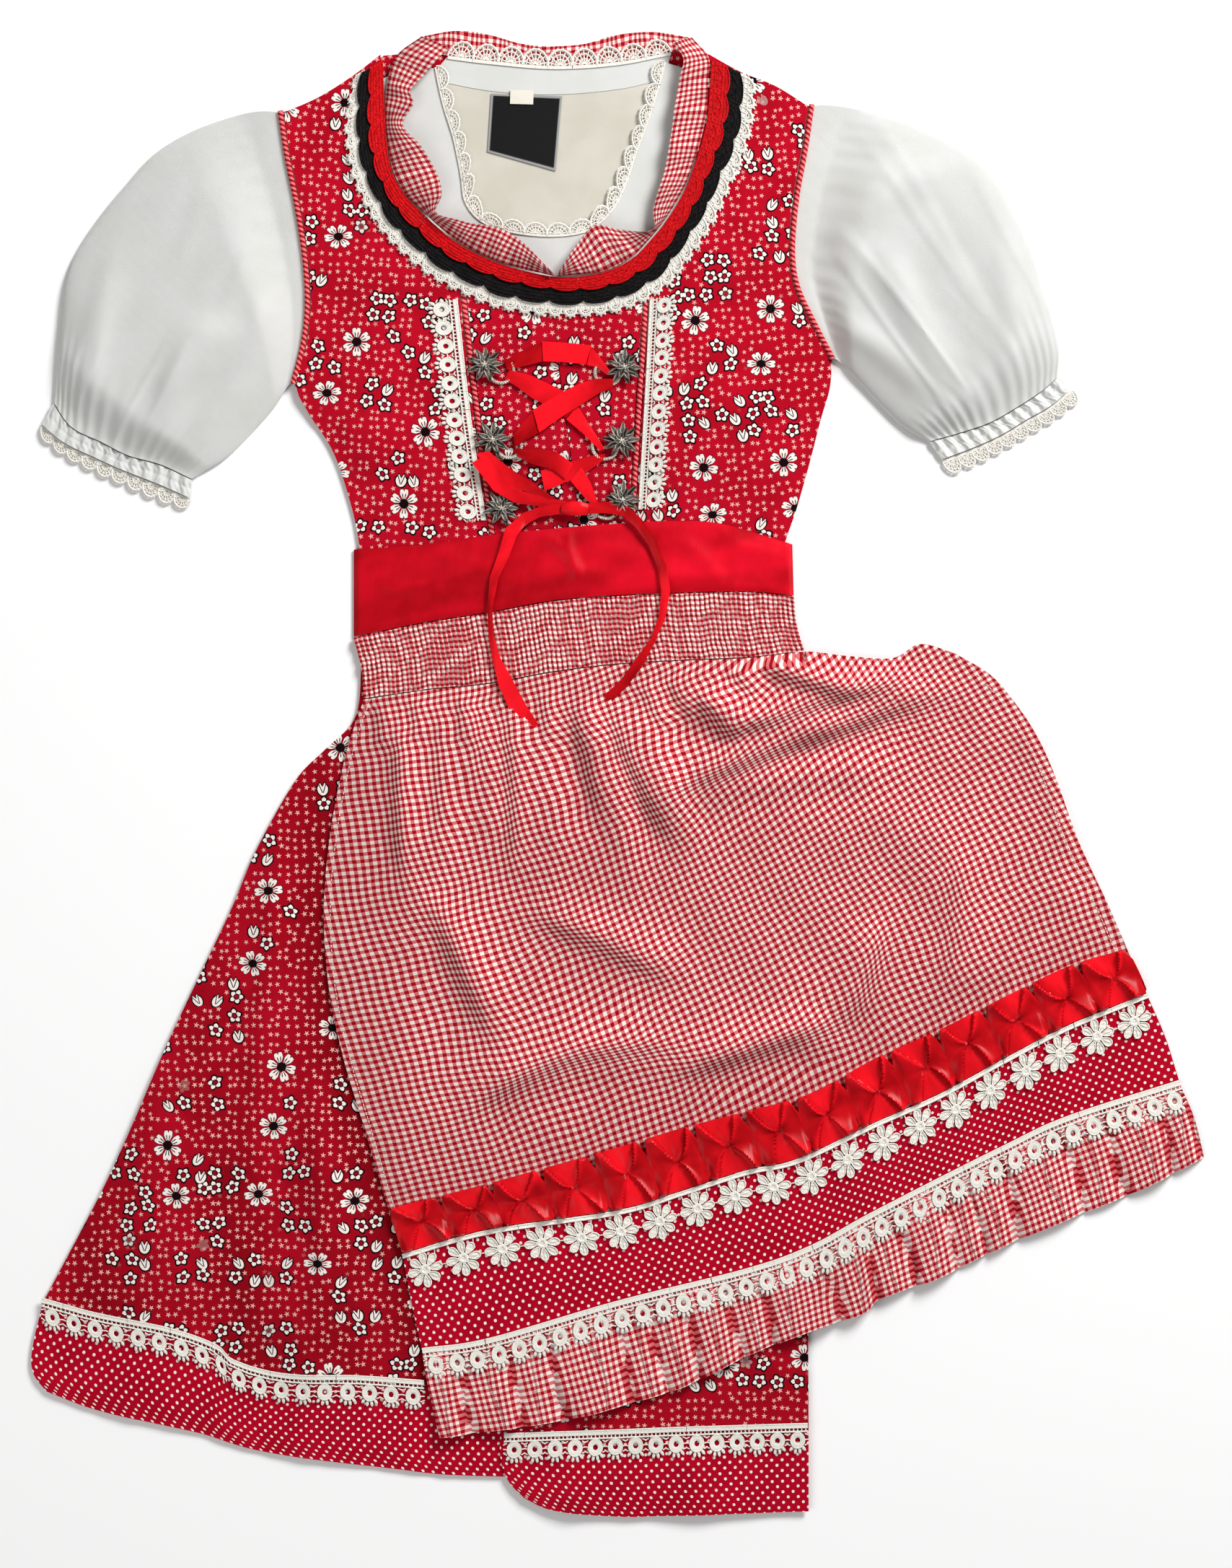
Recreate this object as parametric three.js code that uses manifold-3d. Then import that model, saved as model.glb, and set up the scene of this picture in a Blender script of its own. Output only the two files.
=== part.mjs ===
// A dirndl set laid flat on its back: dress, blouse and apron, with its lacing.
// Millimetres. +Y runs toward the neck, +X to the viewer's right, +Z up from the surface it lies on.
// Plan tables hold [x, y] rows in the garment's own plan; the group is centred at the end.
import * as THREE from 'three';
import { mergeVertices } from 'three/addons/utils/BufferGeometryUtils.js';
import Module from 'manifold-3d';

const wasm = await Module();
wasm.setup();

// ---------- driving sizes ----------
const CLOTH = 1.2;                      // cloth wall
const GAP = 0.3;                        // clearance between stacked or sewn pieces
const LAYER = CLOTH + GAP;              // one step of the stack
const UNDER_BACK = 0;                   // underside of the pieces that rest on the surface
const UNDER_SECOND = LAYER;
const UNDER_THIRD = 2 * LAYER;
const UNDER_FOURTH = 3 * LAYER;
const LACE = 1.0;                       // lace and braid wall
const ON_CLOTH = 0.55;                  // trim lies this far above the cloth that carries it
const OVER_FOLDS = 1.0;                 // the same where the cloth under it is folded
const BAND_WALL = 1.5;                  // interfaced waistband
const PIPING = { width: 4.2, height: 3.2 };
const SEAM = 0.15;                      // half of the clearance where two panels share their seam points
const HIDDEN_SEAM = 0.45;               // the same where a trim or band covers the seam
const WOVEN_LABEL = 0.8;
const RIBBON_WALL = 1.0;
const HOOK = { radius: 13.5, petals: 8, height: 7.5, valley: 0.6, rimUnder: 3.0, rimTop: 4.2, foot: 1.2 };
const ROPE = { radius: 1.4, loop: 10, sides: 4, steps: 6 };

// ---------- repeats ----------
const RING_LACE_APRON = 38;
const RING_LACE_HEM_LEFT = 18;
const RING_LACE_HEM_RIGHT = 15;
const RING_LACE_BODICE = 15;
const RING_LACE_NECK = 42;
const BLACK_SCALLOPS = 32;
const RED_SCALLOPS = 36;
const DAISIES = 20;
const FANS_BACK = 14;
const FANS_FRONT = 22;
const FANS_CUFF = 10;
const RUCHE_UNITS = 15;
const RUFFLE_GATHERS = 18;
const SMOCK_GATHERS = 36;
const SMOCK_ROWS = 2;
const CUFF_GATHERS = 12;
const NECK_RUFFLE_WAVES = 7;

// ---------- colours ----------
const PRINT = 0xb3122a;
const GINGHAM = 0xd4707a;
const DOTTED = 0xa00a2c;
const SATIN = 0xe0161c;
const BAND = 0xd51a30;
const IVORY = 0xf1ecdf;
const BLOUSE_WHITE = 0xf0eee8;
const BLACK = 0x1c1a1c;
const LABEL_GREY = 0x3a3a3e;
const SILVER = 0x8d8878;

// ---------- plan tables: columns x, y ----------
const ARMHOLE_LEFT = [[-264, 514], [-259, 480], [-251, 440], [-245, 400], [-243, 365], [-246, 335], [-254, 303]];
const ARMHOLE_RIGHT = [[153, 519], [148, 485], [141, 445], [138, 405], [142, 378], [155, 350], [169, 323]];
const SIDE_LEFT = [[-254, 303], [-240, 280], [-221, 250], [-208, 212], [-201, 180], [-198, 146]];
const SIDE_RIGHT = [[169, 323], [165, 300], [158, 275], [149, 240], [139, 205], [130, 178], [129, 160]];
const WAIST_SEAM = [[-198, 146], [-100, 157], [0, 167], [70, 168], [129, 160]];
const NECK_LEFT = [[-184, 558], [-181, 500], [-175, 462], [-156, 432], [-138, 412], [-121, 400]];
const NECK_RIGHT = [[24, 402], [42, 425], [57, 460], [65, 505], [68, 560]];
const PRINCESS_LEFT = [[-121, 400], [-119, 365], [-109, 280], [-98, 190], [-95, 157]];
const PRINCESS_RIGHT = [[24, 402], [22, 365], [17, 290], [12, 205], [10, 167]];
const PLACKET = [[-48, 380], [-47, 330], [-38, 260], [-30, 200], [-27, 165]];

const SKIRT_LEFT = [[-198, 146], [-199, 100], [-203, 46], [-226, 20], [-250, -5], [-281, -60], [-300, -105],
  [-331, -170], [-352, -215], [-380, -280], [-401, -325], [-430, -380], [-447, -412]];
const SKIRT_RIGHT = [[129, 160], [132, 110], [140, 0], [146, -200], [148, -480]];
const HEM_SEAM_LEFT = [[-447, -412], [-400, -424], [-350, -434], [-312, -448], [-298, -460], [-262, -470],
  [-205, -472], [-150, -476], [0, -480], [148, -480]];
const HEM_END_LEFT = [[-447, -412], [-455, -448], [-454, -466], [-444, -480]];
const HEM_LEFT = [[-444, -480], [-403, -495], [-327, -512], [-274, -527], [-175, -540], [-99, -546], [148, -548]];
const HEM_END_RIGHT = [[148, -480], [148, -515], [148, -548]];
const PLEAT_EDGE = [[-40, 152], [-55, 0], [-70, -200], [-84, -400], [-91, -508]];
const PLEAT_RIGHT = [[126, 150], [129, 110], [141, 0], [147, -200], [148.5, -507]];
const PLEAT_TOP = [[-40, 152], [20, 157], [70, 157], [126, 150]];
const HEM_SEAM_RIGHT = [[-91, -508], [0, -512], [50, -510], [148.5, -507]];
const PLEAT_HEM_END = [[-91, -508], [-91, -530], [-85, -549], [-72, -563]];
const HEM_RIGHT = [[-72, -563], [-50, -572], [0, -577], [50, -576], [148.5, -573]];
const PLEAT_HEM_RIGHT = [[148.5, -507], [148.5, -540], [148.5, -573]];

const BAND_TOP = [[-205, 174], [-150, 178], [-100, 185], [-40, 191], [0, 194], [40, 196], [80, 194], [136, 178]];
const BAND_BOTTOM = [[-205, 106], [-150, 117], [-100, 125], [-50, 134], [0, 138], [50, 140], [100, 141], [137, 138]];
const YOKE_BOTTOM = [[-197, 58], [-150, 65], [-100, 70], [-50, 79], [0, 85], [50, 88], [100, 90], [145, 95]];
const APRON_TOP = [[-197, 58], [-150, 65], [-100, 70], [-50, 79], [0, 85], [50, 88], [100, 90], [145, 95],
  [175, 92], [213, 90], [235, 101], [262, 94]];
const APRON_LEFT = [[-197, 58], [-211, 15], [-223, -46], [-228, -106], [-224, -167], [-213, -220], [-197, -274],
  [-180, -331], [-167, -374]];
const APRON_RIGHT = [[262, 94], [290, 77], [310, 54], [327, 27], [341, -5], [357, -50], [381, -101], [397, -138],
  [412, -172]];
const SEAM_A = [[-167, -374], [-100, -355], [0, -340], [50, -325], [100, -309], [140, -300], [200, -272],
  [250, -250], [300, -223], [350, -197], [412, -172]];
const RUCHE_TOP = [[-179, -338], [-100, -318], [0, -290], [50, -275], [100, -262], [150, -248], [200, -221],
  [250, -199], [300, -174], [350, -150], [396, -136]];
const DAISY_FREE = [[-161, -402], [-93, -383], [7, -368], [57, -353], [107, -337], [150, -327], [210, -299],
  [260, -277], [310, -250], [361, -224], [419, -199]];
const SEAM_B = [[-152, -448], [-100, -440], [0, -411], [100, -386], [150, -368], [200, -341], [300, -291],
  [350, -268], [437, -240]];
const RING_FREE = [[-147, -471], [-95, -463], [6, -434], [107, -408], [160, -390], [210, -362], [310, -312],
  [358, -290], [444, -263]];
const RUFFLE_FREE = [[-138, -515], [-50, -503], [0, -491], [50, -476], [100, -452], [150, -432], [190, -419],
  [205, -407], [250, -391], [300, -367], [350, -346], [400, -326], [456, -298]];

const SLEEVE_HEAD_LEFT = [[-257, 510], [-253, 480], [-245, 440], [-239, 400], [-237, 365], [-240, 335], [-247, 307]];
const SLEEVE_UPPER_LEFT = [[-257, 510], [-268, 514], [-292, 512], [-330, 499], [-360, 481], [-382, 457],
  [-401, 434], [-419, 407], [-429, 383], [-433, 350], [-436, 318], [-438, 288]];
const SLEEVE_UNDER_LEFT = [[-247, 307], [-256, 301], [-268, 283], [-287, 262], [-307, 243], [-331, 229]];
const GATHER_LEFT = [[-438, 288], [-424, 269], [-400, 257], [-380, 247], [-355, 240], [-331, 229]];
const CUFF_FREE_LEFT = [[-447, 271], [-430, 257], [-405, 245], [-385, 236], [-357, 225], [-332, 214]];
const CUFF_LACE_LEFT = [[-450, 262], [-432, 247], [-406, 233], [-386, 224], [-359, 212], [-334, 204]];
const SLEEVE_HEAD_RIGHT = [[147, 516], [142, 485], [135, 445], [132, 405], [136, 380], [148, 351], [163, 321]];
const SLEEVE_UPPER_RIGHT = [[147, 516], [158, 519], [180, 517], [215, 510], [242, 500], [265, 488], [284, 474],
  [300, 453], [315, 424], [326, 393], [336, 360], [343, 330], [342, 308]];
const SLEEVE_UNDER_RIGHT = [[163, 321], [171, 321], [190, 301], [213, 277], [228, 265], [242, 258]];
const GATHER_RIGHT = [[342, 308], [328, 296], [308, 283], [288, 272], [264, 264], [242, 258]];
const CUFF_FREE_RIGHT = [[352, 299], [337, 286], [318, 275], [298, 263], [276, 253], [252, 244]];
const CUFF_LACE_RIGHT = [[361, 290], [344, 276], [324, 264], [302, 251], [281, 240], [259, 231]];

const NECK_WHITE_OUT = [[-205, 541], [-212, 503], [-208, 470], [-201, 450], [-185, 422], [-165, 401], [-145, 385],
  [-120, 372], [-90, 360], [-40, 354], [0, 358], [30, 371], [45, 384], [60, 404], [77, 430], [88, 455],
  [99, 480], [106, 508], [108, 537]];
const NECK_WHITE_IN = [[-196, 546], [-199, 503], [-195, 472], [-187, 452], [-174, 430], [-155, 411], [-137, 396],
  [-114, 384], [-86, 373], [-40, 367], [-4, 371], [23, 383], [37, 396], [50, 413], [66, 440], [77, 465],
  [86, 486], [92, 512], [95, 544]];
const NECK_BLACK_OUT = [[-201, 543], [-203, 503], [-199, 472], [-191, 452], [-177, 427], [-158, 408], [-140, 393],
  [-117, 381], [-88, 369], [-40, 363], [-2, 367], [26, 380], [40, 393], [53, 411], [70, 438], [81, 463],
  [91, 485], [97, 511], [98, 542]];
const NECK_BLACK_IN = [[-188, 549], [-189, 502], [-185, 470], [-174, 448], [-162, 434], [-146, 418], [-130, 405],
  [-109, 394], [-82, 385], [-40, 377], [-6, 381], [18, 393], [31, 405], [44, 422], [59, 447], [69, 470],
  [77, 490], [82, 512], [84, 549]];
const NECK_RED_OUT = [[-193, 547], [-194, 502], [-189, 471], [-178, 447], [-166, 431], [-149, 415], [-133, 402],
  [-111, 391], [-84, 381], [-40, 374], [-4, 378], [21, 390], [34, 403], [48, 420], [63, 445], [73, 469],
  [81, 490], [86, 512], [88, 548]];
const NECK_RED_IN = [[-182, 553], [-180, 502], [-176, 470], [-166, 450], [-156, 439], [-140, 424], [-125, 412],
  [-105, 401], [-80, 392], [-44, 385], [-10, 389], [12, 400], [25, 413], [38, 429], [52, 452], [60, 473],
  [66, 492], [70, 512], [73, 554]];
const RUFFLE_SEWN_LEFT = [[-152, 572], [-172, 556], [-179.5, 530], [-179.5, 500], [-175, 470], [-165, 450],
  [-155, 440], [-139, 425], [-124, 413], [-104, 402], [-79, 393], [-49, 386]];
const RUFFLE_FREE_LEFT = [[-131, 562], [-147, 543], [-160, 529], [-158, 518], [-166, 502], [-151, 484], [-139, 463],
  [-136, 448], [-140, 434], [-118, 427], [-84, 419], [-51, 389]];
const RUFFLE_SEWN_RIGHT = [[-46, 386], [-10, 390], [11, 401], [24, 414], [37, 430], [51, 453], [59, 474], [65, 493],
  [69, 512], [70, 535], [71, 555], [58, 571]];
const RUFFLE_FREE_RIGHT = [[-45, 389], [-31, 410], [-18, 424], [2, 421], [27, 420], [28, 438], [36, 466], [41, 492],
  [44, 515], [48, 538], [51, 553], [43, 566]];
const RUFFLE_BACK_OUT = [[-150, 573], [-125, 577], [-100, 574], [-75, 567], [-50, 565], [-25, 567], [0, 574],
  [30, 576], [55, 572]];
const COLLAR_TOP = [[-132, 557], [-100, 553], [-50, 549], [0, 552], [42, 560]];
const COLLAR_BOTTOM = [[-147, 541], [-100, 532], [-50, 529], [0, 533], [36, 541]];
const COLLAR_LACE_TOP = [[-128, 570], [-100, 567], [-50, 563], [0, 566], [38, 572]];
const BLOUSE_NECK = [[-142, 548], [-136, 520], [-128, 494], [-122, 465], [-118, 442], [-100, 425], [-62, 417],
  [-25, 420], [-4, 436], [7, 457], [15, 481], [24, 505], [32, 530], [38, 552]];
const BLOUSE_LACE_FREE = [[-133, 550], [-126, 520], [-118, 494], [-112, 467], [-108, 447], [-95, 434], [-62, 428],
  [-31, 430], [-13, 443], [-3, 461], [6, 484], [15, 508], [22, 532], [28, 554]];
const BLOUSE_BACK_OUTLINE = [[-147, 540], [-200, 532], [-248, 500], [-240, 440], [-234, 370], [-236, 322],
  [-60, 320], [150, 332], [130, 375], [128, 440], [138, 505], [90, 534], [36, 540.5], [0, 532.5], [-50, 528.5],
  [-100, 531.5]];
const BLOUSE_FRONT_SIDES = [[60, 545], [90, 534], [134, 505], [125, 440], [126, 375], [146, 340], [140, 322],
  [-60, 320], [-226, 322], [-230, 370], [-236, 440], [-244, 500], [-200, 532], [-170, 545]];
const LABEL_CORNERS = [[-98, 528], [-43, 526], [-48, 468], [-101, 483]];
const TAB_CORNERS = [[-83, 531], [-65, 530.5], [-65.5, 519.5], [-83.5, 520]];

// ---------- folds: columns x0, y0, x1, y1, x2, y2, height, half width ----------
const APRON_FOLDS = [
  [-172, 45, -168, 0, -168, -80, 3.5, 11],
  [-140, 40, -136, -20, -140, -90, 3.0, 16],
  [-105, 45, -95, 0, -100, -60, 4.5, 13],
  [-62, 50, -45, -10, -45, -90, 4.0, 15],
  [-25, 55, 0, 0, 18, -110, 6.0, 14],
  [15, 62, 30, 10, 60, -60, 5.5, 13],
  [55, 66, 85, 40, 190, 35, 6.5, 14],
  [120, 78, 170, 68, 262, 62, 6.0, 14],
  [30, -22, 110, 4, 230, 4, 6.5, 16],
  [110, -40, 200, -30, 300, -60, 3.5, 24],
  [-165, -85, -130, -120, -85, -205, 4.5, 16],
  [-60, -105, 0, -140, 60, -150, 3.5, 18],
  [-110, -262, -50, -215, 60, -222, 6.0, 14],
  [60, -225, 120, -200, 175, -205, 5.5, 14],
  [252, -60, 262, -110, 246, -175, 4.0, 18],
  [205, -105, 190, -150, 160, -200, 4.0, 16],
  [330, -20, 345, -70, 350, -110, 3.0, 16],
];
const SKIRT_FOLDS = [
  [-228, -150, -236, -320, -236, -560, 6.5, 24],
  [-330, -220, -352, -350, -374, -510, 6.0, 30],
  [-262, -40, -280, -180, -290, -330, 4.5, 18],
  [-285, -120, -372, -330, -436, -470, 5.0, 22],
];
const SLEEVE_FOLDS = [
  [-248, 388, -290, 330, -345, 300, 6, 13],
  [-300, 345, -345, 340, -352, 262, 7, 13],
  [-405, 275, -415, 340, -380, 420, 5, 14],
  [-330, 245, -300, 300, -262, 350, 5, 12],
  [150, 400, 220, 470, 262, 470, 6, 14],
  [145, 440, 180, 455, 215, 475, 4, 11],
  [262, 290, 225, 350, 205, 410, 6, 14],
  [310, 290, 305, 360, 300, 430, 5, 14],
  [170, 345, 205, 335, 245, 285, 6, 11],
];
const PLEAT_HEM_FOLDS = [
  [-30, -524, -34, -550, -38, -580, 3.5, 22],
  [60, -524, 66, -550, 70, -580, 4.0, 26],
];

// ---------- curves ----------
const curve = (rows) => {
  const points = rows.map(([x, y]) => new THREE.Vector3(x, y, 0));
  return new THREE.CatmullRomCurve3(points, false, 'catmullrom', 0.5);
};
const along = (rows) => {
  const path = curve(rows);
  return (s) => {
    const point = path.getPointAt(THREE.MathUtils.clamp(s, 0, 1));
    return [point.x, point.y];
  };
};
const mix = (a, b, t) => [a[0] + (b[0] - a[0]) * t, a[1] + (b[1] - a[1]) * t];
const steps = (count) => Array.from({ length: count + 1 }, (_, i) => i / count);
const smooth = THREE.MathUtils.smoothstep;

// A surface between four edges: top and bottom run along s, left and right run along t.
function patch(top, bottom, left, right) {
  const [topAt, bottomAt, leftAt, rightAt] = [top, bottom, left, right].map(along);
  const corners = [leftAt(0), rightAt(0), leftAt(1), rightAt(1)];
  return (s, t) => {
    const across = mix(topAt(s), bottomAt(s), t);
    const down = mix(leftAt(t), rightAt(t), s);
    const flat = mix(mix(corners[0], corners[1], s), mix(corners[2], corners[3], s), t);
    return [across[0] + down[0] - flat[0], across[1] + down[1] - flat[1]];
  };
}

const inset = (rows, dx, dy = 0) => rows.map(([x, y]) => [x + dx, y + dy]);

// A plan line moved sideways: to its left, seen along its rows, for a positive distance.
function offset(rows, distance) {
  return rows.map(([x, y], i) => {
    const [ax, ay] = rows[Math.max(i - 1, 0)];
    const [bx, by] = rows[Math.min(i + 1, rows.length - 1)];
    const length = Math.hypot(bx - ax, by - ay);
    return [x - (by - ay) / length * distance, y + (bx - ax) / length * distance];
  });
}

// A surface between two edges, with straight ends.
function between(head, free) {
  const [headAt, freeAt] = [head, free].map(along);
  return (s, t) => mix(headAt(s), freeAt(s), t);
}

// The x of a plan line at a given y.
function lineX(rows, y) {
  const sorted = [...rows].sort((a, b) => b[1] - a[1]);
  const below = sorted.findIndex((row) => row[1] <= y);
  if (below === 0) return sorted[0][0];
  if (below < 0) return sorted[sorted.length - 1][0];
  const [upper, lower] = [sorted[below - 1], sorted[below]];
  return lower[0] + (upper[0] - lower[0]) * (y - lower[1]) / (upper[1] - lower[1]);
}

// The y of a plan line at a given x.
function lineY(rows, x) {
  return lineX(rows.map(([a, b]) => [b, a]), x);
}

// Height of soft ridges at a plan point: each runs along a bent line and fades at both ends.
const FOLD_SAMPLES = 14;
const FOLD_FADE = 0.3;
function ridges(folds) {
  const lines = folds.map(([x0, y0, x1, y1, x2, y2, height, width]) => ({
    height,
    width,
    points: steps(FOLD_SAMPLES).map((t) => mix(mix([x0, y0], [x1, y1], t), mix([x1, y1], [x2, y2], t), t)),
  }));
  return (x, y) => {
    let rise = 0;
    for (const { height, width, points } of lines) {
      let best = 0;
      points.forEach(([px, py], i) => {
        const t = i / FOLD_SAMPLES;
        const fade = smooth(Math.min(t, 1 - t), -0.05, FOLD_FADE);
        const reach = ((x - px) ** 2 + (y - py) ** 2) / width ** 2;
        best = Math.max(best, fade * Math.exp(-reach));
      });
      rise += height * best;
    }
    return rise;
  };
}

// ---------- closed bodies ----------
function closedBody(positions, faces) {
  const geometry = new THREE.BufferGeometry();
  geometry.setAttribute('position', new THREE.Float32BufferAttribute(positions.flat(), 3));
  const [a, b, c] = [new THREE.Vector3(), new THREE.Vector3(), new THREE.Vector3()];
  let volume = 0;
  for (const [i, j, k] of faces) {
    a.fromArray(positions[i]);
    b.fromArray(positions[j]);
    c.fromArray(positions[k]);
    volume += a.dot(b.cross(c));
  }
  const outward = volume > 0 ? faces : faces.map(([i, j, k]) => [i, k, j]);
  geometry.setIndex(outward.flat());
  return geometry;
}

// A cloth wall on a grid. place(s, t) is the plan point and outer(x, y, s, t) the height of its upper face.
// A plain inside has no grid of its own: only its two long edges, at the heights that inside gives.
function wall({ place, outer, columns, rows, thickness = CLOTH, inside = null }) {
  const positions = [];
  const faces = [];
  const lastColumn = columns.length - 1;
  const lastRow = rows.length - 1;
  const outerIndex = (i, j) => j * columns.length + i;
  for (const t of rows) {
    for (const s of columns) {
      const [x, y] = place(s, t);
      positions.push([x, y, outer(x, y, s, t)]);
    }
  }
  const innerStart = positions.length;
  const innerRows = inside ? [rows[0], rows[lastRow]] : rows;
  for (const t of innerRows) {
    for (const s of columns) {
      const [x, y] = place(s, t);
      positions.push([x, y, inside ? inside(x, y, s, t) : outer(x, y, s, t) - thickness]);
    }
  }
  const innerIndex = (i, j) => innerStart + j * columns.length + i;
  const lastInner = innerRows.length - 1;
  for (let j = 0; j < lastRow; j += 1) {
    for (let i = 0; i < lastColumn; i += 1) {
      faces.push([outerIndex(i, j), outerIndex(i, j + 1), outerIndex(i + 1, j + 1)]);
      faces.push([outerIndex(i, j), outerIndex(i + 1, j + 1), outerIndex(i + 1, j)]);
    }
  }
  for (let j = 0; j < lastInner; j += 1) {
    for (let i = 0; i < lastColumn; i += 1) {
      faces.push([innerIndex(i, j), innerIndex(i + 1, j + 1), innerIndex(i, j + 1)]);
      faces.push([innerIndex(i, j), innerIndex(i + 1, j), innerIndex(i + 1, j + 1)]);
    }
  }
  for (let i = 0; i < lastColumn; i += 1) {
    faces.push([outerIndex(i, 0), outerIndex(i + 1, 0), innerIndex(i + 1, 0)]);
    faces.push([outerIndex(i, 0), innerIndex(i + 1, 0), innerIndex(i, 0)]);
    faces.push([outerIndex(i + 1, lastRow), outerIndex(i, lastRow), innerIndex(i, lastInner)]);
    faces.push([outerIndex(i + 1, lastRow), innerIndex(i, lastInner), innerIndex(i + 1, lastInner)]);
  }
  for (let j = 0; j < lastRow; j += 1) {
    const near = inside ? 0 : j;
    const far = inside ? 0 : j + 1;
    faces.push([outerIndex(0, j + 1), outerIndex(0, j), innerIndex(0, near)]);
    faces.push([outerIndex(lastColumn, j), outerIndex(lastColumn, j + 1), innerIndex(lastColumn, far)]);
    if (!inside) {
      faces.push([outerIndex(0, j + 1), innerIndex(0, j), innerIndex(0, j + 1)]);
      faces.push([outerIndex(lastColumn, j), innerIndex(lastColumn, j + 1), innerIndex(lastColumn, j)]);
    }
  }
  if (inside) {
    faces.push([outerIndex(0, lastRow), innerIndex(0, 0), innerIndex(0, 1)]);
    faces.push([outerIndex(lastColumn, lastRow), innerIndex(lastColumn, 1), innerIndex(lastColumn, 0)]);
  }
  return closedBody(positions, faces);
}

// A trim of equal repeats. The outline of one repeat is in [u, v] rows, u along it and v from head to free edge.
// It runs anticlockwise: [0, 0], [1, 0], [1, v], then the free edge back to [0, v], where the repeats join.
function trim({ place, repeats, outline, gaps = [], outer, thickness = LACE }) {
  const contour = outline.map(([u, v]) => new THREE.Vector2(u, v));
  const holes = gaps.map((rows) => {
    const hole = rows.map(([u, v]) => new THREE.Vector2(u, v));
    return THREE.ShapeUtils.isClockWise(hole) ? hole : hole.reverse();
  });
  const flat = [...contour, ...holes.flat()];
  const found = THREE.ShapeUtils.triangulateShape(contour, holes);
  const total = found.reduce((sum, ids) => sum + THREE.ShapeUtils.area(ids.map((id) => flat[id])), 0);
  const cells = found.map(([i, j, k]) => (total > 0 ? [i, j, k] : [i, k, j]));
  const last = contour.length - 1;
  const positions = [];
  const faces = [];
  let before = null;
  for (let repeat = 0; repeat < repeats; repeat += 1) {
    const previous = before;
    const ids = flat.map(({ x: u, y: v }, index) => {
      if (previous && index === 0) return previous[1];
      if (previous && index === last) return previous[2];
      const s = (repeat + u) / repeats;
      const [x, y] = place(s, v);
      const top = outer(x, y, s, v);
      positions.push([x, y, top], [x, y, top - thickness]);
      return positions.length - 2;
    });
    for (const [i, j, k] of cells) {
      faces.push([ids[i], ids[j], ids[k]], [ids[i] + 1, ids[k] + 1, ids[j] + 1]);
    }
    let start = 0;
    for (const loop of [contour, ...holes]) {
      for (let i = 0; i < loop.length; i += 1) {
        const joinsNext = start === 0 && i === 1 && repeat < repeats - 1;
        const joinsLast = start === 0 && i === last && repeat > 0;
        if (joinsNext || joinsLast) continue;
        const [p, q] = [ids[start + i], ids[start + (i + 1) % loop.length]];
        faces.push([q, p, p + 1], [q, p + 1, q + 1]);
      }
      start += loop.length;
    }
    before = ids;
  }
  return closedBody(positions, faces);
}

// A flat plate from a plan outline.
function plate(outline, under, thickness) {
  const shape = new THREE.Shape(outline.map(([x, y]) => new THREE.Vector2(x, y)));
  const geometry = new THREE.ExtrudeGeometry(shape, { depth: thickness, bevelEnabled: false });
  geometry.translate(0, 0, under);
  return geometry;
}

// A plan outline sampled from edge tables that follow one another.
function outlineOf(...edges) {
  const points = [];
  for (const { rows, count, reverse = false } of edges) {
    const at = along(rows);
    const values = steps(count).slice(0, -1);
    for (const s of values) points.push(at(reverse ? 1 - s : s));
  }
  return points;
}

// A body through equal rings of points, closed by a fan at each end.
function sweep(rings) {
  const sides = rings[0].length;
  const positions = rings.flat();
  const faces = [];
  for (let r = 0; r < rings.length - 1; r += 1) {
    for (let k = 0; k < sides; k += 1) {
      const next = (k + 1) % sides;
      const [a, b] = [r * sides + k, r * sides + next];
      faces.push([a, b, b + sides], [a, b + sides, a + sides]);
    }
  }
  const end = (rings.length - 1) * sides;
  for (let k = 1; k < sides - 1; k += 1) {
    faces.push([0, k + 1, k], [end, end + k, end + k + 1]);
  }
  return closedBody(positions, faces);
}

function toSolid(geometry) {
  const bare = geometry.clone();
  bare.deleteAttribute('normal');
  bare.deleteAttribute('uv');
  const merged = mergeVertices(bare);
  return new wasm.Manifold(new wasm.Mesh({
    numProp: 3,
    vertProperties: new Float32Array(merged.attributes.position.array),
    triVerts: new Uint32Array(merged.index.array),
  }));
}

function join(geometries) {
  const [first, ...rest] = geometries.map(toSolid);
  const mesh = rest.reduce((whole, solid) => whole.add(solid), first).getMesh();
  const geometry = new THREE.BufferGeometry();
  geometry.setAttribute('position', new THREE.Float32BufferAttribute(mesh.vertProperties, 3));
  geometry.setIndex(Array.from(mesh.triVerts));
  return geometry;
}

// ---------- scene graph ----------
const group = new THREE.Group();
function add(name, geometry, color, roughness = 0.85, metalness = 0) {
  const mesh = new THREE.Mesh(geometry, new THREE.MeshStandardMaterial({ color, roughness, metalness }));
  mesh.name = name;
  group.add(mesh);
}

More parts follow.
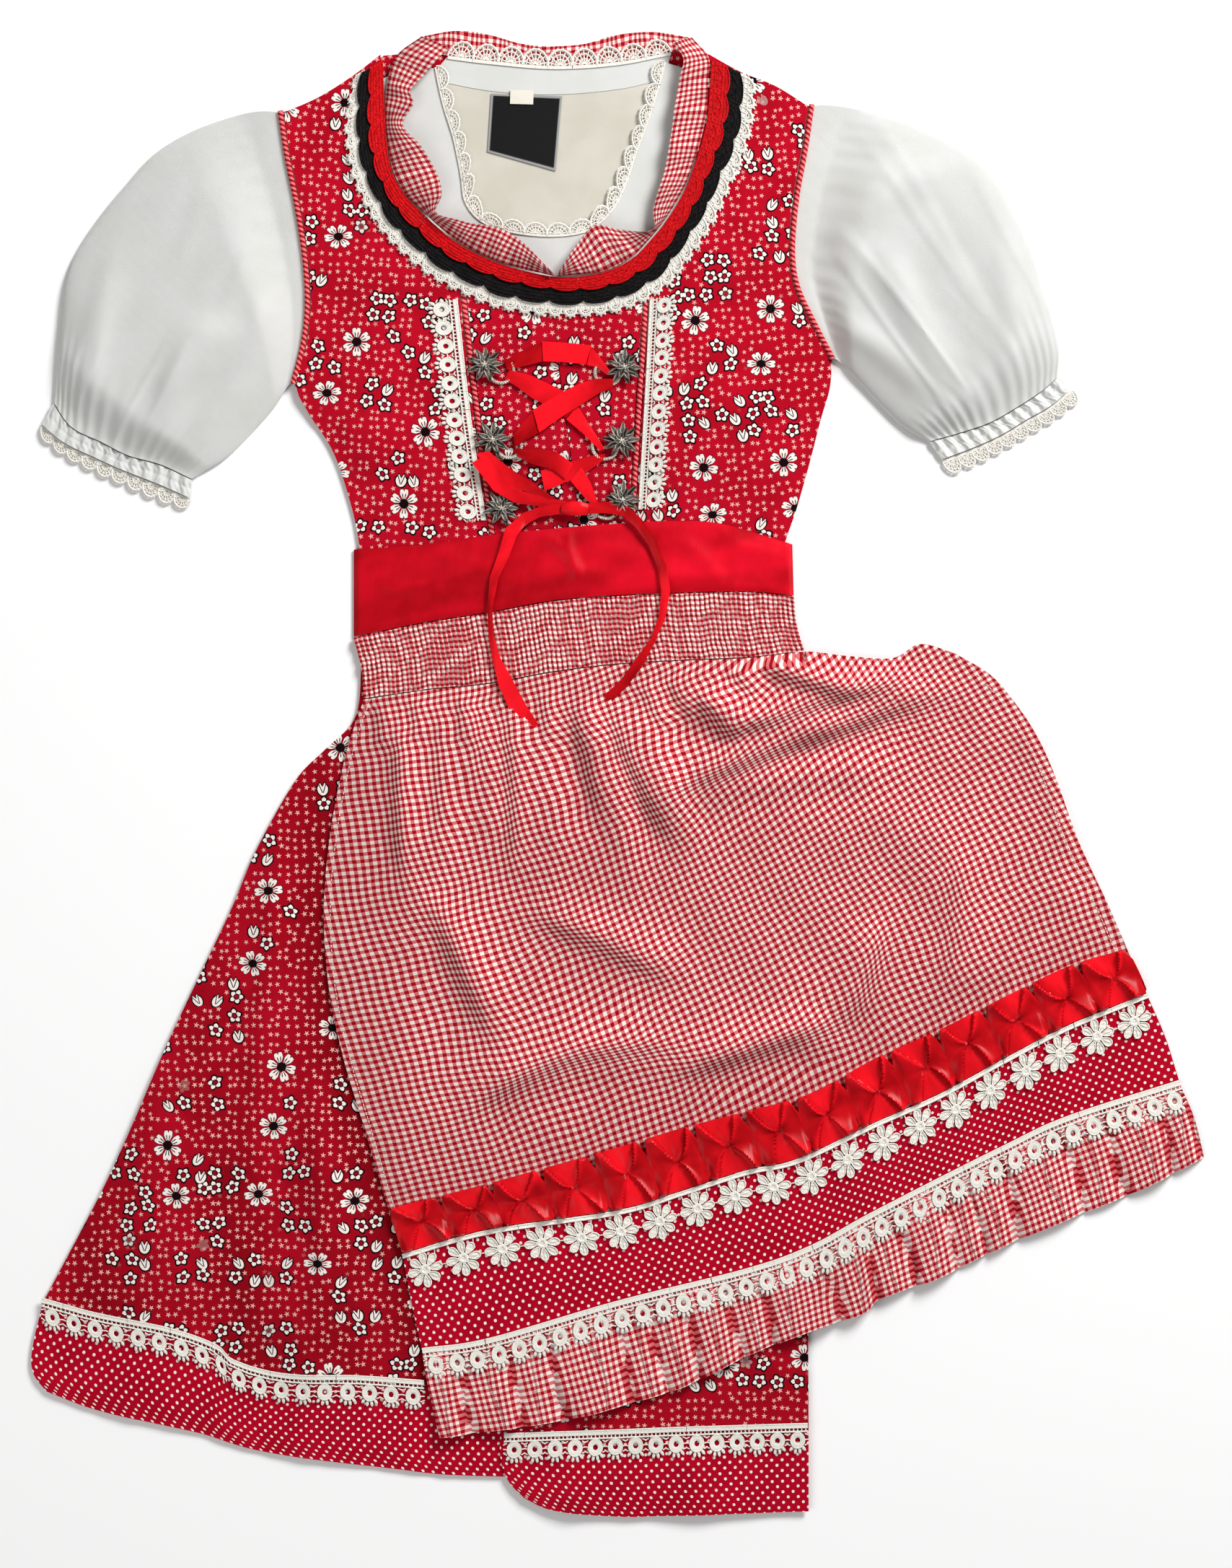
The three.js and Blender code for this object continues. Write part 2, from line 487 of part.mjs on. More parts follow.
// ---------- heights of the layers ----------
const PLEAT_CLEAR = 30;                 // the apron is up on the pleat this far before its edge
const PLEAT_RAMP = 40;
const SKIRT_SIDE_CLEAR = 176;           // x where the apron starts down to the surface, and where it is down
const SURFACE_REACHED = 300;
function apronUnder(x, y) {
  const edge = lineX(PLEAT_EDGE, y);
  const onPleat = smooth(x, edge - PLEAT_CLEAR - PLEAT_RAMP, edge - PLEAT_CLEAR);
  const offSkirt = smooth(x, SKIRT_SIDE_CLEAR, SURFACE_REACHED);
  return (UNDER_THIRD + LAYER * onPleat) * (1 - offSkirt);
}
const apronRidges = ridges(APRON_FOLDS);
const RELIEF_STOP = 26;                 // folds fade out over this height above the ruche
const YOKE_FADE = 12;
function apronTop(x, y) {
  const aboveRuche = smooth(y - lineY(RUCHE_TOP, x), 2, RELIEF_STOP);
  const belowYoke = smooth(lineY(YOKE_BOTTOM, x) - y, 0, YOKE_FADE);
  const free = x > YOKE_BOTTOM[YOKE_BOTTOM.length - 1][0] ? 1 : belowYoke;
  return apronUnder(x, y) + CLOTH + apronRidges(x, y) * aboveRuche * free;
}
const bandTop = (x, y) => apronUnder(x, y) + CLOTH;

const CHEST_LOW = 205;                  // the bodice rises onto the blouse between these heights
const CHEST_HIGH = 290;
const BUSTS = [[-182, 262], [88, 262]]; // plan centres of the two soft crowns
const BUST = { height: 3, radius: 36 };
function bodiceTop(x, y) {
  const chest = LAYER * 2 * smooth(y, CHEST_LOW, CHEST_HIGH);
  const crown = BUSTS.reduce((sum, [bx, by]) => (
    sum + BUST.height * Math.exp(-((x - bx) ** 2 + (y - by) ** 2) / BUST.radius ** 2)), 0);
  return UNDER_SECOND + CLOTH + chest + crown;
}

const skirtRidges = ridges(SKIRT_FOLDS);
const APRON_SHADOW = 18;                // skirt folds lie flat this far outside the apron's edge
const APRON_SHADOW_RAMP = 22;
const APRON_LEFT_LINE = [...APRON_LEFT, [-161, -402], [-152, -448], [-138, -515]];
function skirtTop(x, y) {
  const clear = y < -515 ? 1 : smooth(lineX(APRON_LEFT_LINE, y) - x, APRON_SHADOW, APRON_SHADOW + APRON_SHADOW_RAMP);
  const beyondPleat = smooth(lineX(PLEAT_EDGE, y) - x, 16, 40);
  return UNDER_SECOND + CLOTH + skirtRidges(x, y) * clear * beyondPleat;
}
const pleatRidges = ridges(PLEAT_HEM_FOLDS);
const pleatTop = (x, y) => UNDER_THIRD + CLOTH + pleatRidges(x, y) * smooth(-y, 512, 532);

const on = (surface, lift = ON_CLOTH, thickness = LACE) => (x, y) => surface(x, y) + lift + thickness;

// ---------- dress: backs ----------
add('skirt_back', plate(outlineOf(
  { rows: [[-195, 145], [-100, 156], [0, 166], [70, 167], [127, 159]], count: 4 },
  { rows: [[127, 159], [130, 110], [138, 0], [144, -200], [146, -571]], count: 6 },
  { rows: [[146, -571], [0, -573], [-60, -566], [-90, -543], [-175, -537], [-274, -524], [-327, -509],
    [-403, -492], [-442, -477]], count: 14 },
  { rows: [[-442, -477], [-451, -462], [-445, -415]], count: 3 },
  { rows: SKIRT_LEFT.map(([x, y]) => [x + 2.5, y]), count: 12, reverse: true },
), UNDER_BACK, CLOTH), PRINT);

add('bodice_back', plate(outlineOf(
  { rows: [[-195, 146.5], [-100, 157.5], [0, 167.5], [70, 168.5], [127, 160.5]], count: 4 },
  { rows: SIDE_RIGHT.map(([x, y]) => [x - 2, y]), count: 6, reverse: true },
  { rows: ARMHOLE_RIGHT.map(([x, y]) => [x - 2, y]), count: 8, reverse: true },
  { rows: [[151, 518], [122, 532], [95, 543], [66, 560]], count: 4 },
  { rows: [[66, 560], [0, 563], [-50, 561], [-110, 564], [-182, 558]], count: 6 },
  { rows: [[-182, 558], [-205, 540], [-232, 523], [-262, 513]], count: 4 },
  { rows: ARMHOLE_LEFT.map(([x, y]) => [x + 2, y]), count: 8 },
  { rows: SIDE_LEFT.map(([x, y]) => [x + 2.5, y]), count: 6 },
), UNDER_BACK, CLOTH), PRINT);

// ---------- dress: skirt fronts ----------
const leftSkirt = patch(inset(WAIST_SEAM, 0, -SEAM), HEM_SEAM_LEFT, SKIRT_LEFT, SKIRT_RIGHT);
const SEEN_SHARE = 0.56;                // the apron hides the rest of the left front
const SEEN_COLUMNS = 17;
const leftColumns = [...steps(SEEN_COLUMNS).map((share) => share * SEEN_SHARE), 0.78, 1];
add('skirt_front_left', wall({
  place: leftSkirt,
  outer: skirtTop,
  columns: leftColumns,
  rows: steps(12),
}), PRINT);
const leftHemBand = patch(inset(HEM_SEAM_LEFT, 0, -GAP), HEM_LEFT, inset(HEM_END_LEFT, 0, -GAP), HEM_END_RIGHT);
add('hem_band_left', wall({
  place: leftHemBand,
  outer: skirtTop,
  columns: leftColumns,
  rows: steps(2),
}), DOTTED);

const pleat = patch(inset(PLEAT_TOP, 0, -SEAM), HEM_SEAM_RIGHT, PLEAT_EDGE, PLEAT_RIGHT);
add('skirt_front_right', wall({ place: pleat, outer: pleatTop, columns: steps(12), rows: steps(5) }), PRINT);
const pleatBand = patch(inset(HEM_SEAM_RIGHT, 0, -GAP), HEM_RIGHT, inset(PLEAT_HEM_END, 0, -GAP), PLEAT_HEM_RIGHT);
add('hem_band_right', wall({ place: pleatBand, outer: pleatTop, columns: steps(12), rows: steps(2) }), DOTTED);

// ---------- lace repeats: columns u, v ----------
const RING_REPEAT = [[0, 0], [1, 0], [1, 0.72], [0.72, 1], [0.28, 1], [0, 0.72]];
const SCALLOP_REPEAT = [[0, 0], [1, 0], [1, 0.74], [0.5, 1], [0, 0.74]];

// One daisy hangs from the head by three petals, with a gap on each side of the top one.
const DAISY = { head: 0.14, gap: 0.115, centre: 0.56, radius: 0.44, valley: 0.6, wide: 0.92, thread: 0.05 };
const PETALS = 8;
function daisyRepeat() {
  const at = (angle, reach) => [
    0.5 + Math.cos(angle) * reach * DAISY.wide,
    DAISY.centre + Math.sin(angle) * reach,
  ];
  const step = (2 * Math.PI) / PETALS;
  const tip = (k) => at(k * step, DAISY.radius);
  const dip = (k) => at((k + 0.5) * step, DAISY.radius * DAISY.valley);
  const [rightTip, leftTip] = [tip(-1), tip(-3)];
  const outline = [[0, 0], [1, 0], [1, DAISY.head], [rightTip[0], DAISY.head], rightTip];
  for (let k = 0; k <= 4; k += 1) outline.push(dip(k - 1), tip(k));
  outline.push(dip(4), leftTip, [leftTip[0], DAISY.head], [0, DAISY.head]);
  const topReach = 0.06;
  const gaps = [
    [[0.5 + topReach, DAISY.gap], [rightTip[0] - DAISY.thread, DAISY.gap + 0.01],
      [rightTip[0] - DAISY.thread, rightTip[1] + 0.02], dip(-2)],
    [[0.5 - topReach, DAISY.gap], dip(-3), [leftTip[0] + DAISY.thread, leftTip[1] + 0.02],
      [leftTip[0] + DAISY.thread, DAISY.gap + 0.01]],
  ];
  return { outline, gaps };
}

const hemLace = (name, seam, repeats, surface) => {
  const place = between(seam, inset(seam, 0, -24));
  add(name, trim({ place, repeats, outline: RING_REPEAT, outer: on(surface, OVER_FOLDS) }), IVORY);
};
const PLEAT_LACE_HEAD = [[-88, -512], [0, -509], [50, -507], [148, -504]];
hemLace('hem_lace_left', inset(HEM_SEAM_LEFT.slice(0, 8), 0, 5), RING_LACE_HEM_LEFT, skirtTop);
hemLace('hem_lace_right', PLEAT_LACE_HEAD, RING_LACE_HEM_RIGHT, pleatTop);

// ---------- dress: bodice fronts ----------
const SIDE_DROP = { share: 0.22, from: 262, to: 300 };
const sideTop = (edgeShare) => (x, y, s) => {
  const low = 1 - smooth(y, SIDE_DROP.from, SIDE_DROP.to);
  const near = 1 - smooth(edgeShare(s), 0, SIDE_DROP.share);
  return bodiceTop(x, y) - (bodiceTop(x, y) - UNDER_SECOND - CLOTH) * low * near;
};
const PIPE_HALF = PIPING.width / 2 + GAP + 0.25;
const PIPE_INSET = PIPING.width + GAP + 0.4;
const waistPoint = (x) => [x, lineY(WAIST_SEAM, x) + 2 * HIDDEN_SEAM];
const leftSide = patch(
  [[-259, 513], [-232, 525], [-205, 542], [-184, 558]],
  [waistPoint(-198), waistPoint(-150), waistPoint(-97.7)],
  [[-259, 513], ...offset(ARMHOLE_LEFT, PIPE_INSET).slice(1), ...SIDE_LEFT.slice(1, -1), waistPoint(-198)],
  [...NECK_LEFT.slice(0, -1), [-123.9, 399], ...offset(PRINCESS_LEFT, -PIPE_HALF).slice(1, -1), waistPoint(-97.7)],
);
add('bodice_side_left', wall({
  place: leftSide, outer: sideTop((s) => s), columns: steps(4), rows: steps(14),
}), PRINT);
const rightSide = patch(
  [[68, 560], [95, 545], [122, 534], [148, 518]],
  [waistPoint(12.8), waistPoint(70), waistPoint(129)],
  [...NECK_RIGHT.slice(1).reverse(), [26.9, 401], ...offset(PRINCESS_RIGHT, PIPE_HALF).slice(1, -1),
    waistPoint(12.8)],
  [[148, 518], ...offset(ARMHOLE_RIGHT, -PIPE_INSET).slice(1), ...SIDE_RIGHT.slice(1, -1), waistPoint(129)],
);
add('bodice_side_right', wall({
  place: rightSide, outer: sideTop((s) => 1 - s), columns: steps(4), rows: steps(14),
}), PRINT);

const centreLeft = patch(
  [[-118.5, 398], [-95, 389], [-48.3, 380]],
  [waistPoint(-92.4), waistPoint(-60), waistPoint(-27.3)],
  [[-118.5, 398], ...offset(PRINCESS_LEFT, PIPE_HALF).slice(1, -1), waistPoint(-92.4)],
  [[-48.3, 380], ...inset(PLACKET.slice(1, -1), -0.3), waistPoint(-27.3)],
);
const centreRight = patch(
  [[-47.7, 380], [-5, 386], [21.5, 400]],
  [waistPoint(-26.7), waistPoint(-10), waistPoint(7.4)],
  [[-47.7, 380], ...inset(PLACKET.slice(1, -1), 0.3), waistPoint(-26.7)],
  [[21.5, 400], ...offset(PRINCESS_RIGHT, -PIPE_HALF).slice(1, -1), waistPoint(7.4)],
);
add('bodice_center_left', wall({
  place: centreLeft, outer: bodiceTop, columns: steps(2), rows: steps(9),
}), PRINT);
add('bodice_center_right', wall({
  place: centreRight, outer: bodiceTop, columns: steps(2), rows: steps(9),
}), PRINT);

// Piping: a half-round cord of bias gingham set in a seam.
const PIPE_SECTION = [[-0.5, 0], [0.5, 0], [0.42, 0.62], [0, 1], [-0.42, 0.62]];
function piping(rows, count, height) {
  const at = along(rows);
  const rings = steps(count).map((s) => {
    const [x, y] = at(s);
    const [ax, ay] = at(Math.max(s - 0.02, 0));
    const [bx, by] = at(Math.min(s + 0.02, 1));
    const length = Math.hypot(bx - ax, by - ay);
    const [nx, ny] = [-(by - ay) / length, (bx - ax) / length];
    return PIPE_SECTION.map(([across, up]) => {
      const reach = across * PIPING.width;
      return [x + nx * reach, y + ny * reach, bodiceTop(x, y) - CLOTH + up * height(x, y)];
    });
  });
  return sweep(rings);
}
const halfPipe = PIPING.width / 2;
const fullPipe = () => PIPING.height;
// A princess piping is pressed flat where the neck trims and the waistband cross it.
const pressedPipe = (x, y) => {
  const neck = smooth(y, 350, 361);
  const band = 1 - smooth(y - lineY(BAND_TOP, x), 2, 10);
  return PIPING.height - (PIPING.height - CLOTH) * Math.max(neck, band);
};
add('piping_armhole_left', piping(offset(ARMHOLE_LEFT, halfPipe), 12, fullPipe), GINGHAM);
add('piping_armhole_right', piping(offset(ARMHOLE_RIGHT, -halfPipe), 12, fullPipe), GINGHAM);
add('piping_princess_left', piping([...PRINCESS_LEFT.slice(0, -1), waistPoint(-95)], 12, pressedPipe), GINGHAM);
add('piping_princess_right', piping([...PRINCESS_RIGHT.slice(0, -1), waistPoint(10)], 12, pressedPipe), GINGHAM);

const bodiceLace = (name, head, free) => {
  const place = between(head, free);
  add(name, trim({ place, repeats: RING_LACE_BODICE, outline: SCALLOP_REPEAT, outer: on(bodiceTop) }), IVORY);
};
bodiceLace('bodice_lace_left', [[-124, 368], [-114, 280], [-102, 197]], [[-148, 366], [-138, 280], [-126, 196]]);
bodiceLace('bodice_lace_right', [[25, 368], [21, 290], [16, 205]], [[46, 372], [42, 290], [37, 206]]);

// ---------- dress: neck trims, each lapped over the last ----------
const LAP = { white: 0, black: 1.9, red: 2.1 };
function neckBraid(name, inner, outerEdge, repeats, lap, color, outline) {
  const place = between(inner, outerEdge);
  const outer = (x, y, s, v) => bodiceTop(x, y) + ON_CLOTH + LACE + lap * v;
  add(name, trim({ place, repeats, outline, outer }), color);
}
neckBraid('neck_lace_white', NECK_WHITE_IN, NECK_WHITE_OUT, RING_LACE_NECK, LAP.white, IVORY, SCALLOP_REPEAT);
neckBraid('neck_lace_black', NECK_BLACK_IN, NECK_BLACK_OUT, BLACK_SCALLOPS, LAP.black, BLACK, SCALLOP_REPEAT);
neckBraid('neck_lace_red', NECK_RED_IN, NECK_RED_OUT, RED_SCALLOPS, LAP.red, SATIN, SCALLOP_REPEAT);

const RUFFLE_RISE = 7;
const RUFFLE_WAVE = 2.6;
const standing = (x, y, s, t) => {
  const wave = 0.5 - 0.5 * Math.cos(2 * Math.PI * (NECK_RUFFLE_WAVES * s + 0.15 * Math.sin(9 * s)));
  return UNDER_FOURTH + 2 * CLOTH + GAP + RUFFLE_RISE * Math.sin(t * Math.PI * 0.6) + RUFFLE_WAVE * wave * t;
};
const neckRuffle = (name, sewn, free) => add(name, wall({
  place: between(sewn, free), outer: standing, columns: steps(21), rows: steps(2),
}), GINGHAM);
neckRuffle('neck_ruffle_left', RUFFLE_SEWN_LEFT, RUFFLE_FREE_LEFT);
neckRuffle('neck_ruffle_right', RUFFLE_SEWN_RIGHT, RUFFLE_FREE_RIGHT);
add('neck_ruffle_back', wall({
  place: between(RUFFLE_BACK_OUT, inset([[-150, 561], ...COLLAR_TOP, [55, 563]], 0, 1)),
  outer: (x, y, s) => UNDER_SECOND + CLOTH + 0.2 * Math.sin(40 * s),
  columns: steps(14),
  rows: steps(1),
}), GINGHAM);

// ---------- blouse ----------
add('blouse_back', plate(BLOUSE_BACK_OUTLINE, UNDER_SECOND, CLOTH), BLOUSE_WHITE);
add('blouse_front', plate([
  ...steps(26).map(along(BLOUSE_NECK)),
  ...BLOUSE_FRONT_SIDES,
], UNDER_THIRD, CLOTH), BLOUSE_WHITE);
add('collar_back', wall({
  place: between(COLLAR_TOP, inset(COLLAR_BOTTOM, 0, GAP + 0.2)),
  outer: () => UNDER_SECOND + CLOTH,
  columns: steps(8),
  rows: steps(1),
}), BLOUSE_WHITE);
add('collar_lace', trim({
  place: between(inset(COLLAR_TOP, 0, -2), COLLAR_LACE_TOP),
  repeats: FANS_BACK,
  outline: SCALLOP_REPEAT,
  outer: () => UNDER_THIRD + ON_CLOTH + LACE,
}), IVORY);
add('blouse_neck_lace', trim({
  place: between(BLOUSE_NECK, BLOUSE_LACE_FREE),
  repeats: FANS_FRONT,
  outline: SCALLOP_REPEAT,
  outer: () => UNDER_FOURTH + LACE + 0.2,
}), IVORY);

const PUFF = { height: 17, power: 0.62, tucked: 0.06, head: 0.26, hem: 0.16 };
const sleeveRidges = ridges(SLEEVE_FOLDS);
const puffTop = (x, y, s, t) => {
  const across = Math.max(0, 1 - (2 * t - 1) ** 2) ** PUFF.power;
  const length = smooth(s, PUFF.tucked, PUFF.head) * (1 - 0.85 * smooth(s, 1 - PUFF.hem, 1));
  const tucked = LAYER * (1 - smooth(s, PUFF.tucked, 0.14));
  return UNDER_SECOND + CLOTH + Math.max(tucked, (PUFF.height + sleeveRidges(x, y)) * across * length);
};
const SLEEVE_COLUMNS = [0, 0.06, 0.14, 0.26, 0.4, 0.55, 0.7, 0.84, 0.93, 1];
const SLEEVE_ROWS = [0, 0.04, 0.14, 0.3, 0.5, 0.7, 0.86, 0.96, 1];
function sleeve(side, head, upper, under, gather, cuffFree, laceFree) {
  const place = patch(upper, under, head, gather);
  add(`sleeve_front_${side}`, wall({
    place, outer: puffTop, columns: SLEEVE_COLUMNS, rows: SLEEVE_ROWS,
  }), BLOUSE_WHITE);
  const cuffPlace = between(gather.map((point, i) => mix(point, cuffFree[i], 0.06)), cuffFree);
  const crimp = (x, y, s, t) => {
    const gathers = 0.5 - 0.5 * Math.cos(2 * Math.PI * CUFF_GATHERS * s);
    return UNDER_SECOND + CLOTH + 0.6 + 2.6 * gathers * (1 - 0.35 * t);
  };
  add(`cuff_${side}`, wall({
    place: cuffPlace,
    outer: crimp,
    columns: steps(2 * CUFF_GATHERS),
    rows: steps(1),
    inside: () => UNDER_SECOND,
  }), BLOUSE_WHITE);
  add(`cuff_lace_${side}`, trim({
    place: between(cuffFree.map((point, i) => mix(point, laceFree[i], 0.06)), laceFree),
    repeats: FANS_CUFF,
    outline: SCALLOP_REPEAT,
    outer: () => UNDER_SECOND + LACE,
  }), IVORY);
}
sleeve('left', SLEEVE_HEAD_LEFT, SLEEVE_UPPER_LEFT, SLEEVE_UNDER_LEFT, GATHER_LEFT, CUFF_FREE_LEFT, CUFF_LACE_LEFT);
sleeve('right', SLEEVE_HEAD_RIGHT, SLEEVE_UPPER_RIGHT, SLEEVE_UNDER_RIGHT, GATHER_RIGHT, CUFF_FREE_RIGHT,
  CUFF_LACE_RIGHT);
add('sleeve_back_left', plate(outlineOf(
  { rows: inset(SLEEVE_UPPER_LEFT.slice(1), 1, -1.5), count: 12 },
  { rows: [[-437, 287], [-445, 273], [-446, 270]], count: 2 },
  { rows: inset(CUFF_FREE_LEFT, 1, 1), count: 5 },
  { rows: [[-333, 216], [-332, 228], [-307, 244], [-287, 263], [-268, 285], [-257, 301.5]], count: 6 },
  { rows: inset(ARMHOLE_LEFT, 1.2).reverse(), count: 8 },
), UNDER_BACK, CLOTH), BLOUSE_WHITE);
add('sleeve_back_right', plate(outlineOf(
  { rows: inset(SLEEVE_UPPER_RIGHT.slice(1), -1, -1.5), count: 12 },
  { rows: [[342, 307], [350, 299]], count: 1 },
  { rows: inset(CUFF_FREE_RIGHT, -1, 1), count: 5 },
  { rows: [[252, 246], [243, 259], [228, 266], [213, 278], [190, 302], [173, 320]], count: 6 },
  { rows: inset(ARMHOLE_RIGHT, -1.2).reverse(), count: 8 },
), UNDER_BACK, CLOTH), BLOUSE_WHITE);

add('label', plate(LABEL_CORNERS, UNDER_THIRD, WOVEN_LABEL), LABEL_GREY);
add('size_tab', plate(TAB_CORNERS, UNDER_THIRD + WOVEN_LABEL + GAP, WOVEN_LABEL), BLOUSE_WHITE);

// ---------- apron ----------
const TURN = 0.012;                     // share of the band that turns down at each side
const bandOuter = (x, y, s) => {
  const down = 1 - smooth(Math.min(s, 1 - s), 0, TURN);
  const upper = bandTop(x, y) + BAND_WALL - CLOTH;
  return upper - down * (upper - BAND_WALL - GAP);
};
add('apron_waistband', wall({
  place: between(BAND_TOP, inset(BAND_BOTTOM, 0, HIDDEN_SEAM)),
  outer: bandOuter,
  columns: [0, TURN, ...steps(12).slice(1, -1), 1 - TURN, 1],
  rows: steps(2),
  thickness: BAND_WALL,
}), BAND, 0.6);

const yokeTop = inset(BAND_BOTTOM, 0, -HIDDEN_SEAM);
const PUCKER = 2.2;
const smockOuter = (x, y, s, t) => {
  const gather = 0.5 - 0.5 * Math.cos(2 * Math.PI * SMOCK_GATHERS * s);
  const between = 0.35 + 0.65 * Math.abs(Math.sin(Math.PI * SMOCK_ROWS * t));
  return bandTop(x, y) + PUCKER * gather * between;
};
add('apron_smocking', wall({
  place: patch(yokeTop, inset(YOKE_BOTTOM, 0, HIDDEN_SEAM), [[-205, 106], [-199, 82], [-197, 58]],
    [[137, 138], [139, 117], [145, 95]]),
  outer: smockOuter,
  columns: steps(2 * SMOCK_GATHERS),
  rows: steps(2 * SMOCK_ROWS),
  inside: (x, y) => apronUnder(x, y),
}), GINGHAM);

const apronPlace = patch(inset(APRON_TOP, 0, -HIDDEN_SEAM), inset(SEAM_A, 0, SEAM), APRON_LEFT, APRON_RIGHT);
add('apron_panel', wall({ place: apronPlace, outer: apronTop, columns: steps(22), rows: steps(14) }), GINGHAM);

const apronFlat = (x, y) => apronUnder(x, y) + CLOTH;
const dotPlace = patch(inset(SEAM_A, 0, -SEAM), inset(SEAM_B, 0, HIDDEN_SEAM),
  [[-167, -374], [-160, -411], [-152, -448]], [[412, -172], [426, -205], [437, -240]]);
add('apron_dot_band', wall({ place: dotPlace, outer: apronFlat, columns: steps(22), rows: steps(2) }), DOTTED);

const RUFFLE_CREST = 7;
const gatherWave = (s) => 0.5 + 0.5 * Math.cos(2 * Math.PI * RUFFLE_GATHERS * (s + 0.006 * Math.sin(23 * s)));
const rufflePlace = patch(inset(SEAM_B, 0, -2 * HIDDEN_SEAM), RUFFLE_FREE, [[-152, -448], [-146, -481], [-138, -515]],
  [[437, -240], [448, -266], [456, -298]]);
add('apron_ruffle', wall({
  place: rufflePlace,
  outer: (x, y, s, t) => apronFlat(x, y) + RUFFLE_CREST * t * gatherWave(s),
  columns: steps(3 * RUFFLE_GATHERS),
  rows: [0, 0.36, 1],
}), GINGHAM);

// Satin ruche: each unit is a flat pleat and a bow pinched in the middle.
const RUCHE = { base: 1.0, flat: 0.8, bow: 4.6, share: 0.45 };
const rucheOuter = (x, y, s, t) => {
  const unit = (s * RUCHE_UNITS) % 1;
  const bow = unit < RUCHE.share ? 0 : Math.sin((Math.PI * (unit - RUCHE.share)) / (1 - RUCHE.share));
  const open = 0.35 + 0.65 * Math.abs(2 * t - 1);
  return apronFlat(x, y) + ON_CLOTH + RUCHE.base + RUCHE.flat * (1 - bow) + RUCHE.bow * bow * open;
};
const unitColumns = [0, 0.42, 0.6, 0.8];
const rucheColumns = [];
for (let unit = 0; unit < RUCHE_UNITS; unit += 1) {
  for (const share of unitColumns) rucheColumns.push((unit + share) / RUCHE_UNITS);
}
rucheColumns.push(1);
add('apron_ruche', wall({
  place: patch(RUCHE_TOP, inset(SEAM_A, 0, 2), [[-179, -338], [-172, -356], [-167, -372]],
    [[396, -136], [405, -153], [412, -170]]),
  outer: rucheOuter,
  columns: rucheColumns,
  rows: [0, 0.5, 1],
  inside: (x, y) => apronFlat(x, y) + ON_CLOTH,
}), SATIN, 0.35);

const { outline: daisyOutline, gaps: daisyGaps } = daisyRepeat();
add('apron_daisy_lace', trim({
  place: between(inset(SEAM_A, 0, 1.2), DAISY_FREE),
  repeats: DAISIES,
  outline: daisyOutline,
  gaps: daisyGaps,
  outer: (x, y) => apronFlat(x, y) + ON_CLOTH + 1.4,
  thickness: 1.4,
}), IVORY);
add('apron_ring_lace', trim({
  place: between(inset(SEAM_B, 0, 2), RING_FREE),
  repeats: RING_LACE_APRON,
  outline: RING_REPEAT,
  outer: (x, y, s, v) => apronFlat(x, y) + ON_CLOTH + LACE + RUFFLE_CREST * 0.5 * v,
}), IVORY);

// ---------- lacing ----------
const HOOKS = [                         // columns name, x, y, side of the rope loop
  ['hook_left_upper', -103, 317, 1],
  ['hook_left_middle', -97, 259, 1],
  ['hook_left_lower', -90, 206, 1],
  ['hook_right_upper', 5, 315, -1],
  ['hook_right_middle', 3, 258, -1],
  ['hook_right_lower', 4, 212, -1],
];
// A flower of pointed petals on a cone-shaped foot, with a rope loop toward the centre front.
function hook(x, y, side) {
  const base = bodiceTop(x, y);
  const corners = HOOK.petals * 2;
  const rim = (z) => steps(corners).slice(0, -1).map((share, i) => {
    const reach = HOOK.radius * (i % 2 ? HOOK.valley : 1);
    const angle = share * 2 * Math.PI;
    return [x + reach * Math.cos(angle), y + reach * Math.sin(angle), base + z];
  });
  const ends = [[x, y, base + HOOK.height], [x, y, base + HOOK.foot]];
  const positions = [...rim(HOOK.rimUnder), ...rim(HOOK.rimTop), ...ends];
  const [peak, foot] = [2 * corners, 2 * corners + 1];
  const faces = [];
  for (let i = 0; i < corners; i += 1) {
    const next = (i + 1) % corners;
    faces.push([i, next, corners + next], [i, corners + next, corners + i]);
    faces.push([corners + i, corners + next, peak], [next, i, foot]);
  }
  const centre = [x + side * (HOOK.radius - 1), y - 4];
  const loop = sweep(steps(ROPE.steps).map((share) => {
    const angle = -Math.PI * (0.95 - 1.15 * share) * side + (side < 0 ? Math.PI : 0);
    const direction = [Math.cos(angle), Math.sin(angle)];
    return steps(ROPE.sides).slice(0, -1).map((turn) => {
      const around = turn * 2 * Math.PI + Math.PI / 4;
      const reach = ROPE.loop + ROPE.radius * Math.cos(around);
      return [centre[0] + direction[0] * reach, centre[1] + direction[1] * reach,
        base + ON_CLOTH + ROPE.radius + ROPE.radius * Math.sin(around)];
    });
  }));
  return join([closedBody(positions, faces), loop]);
}
for (const [name, x, y, side] of HOOKS) add(name, hook(x, y, side), SILVER, 0.4, 0.9);

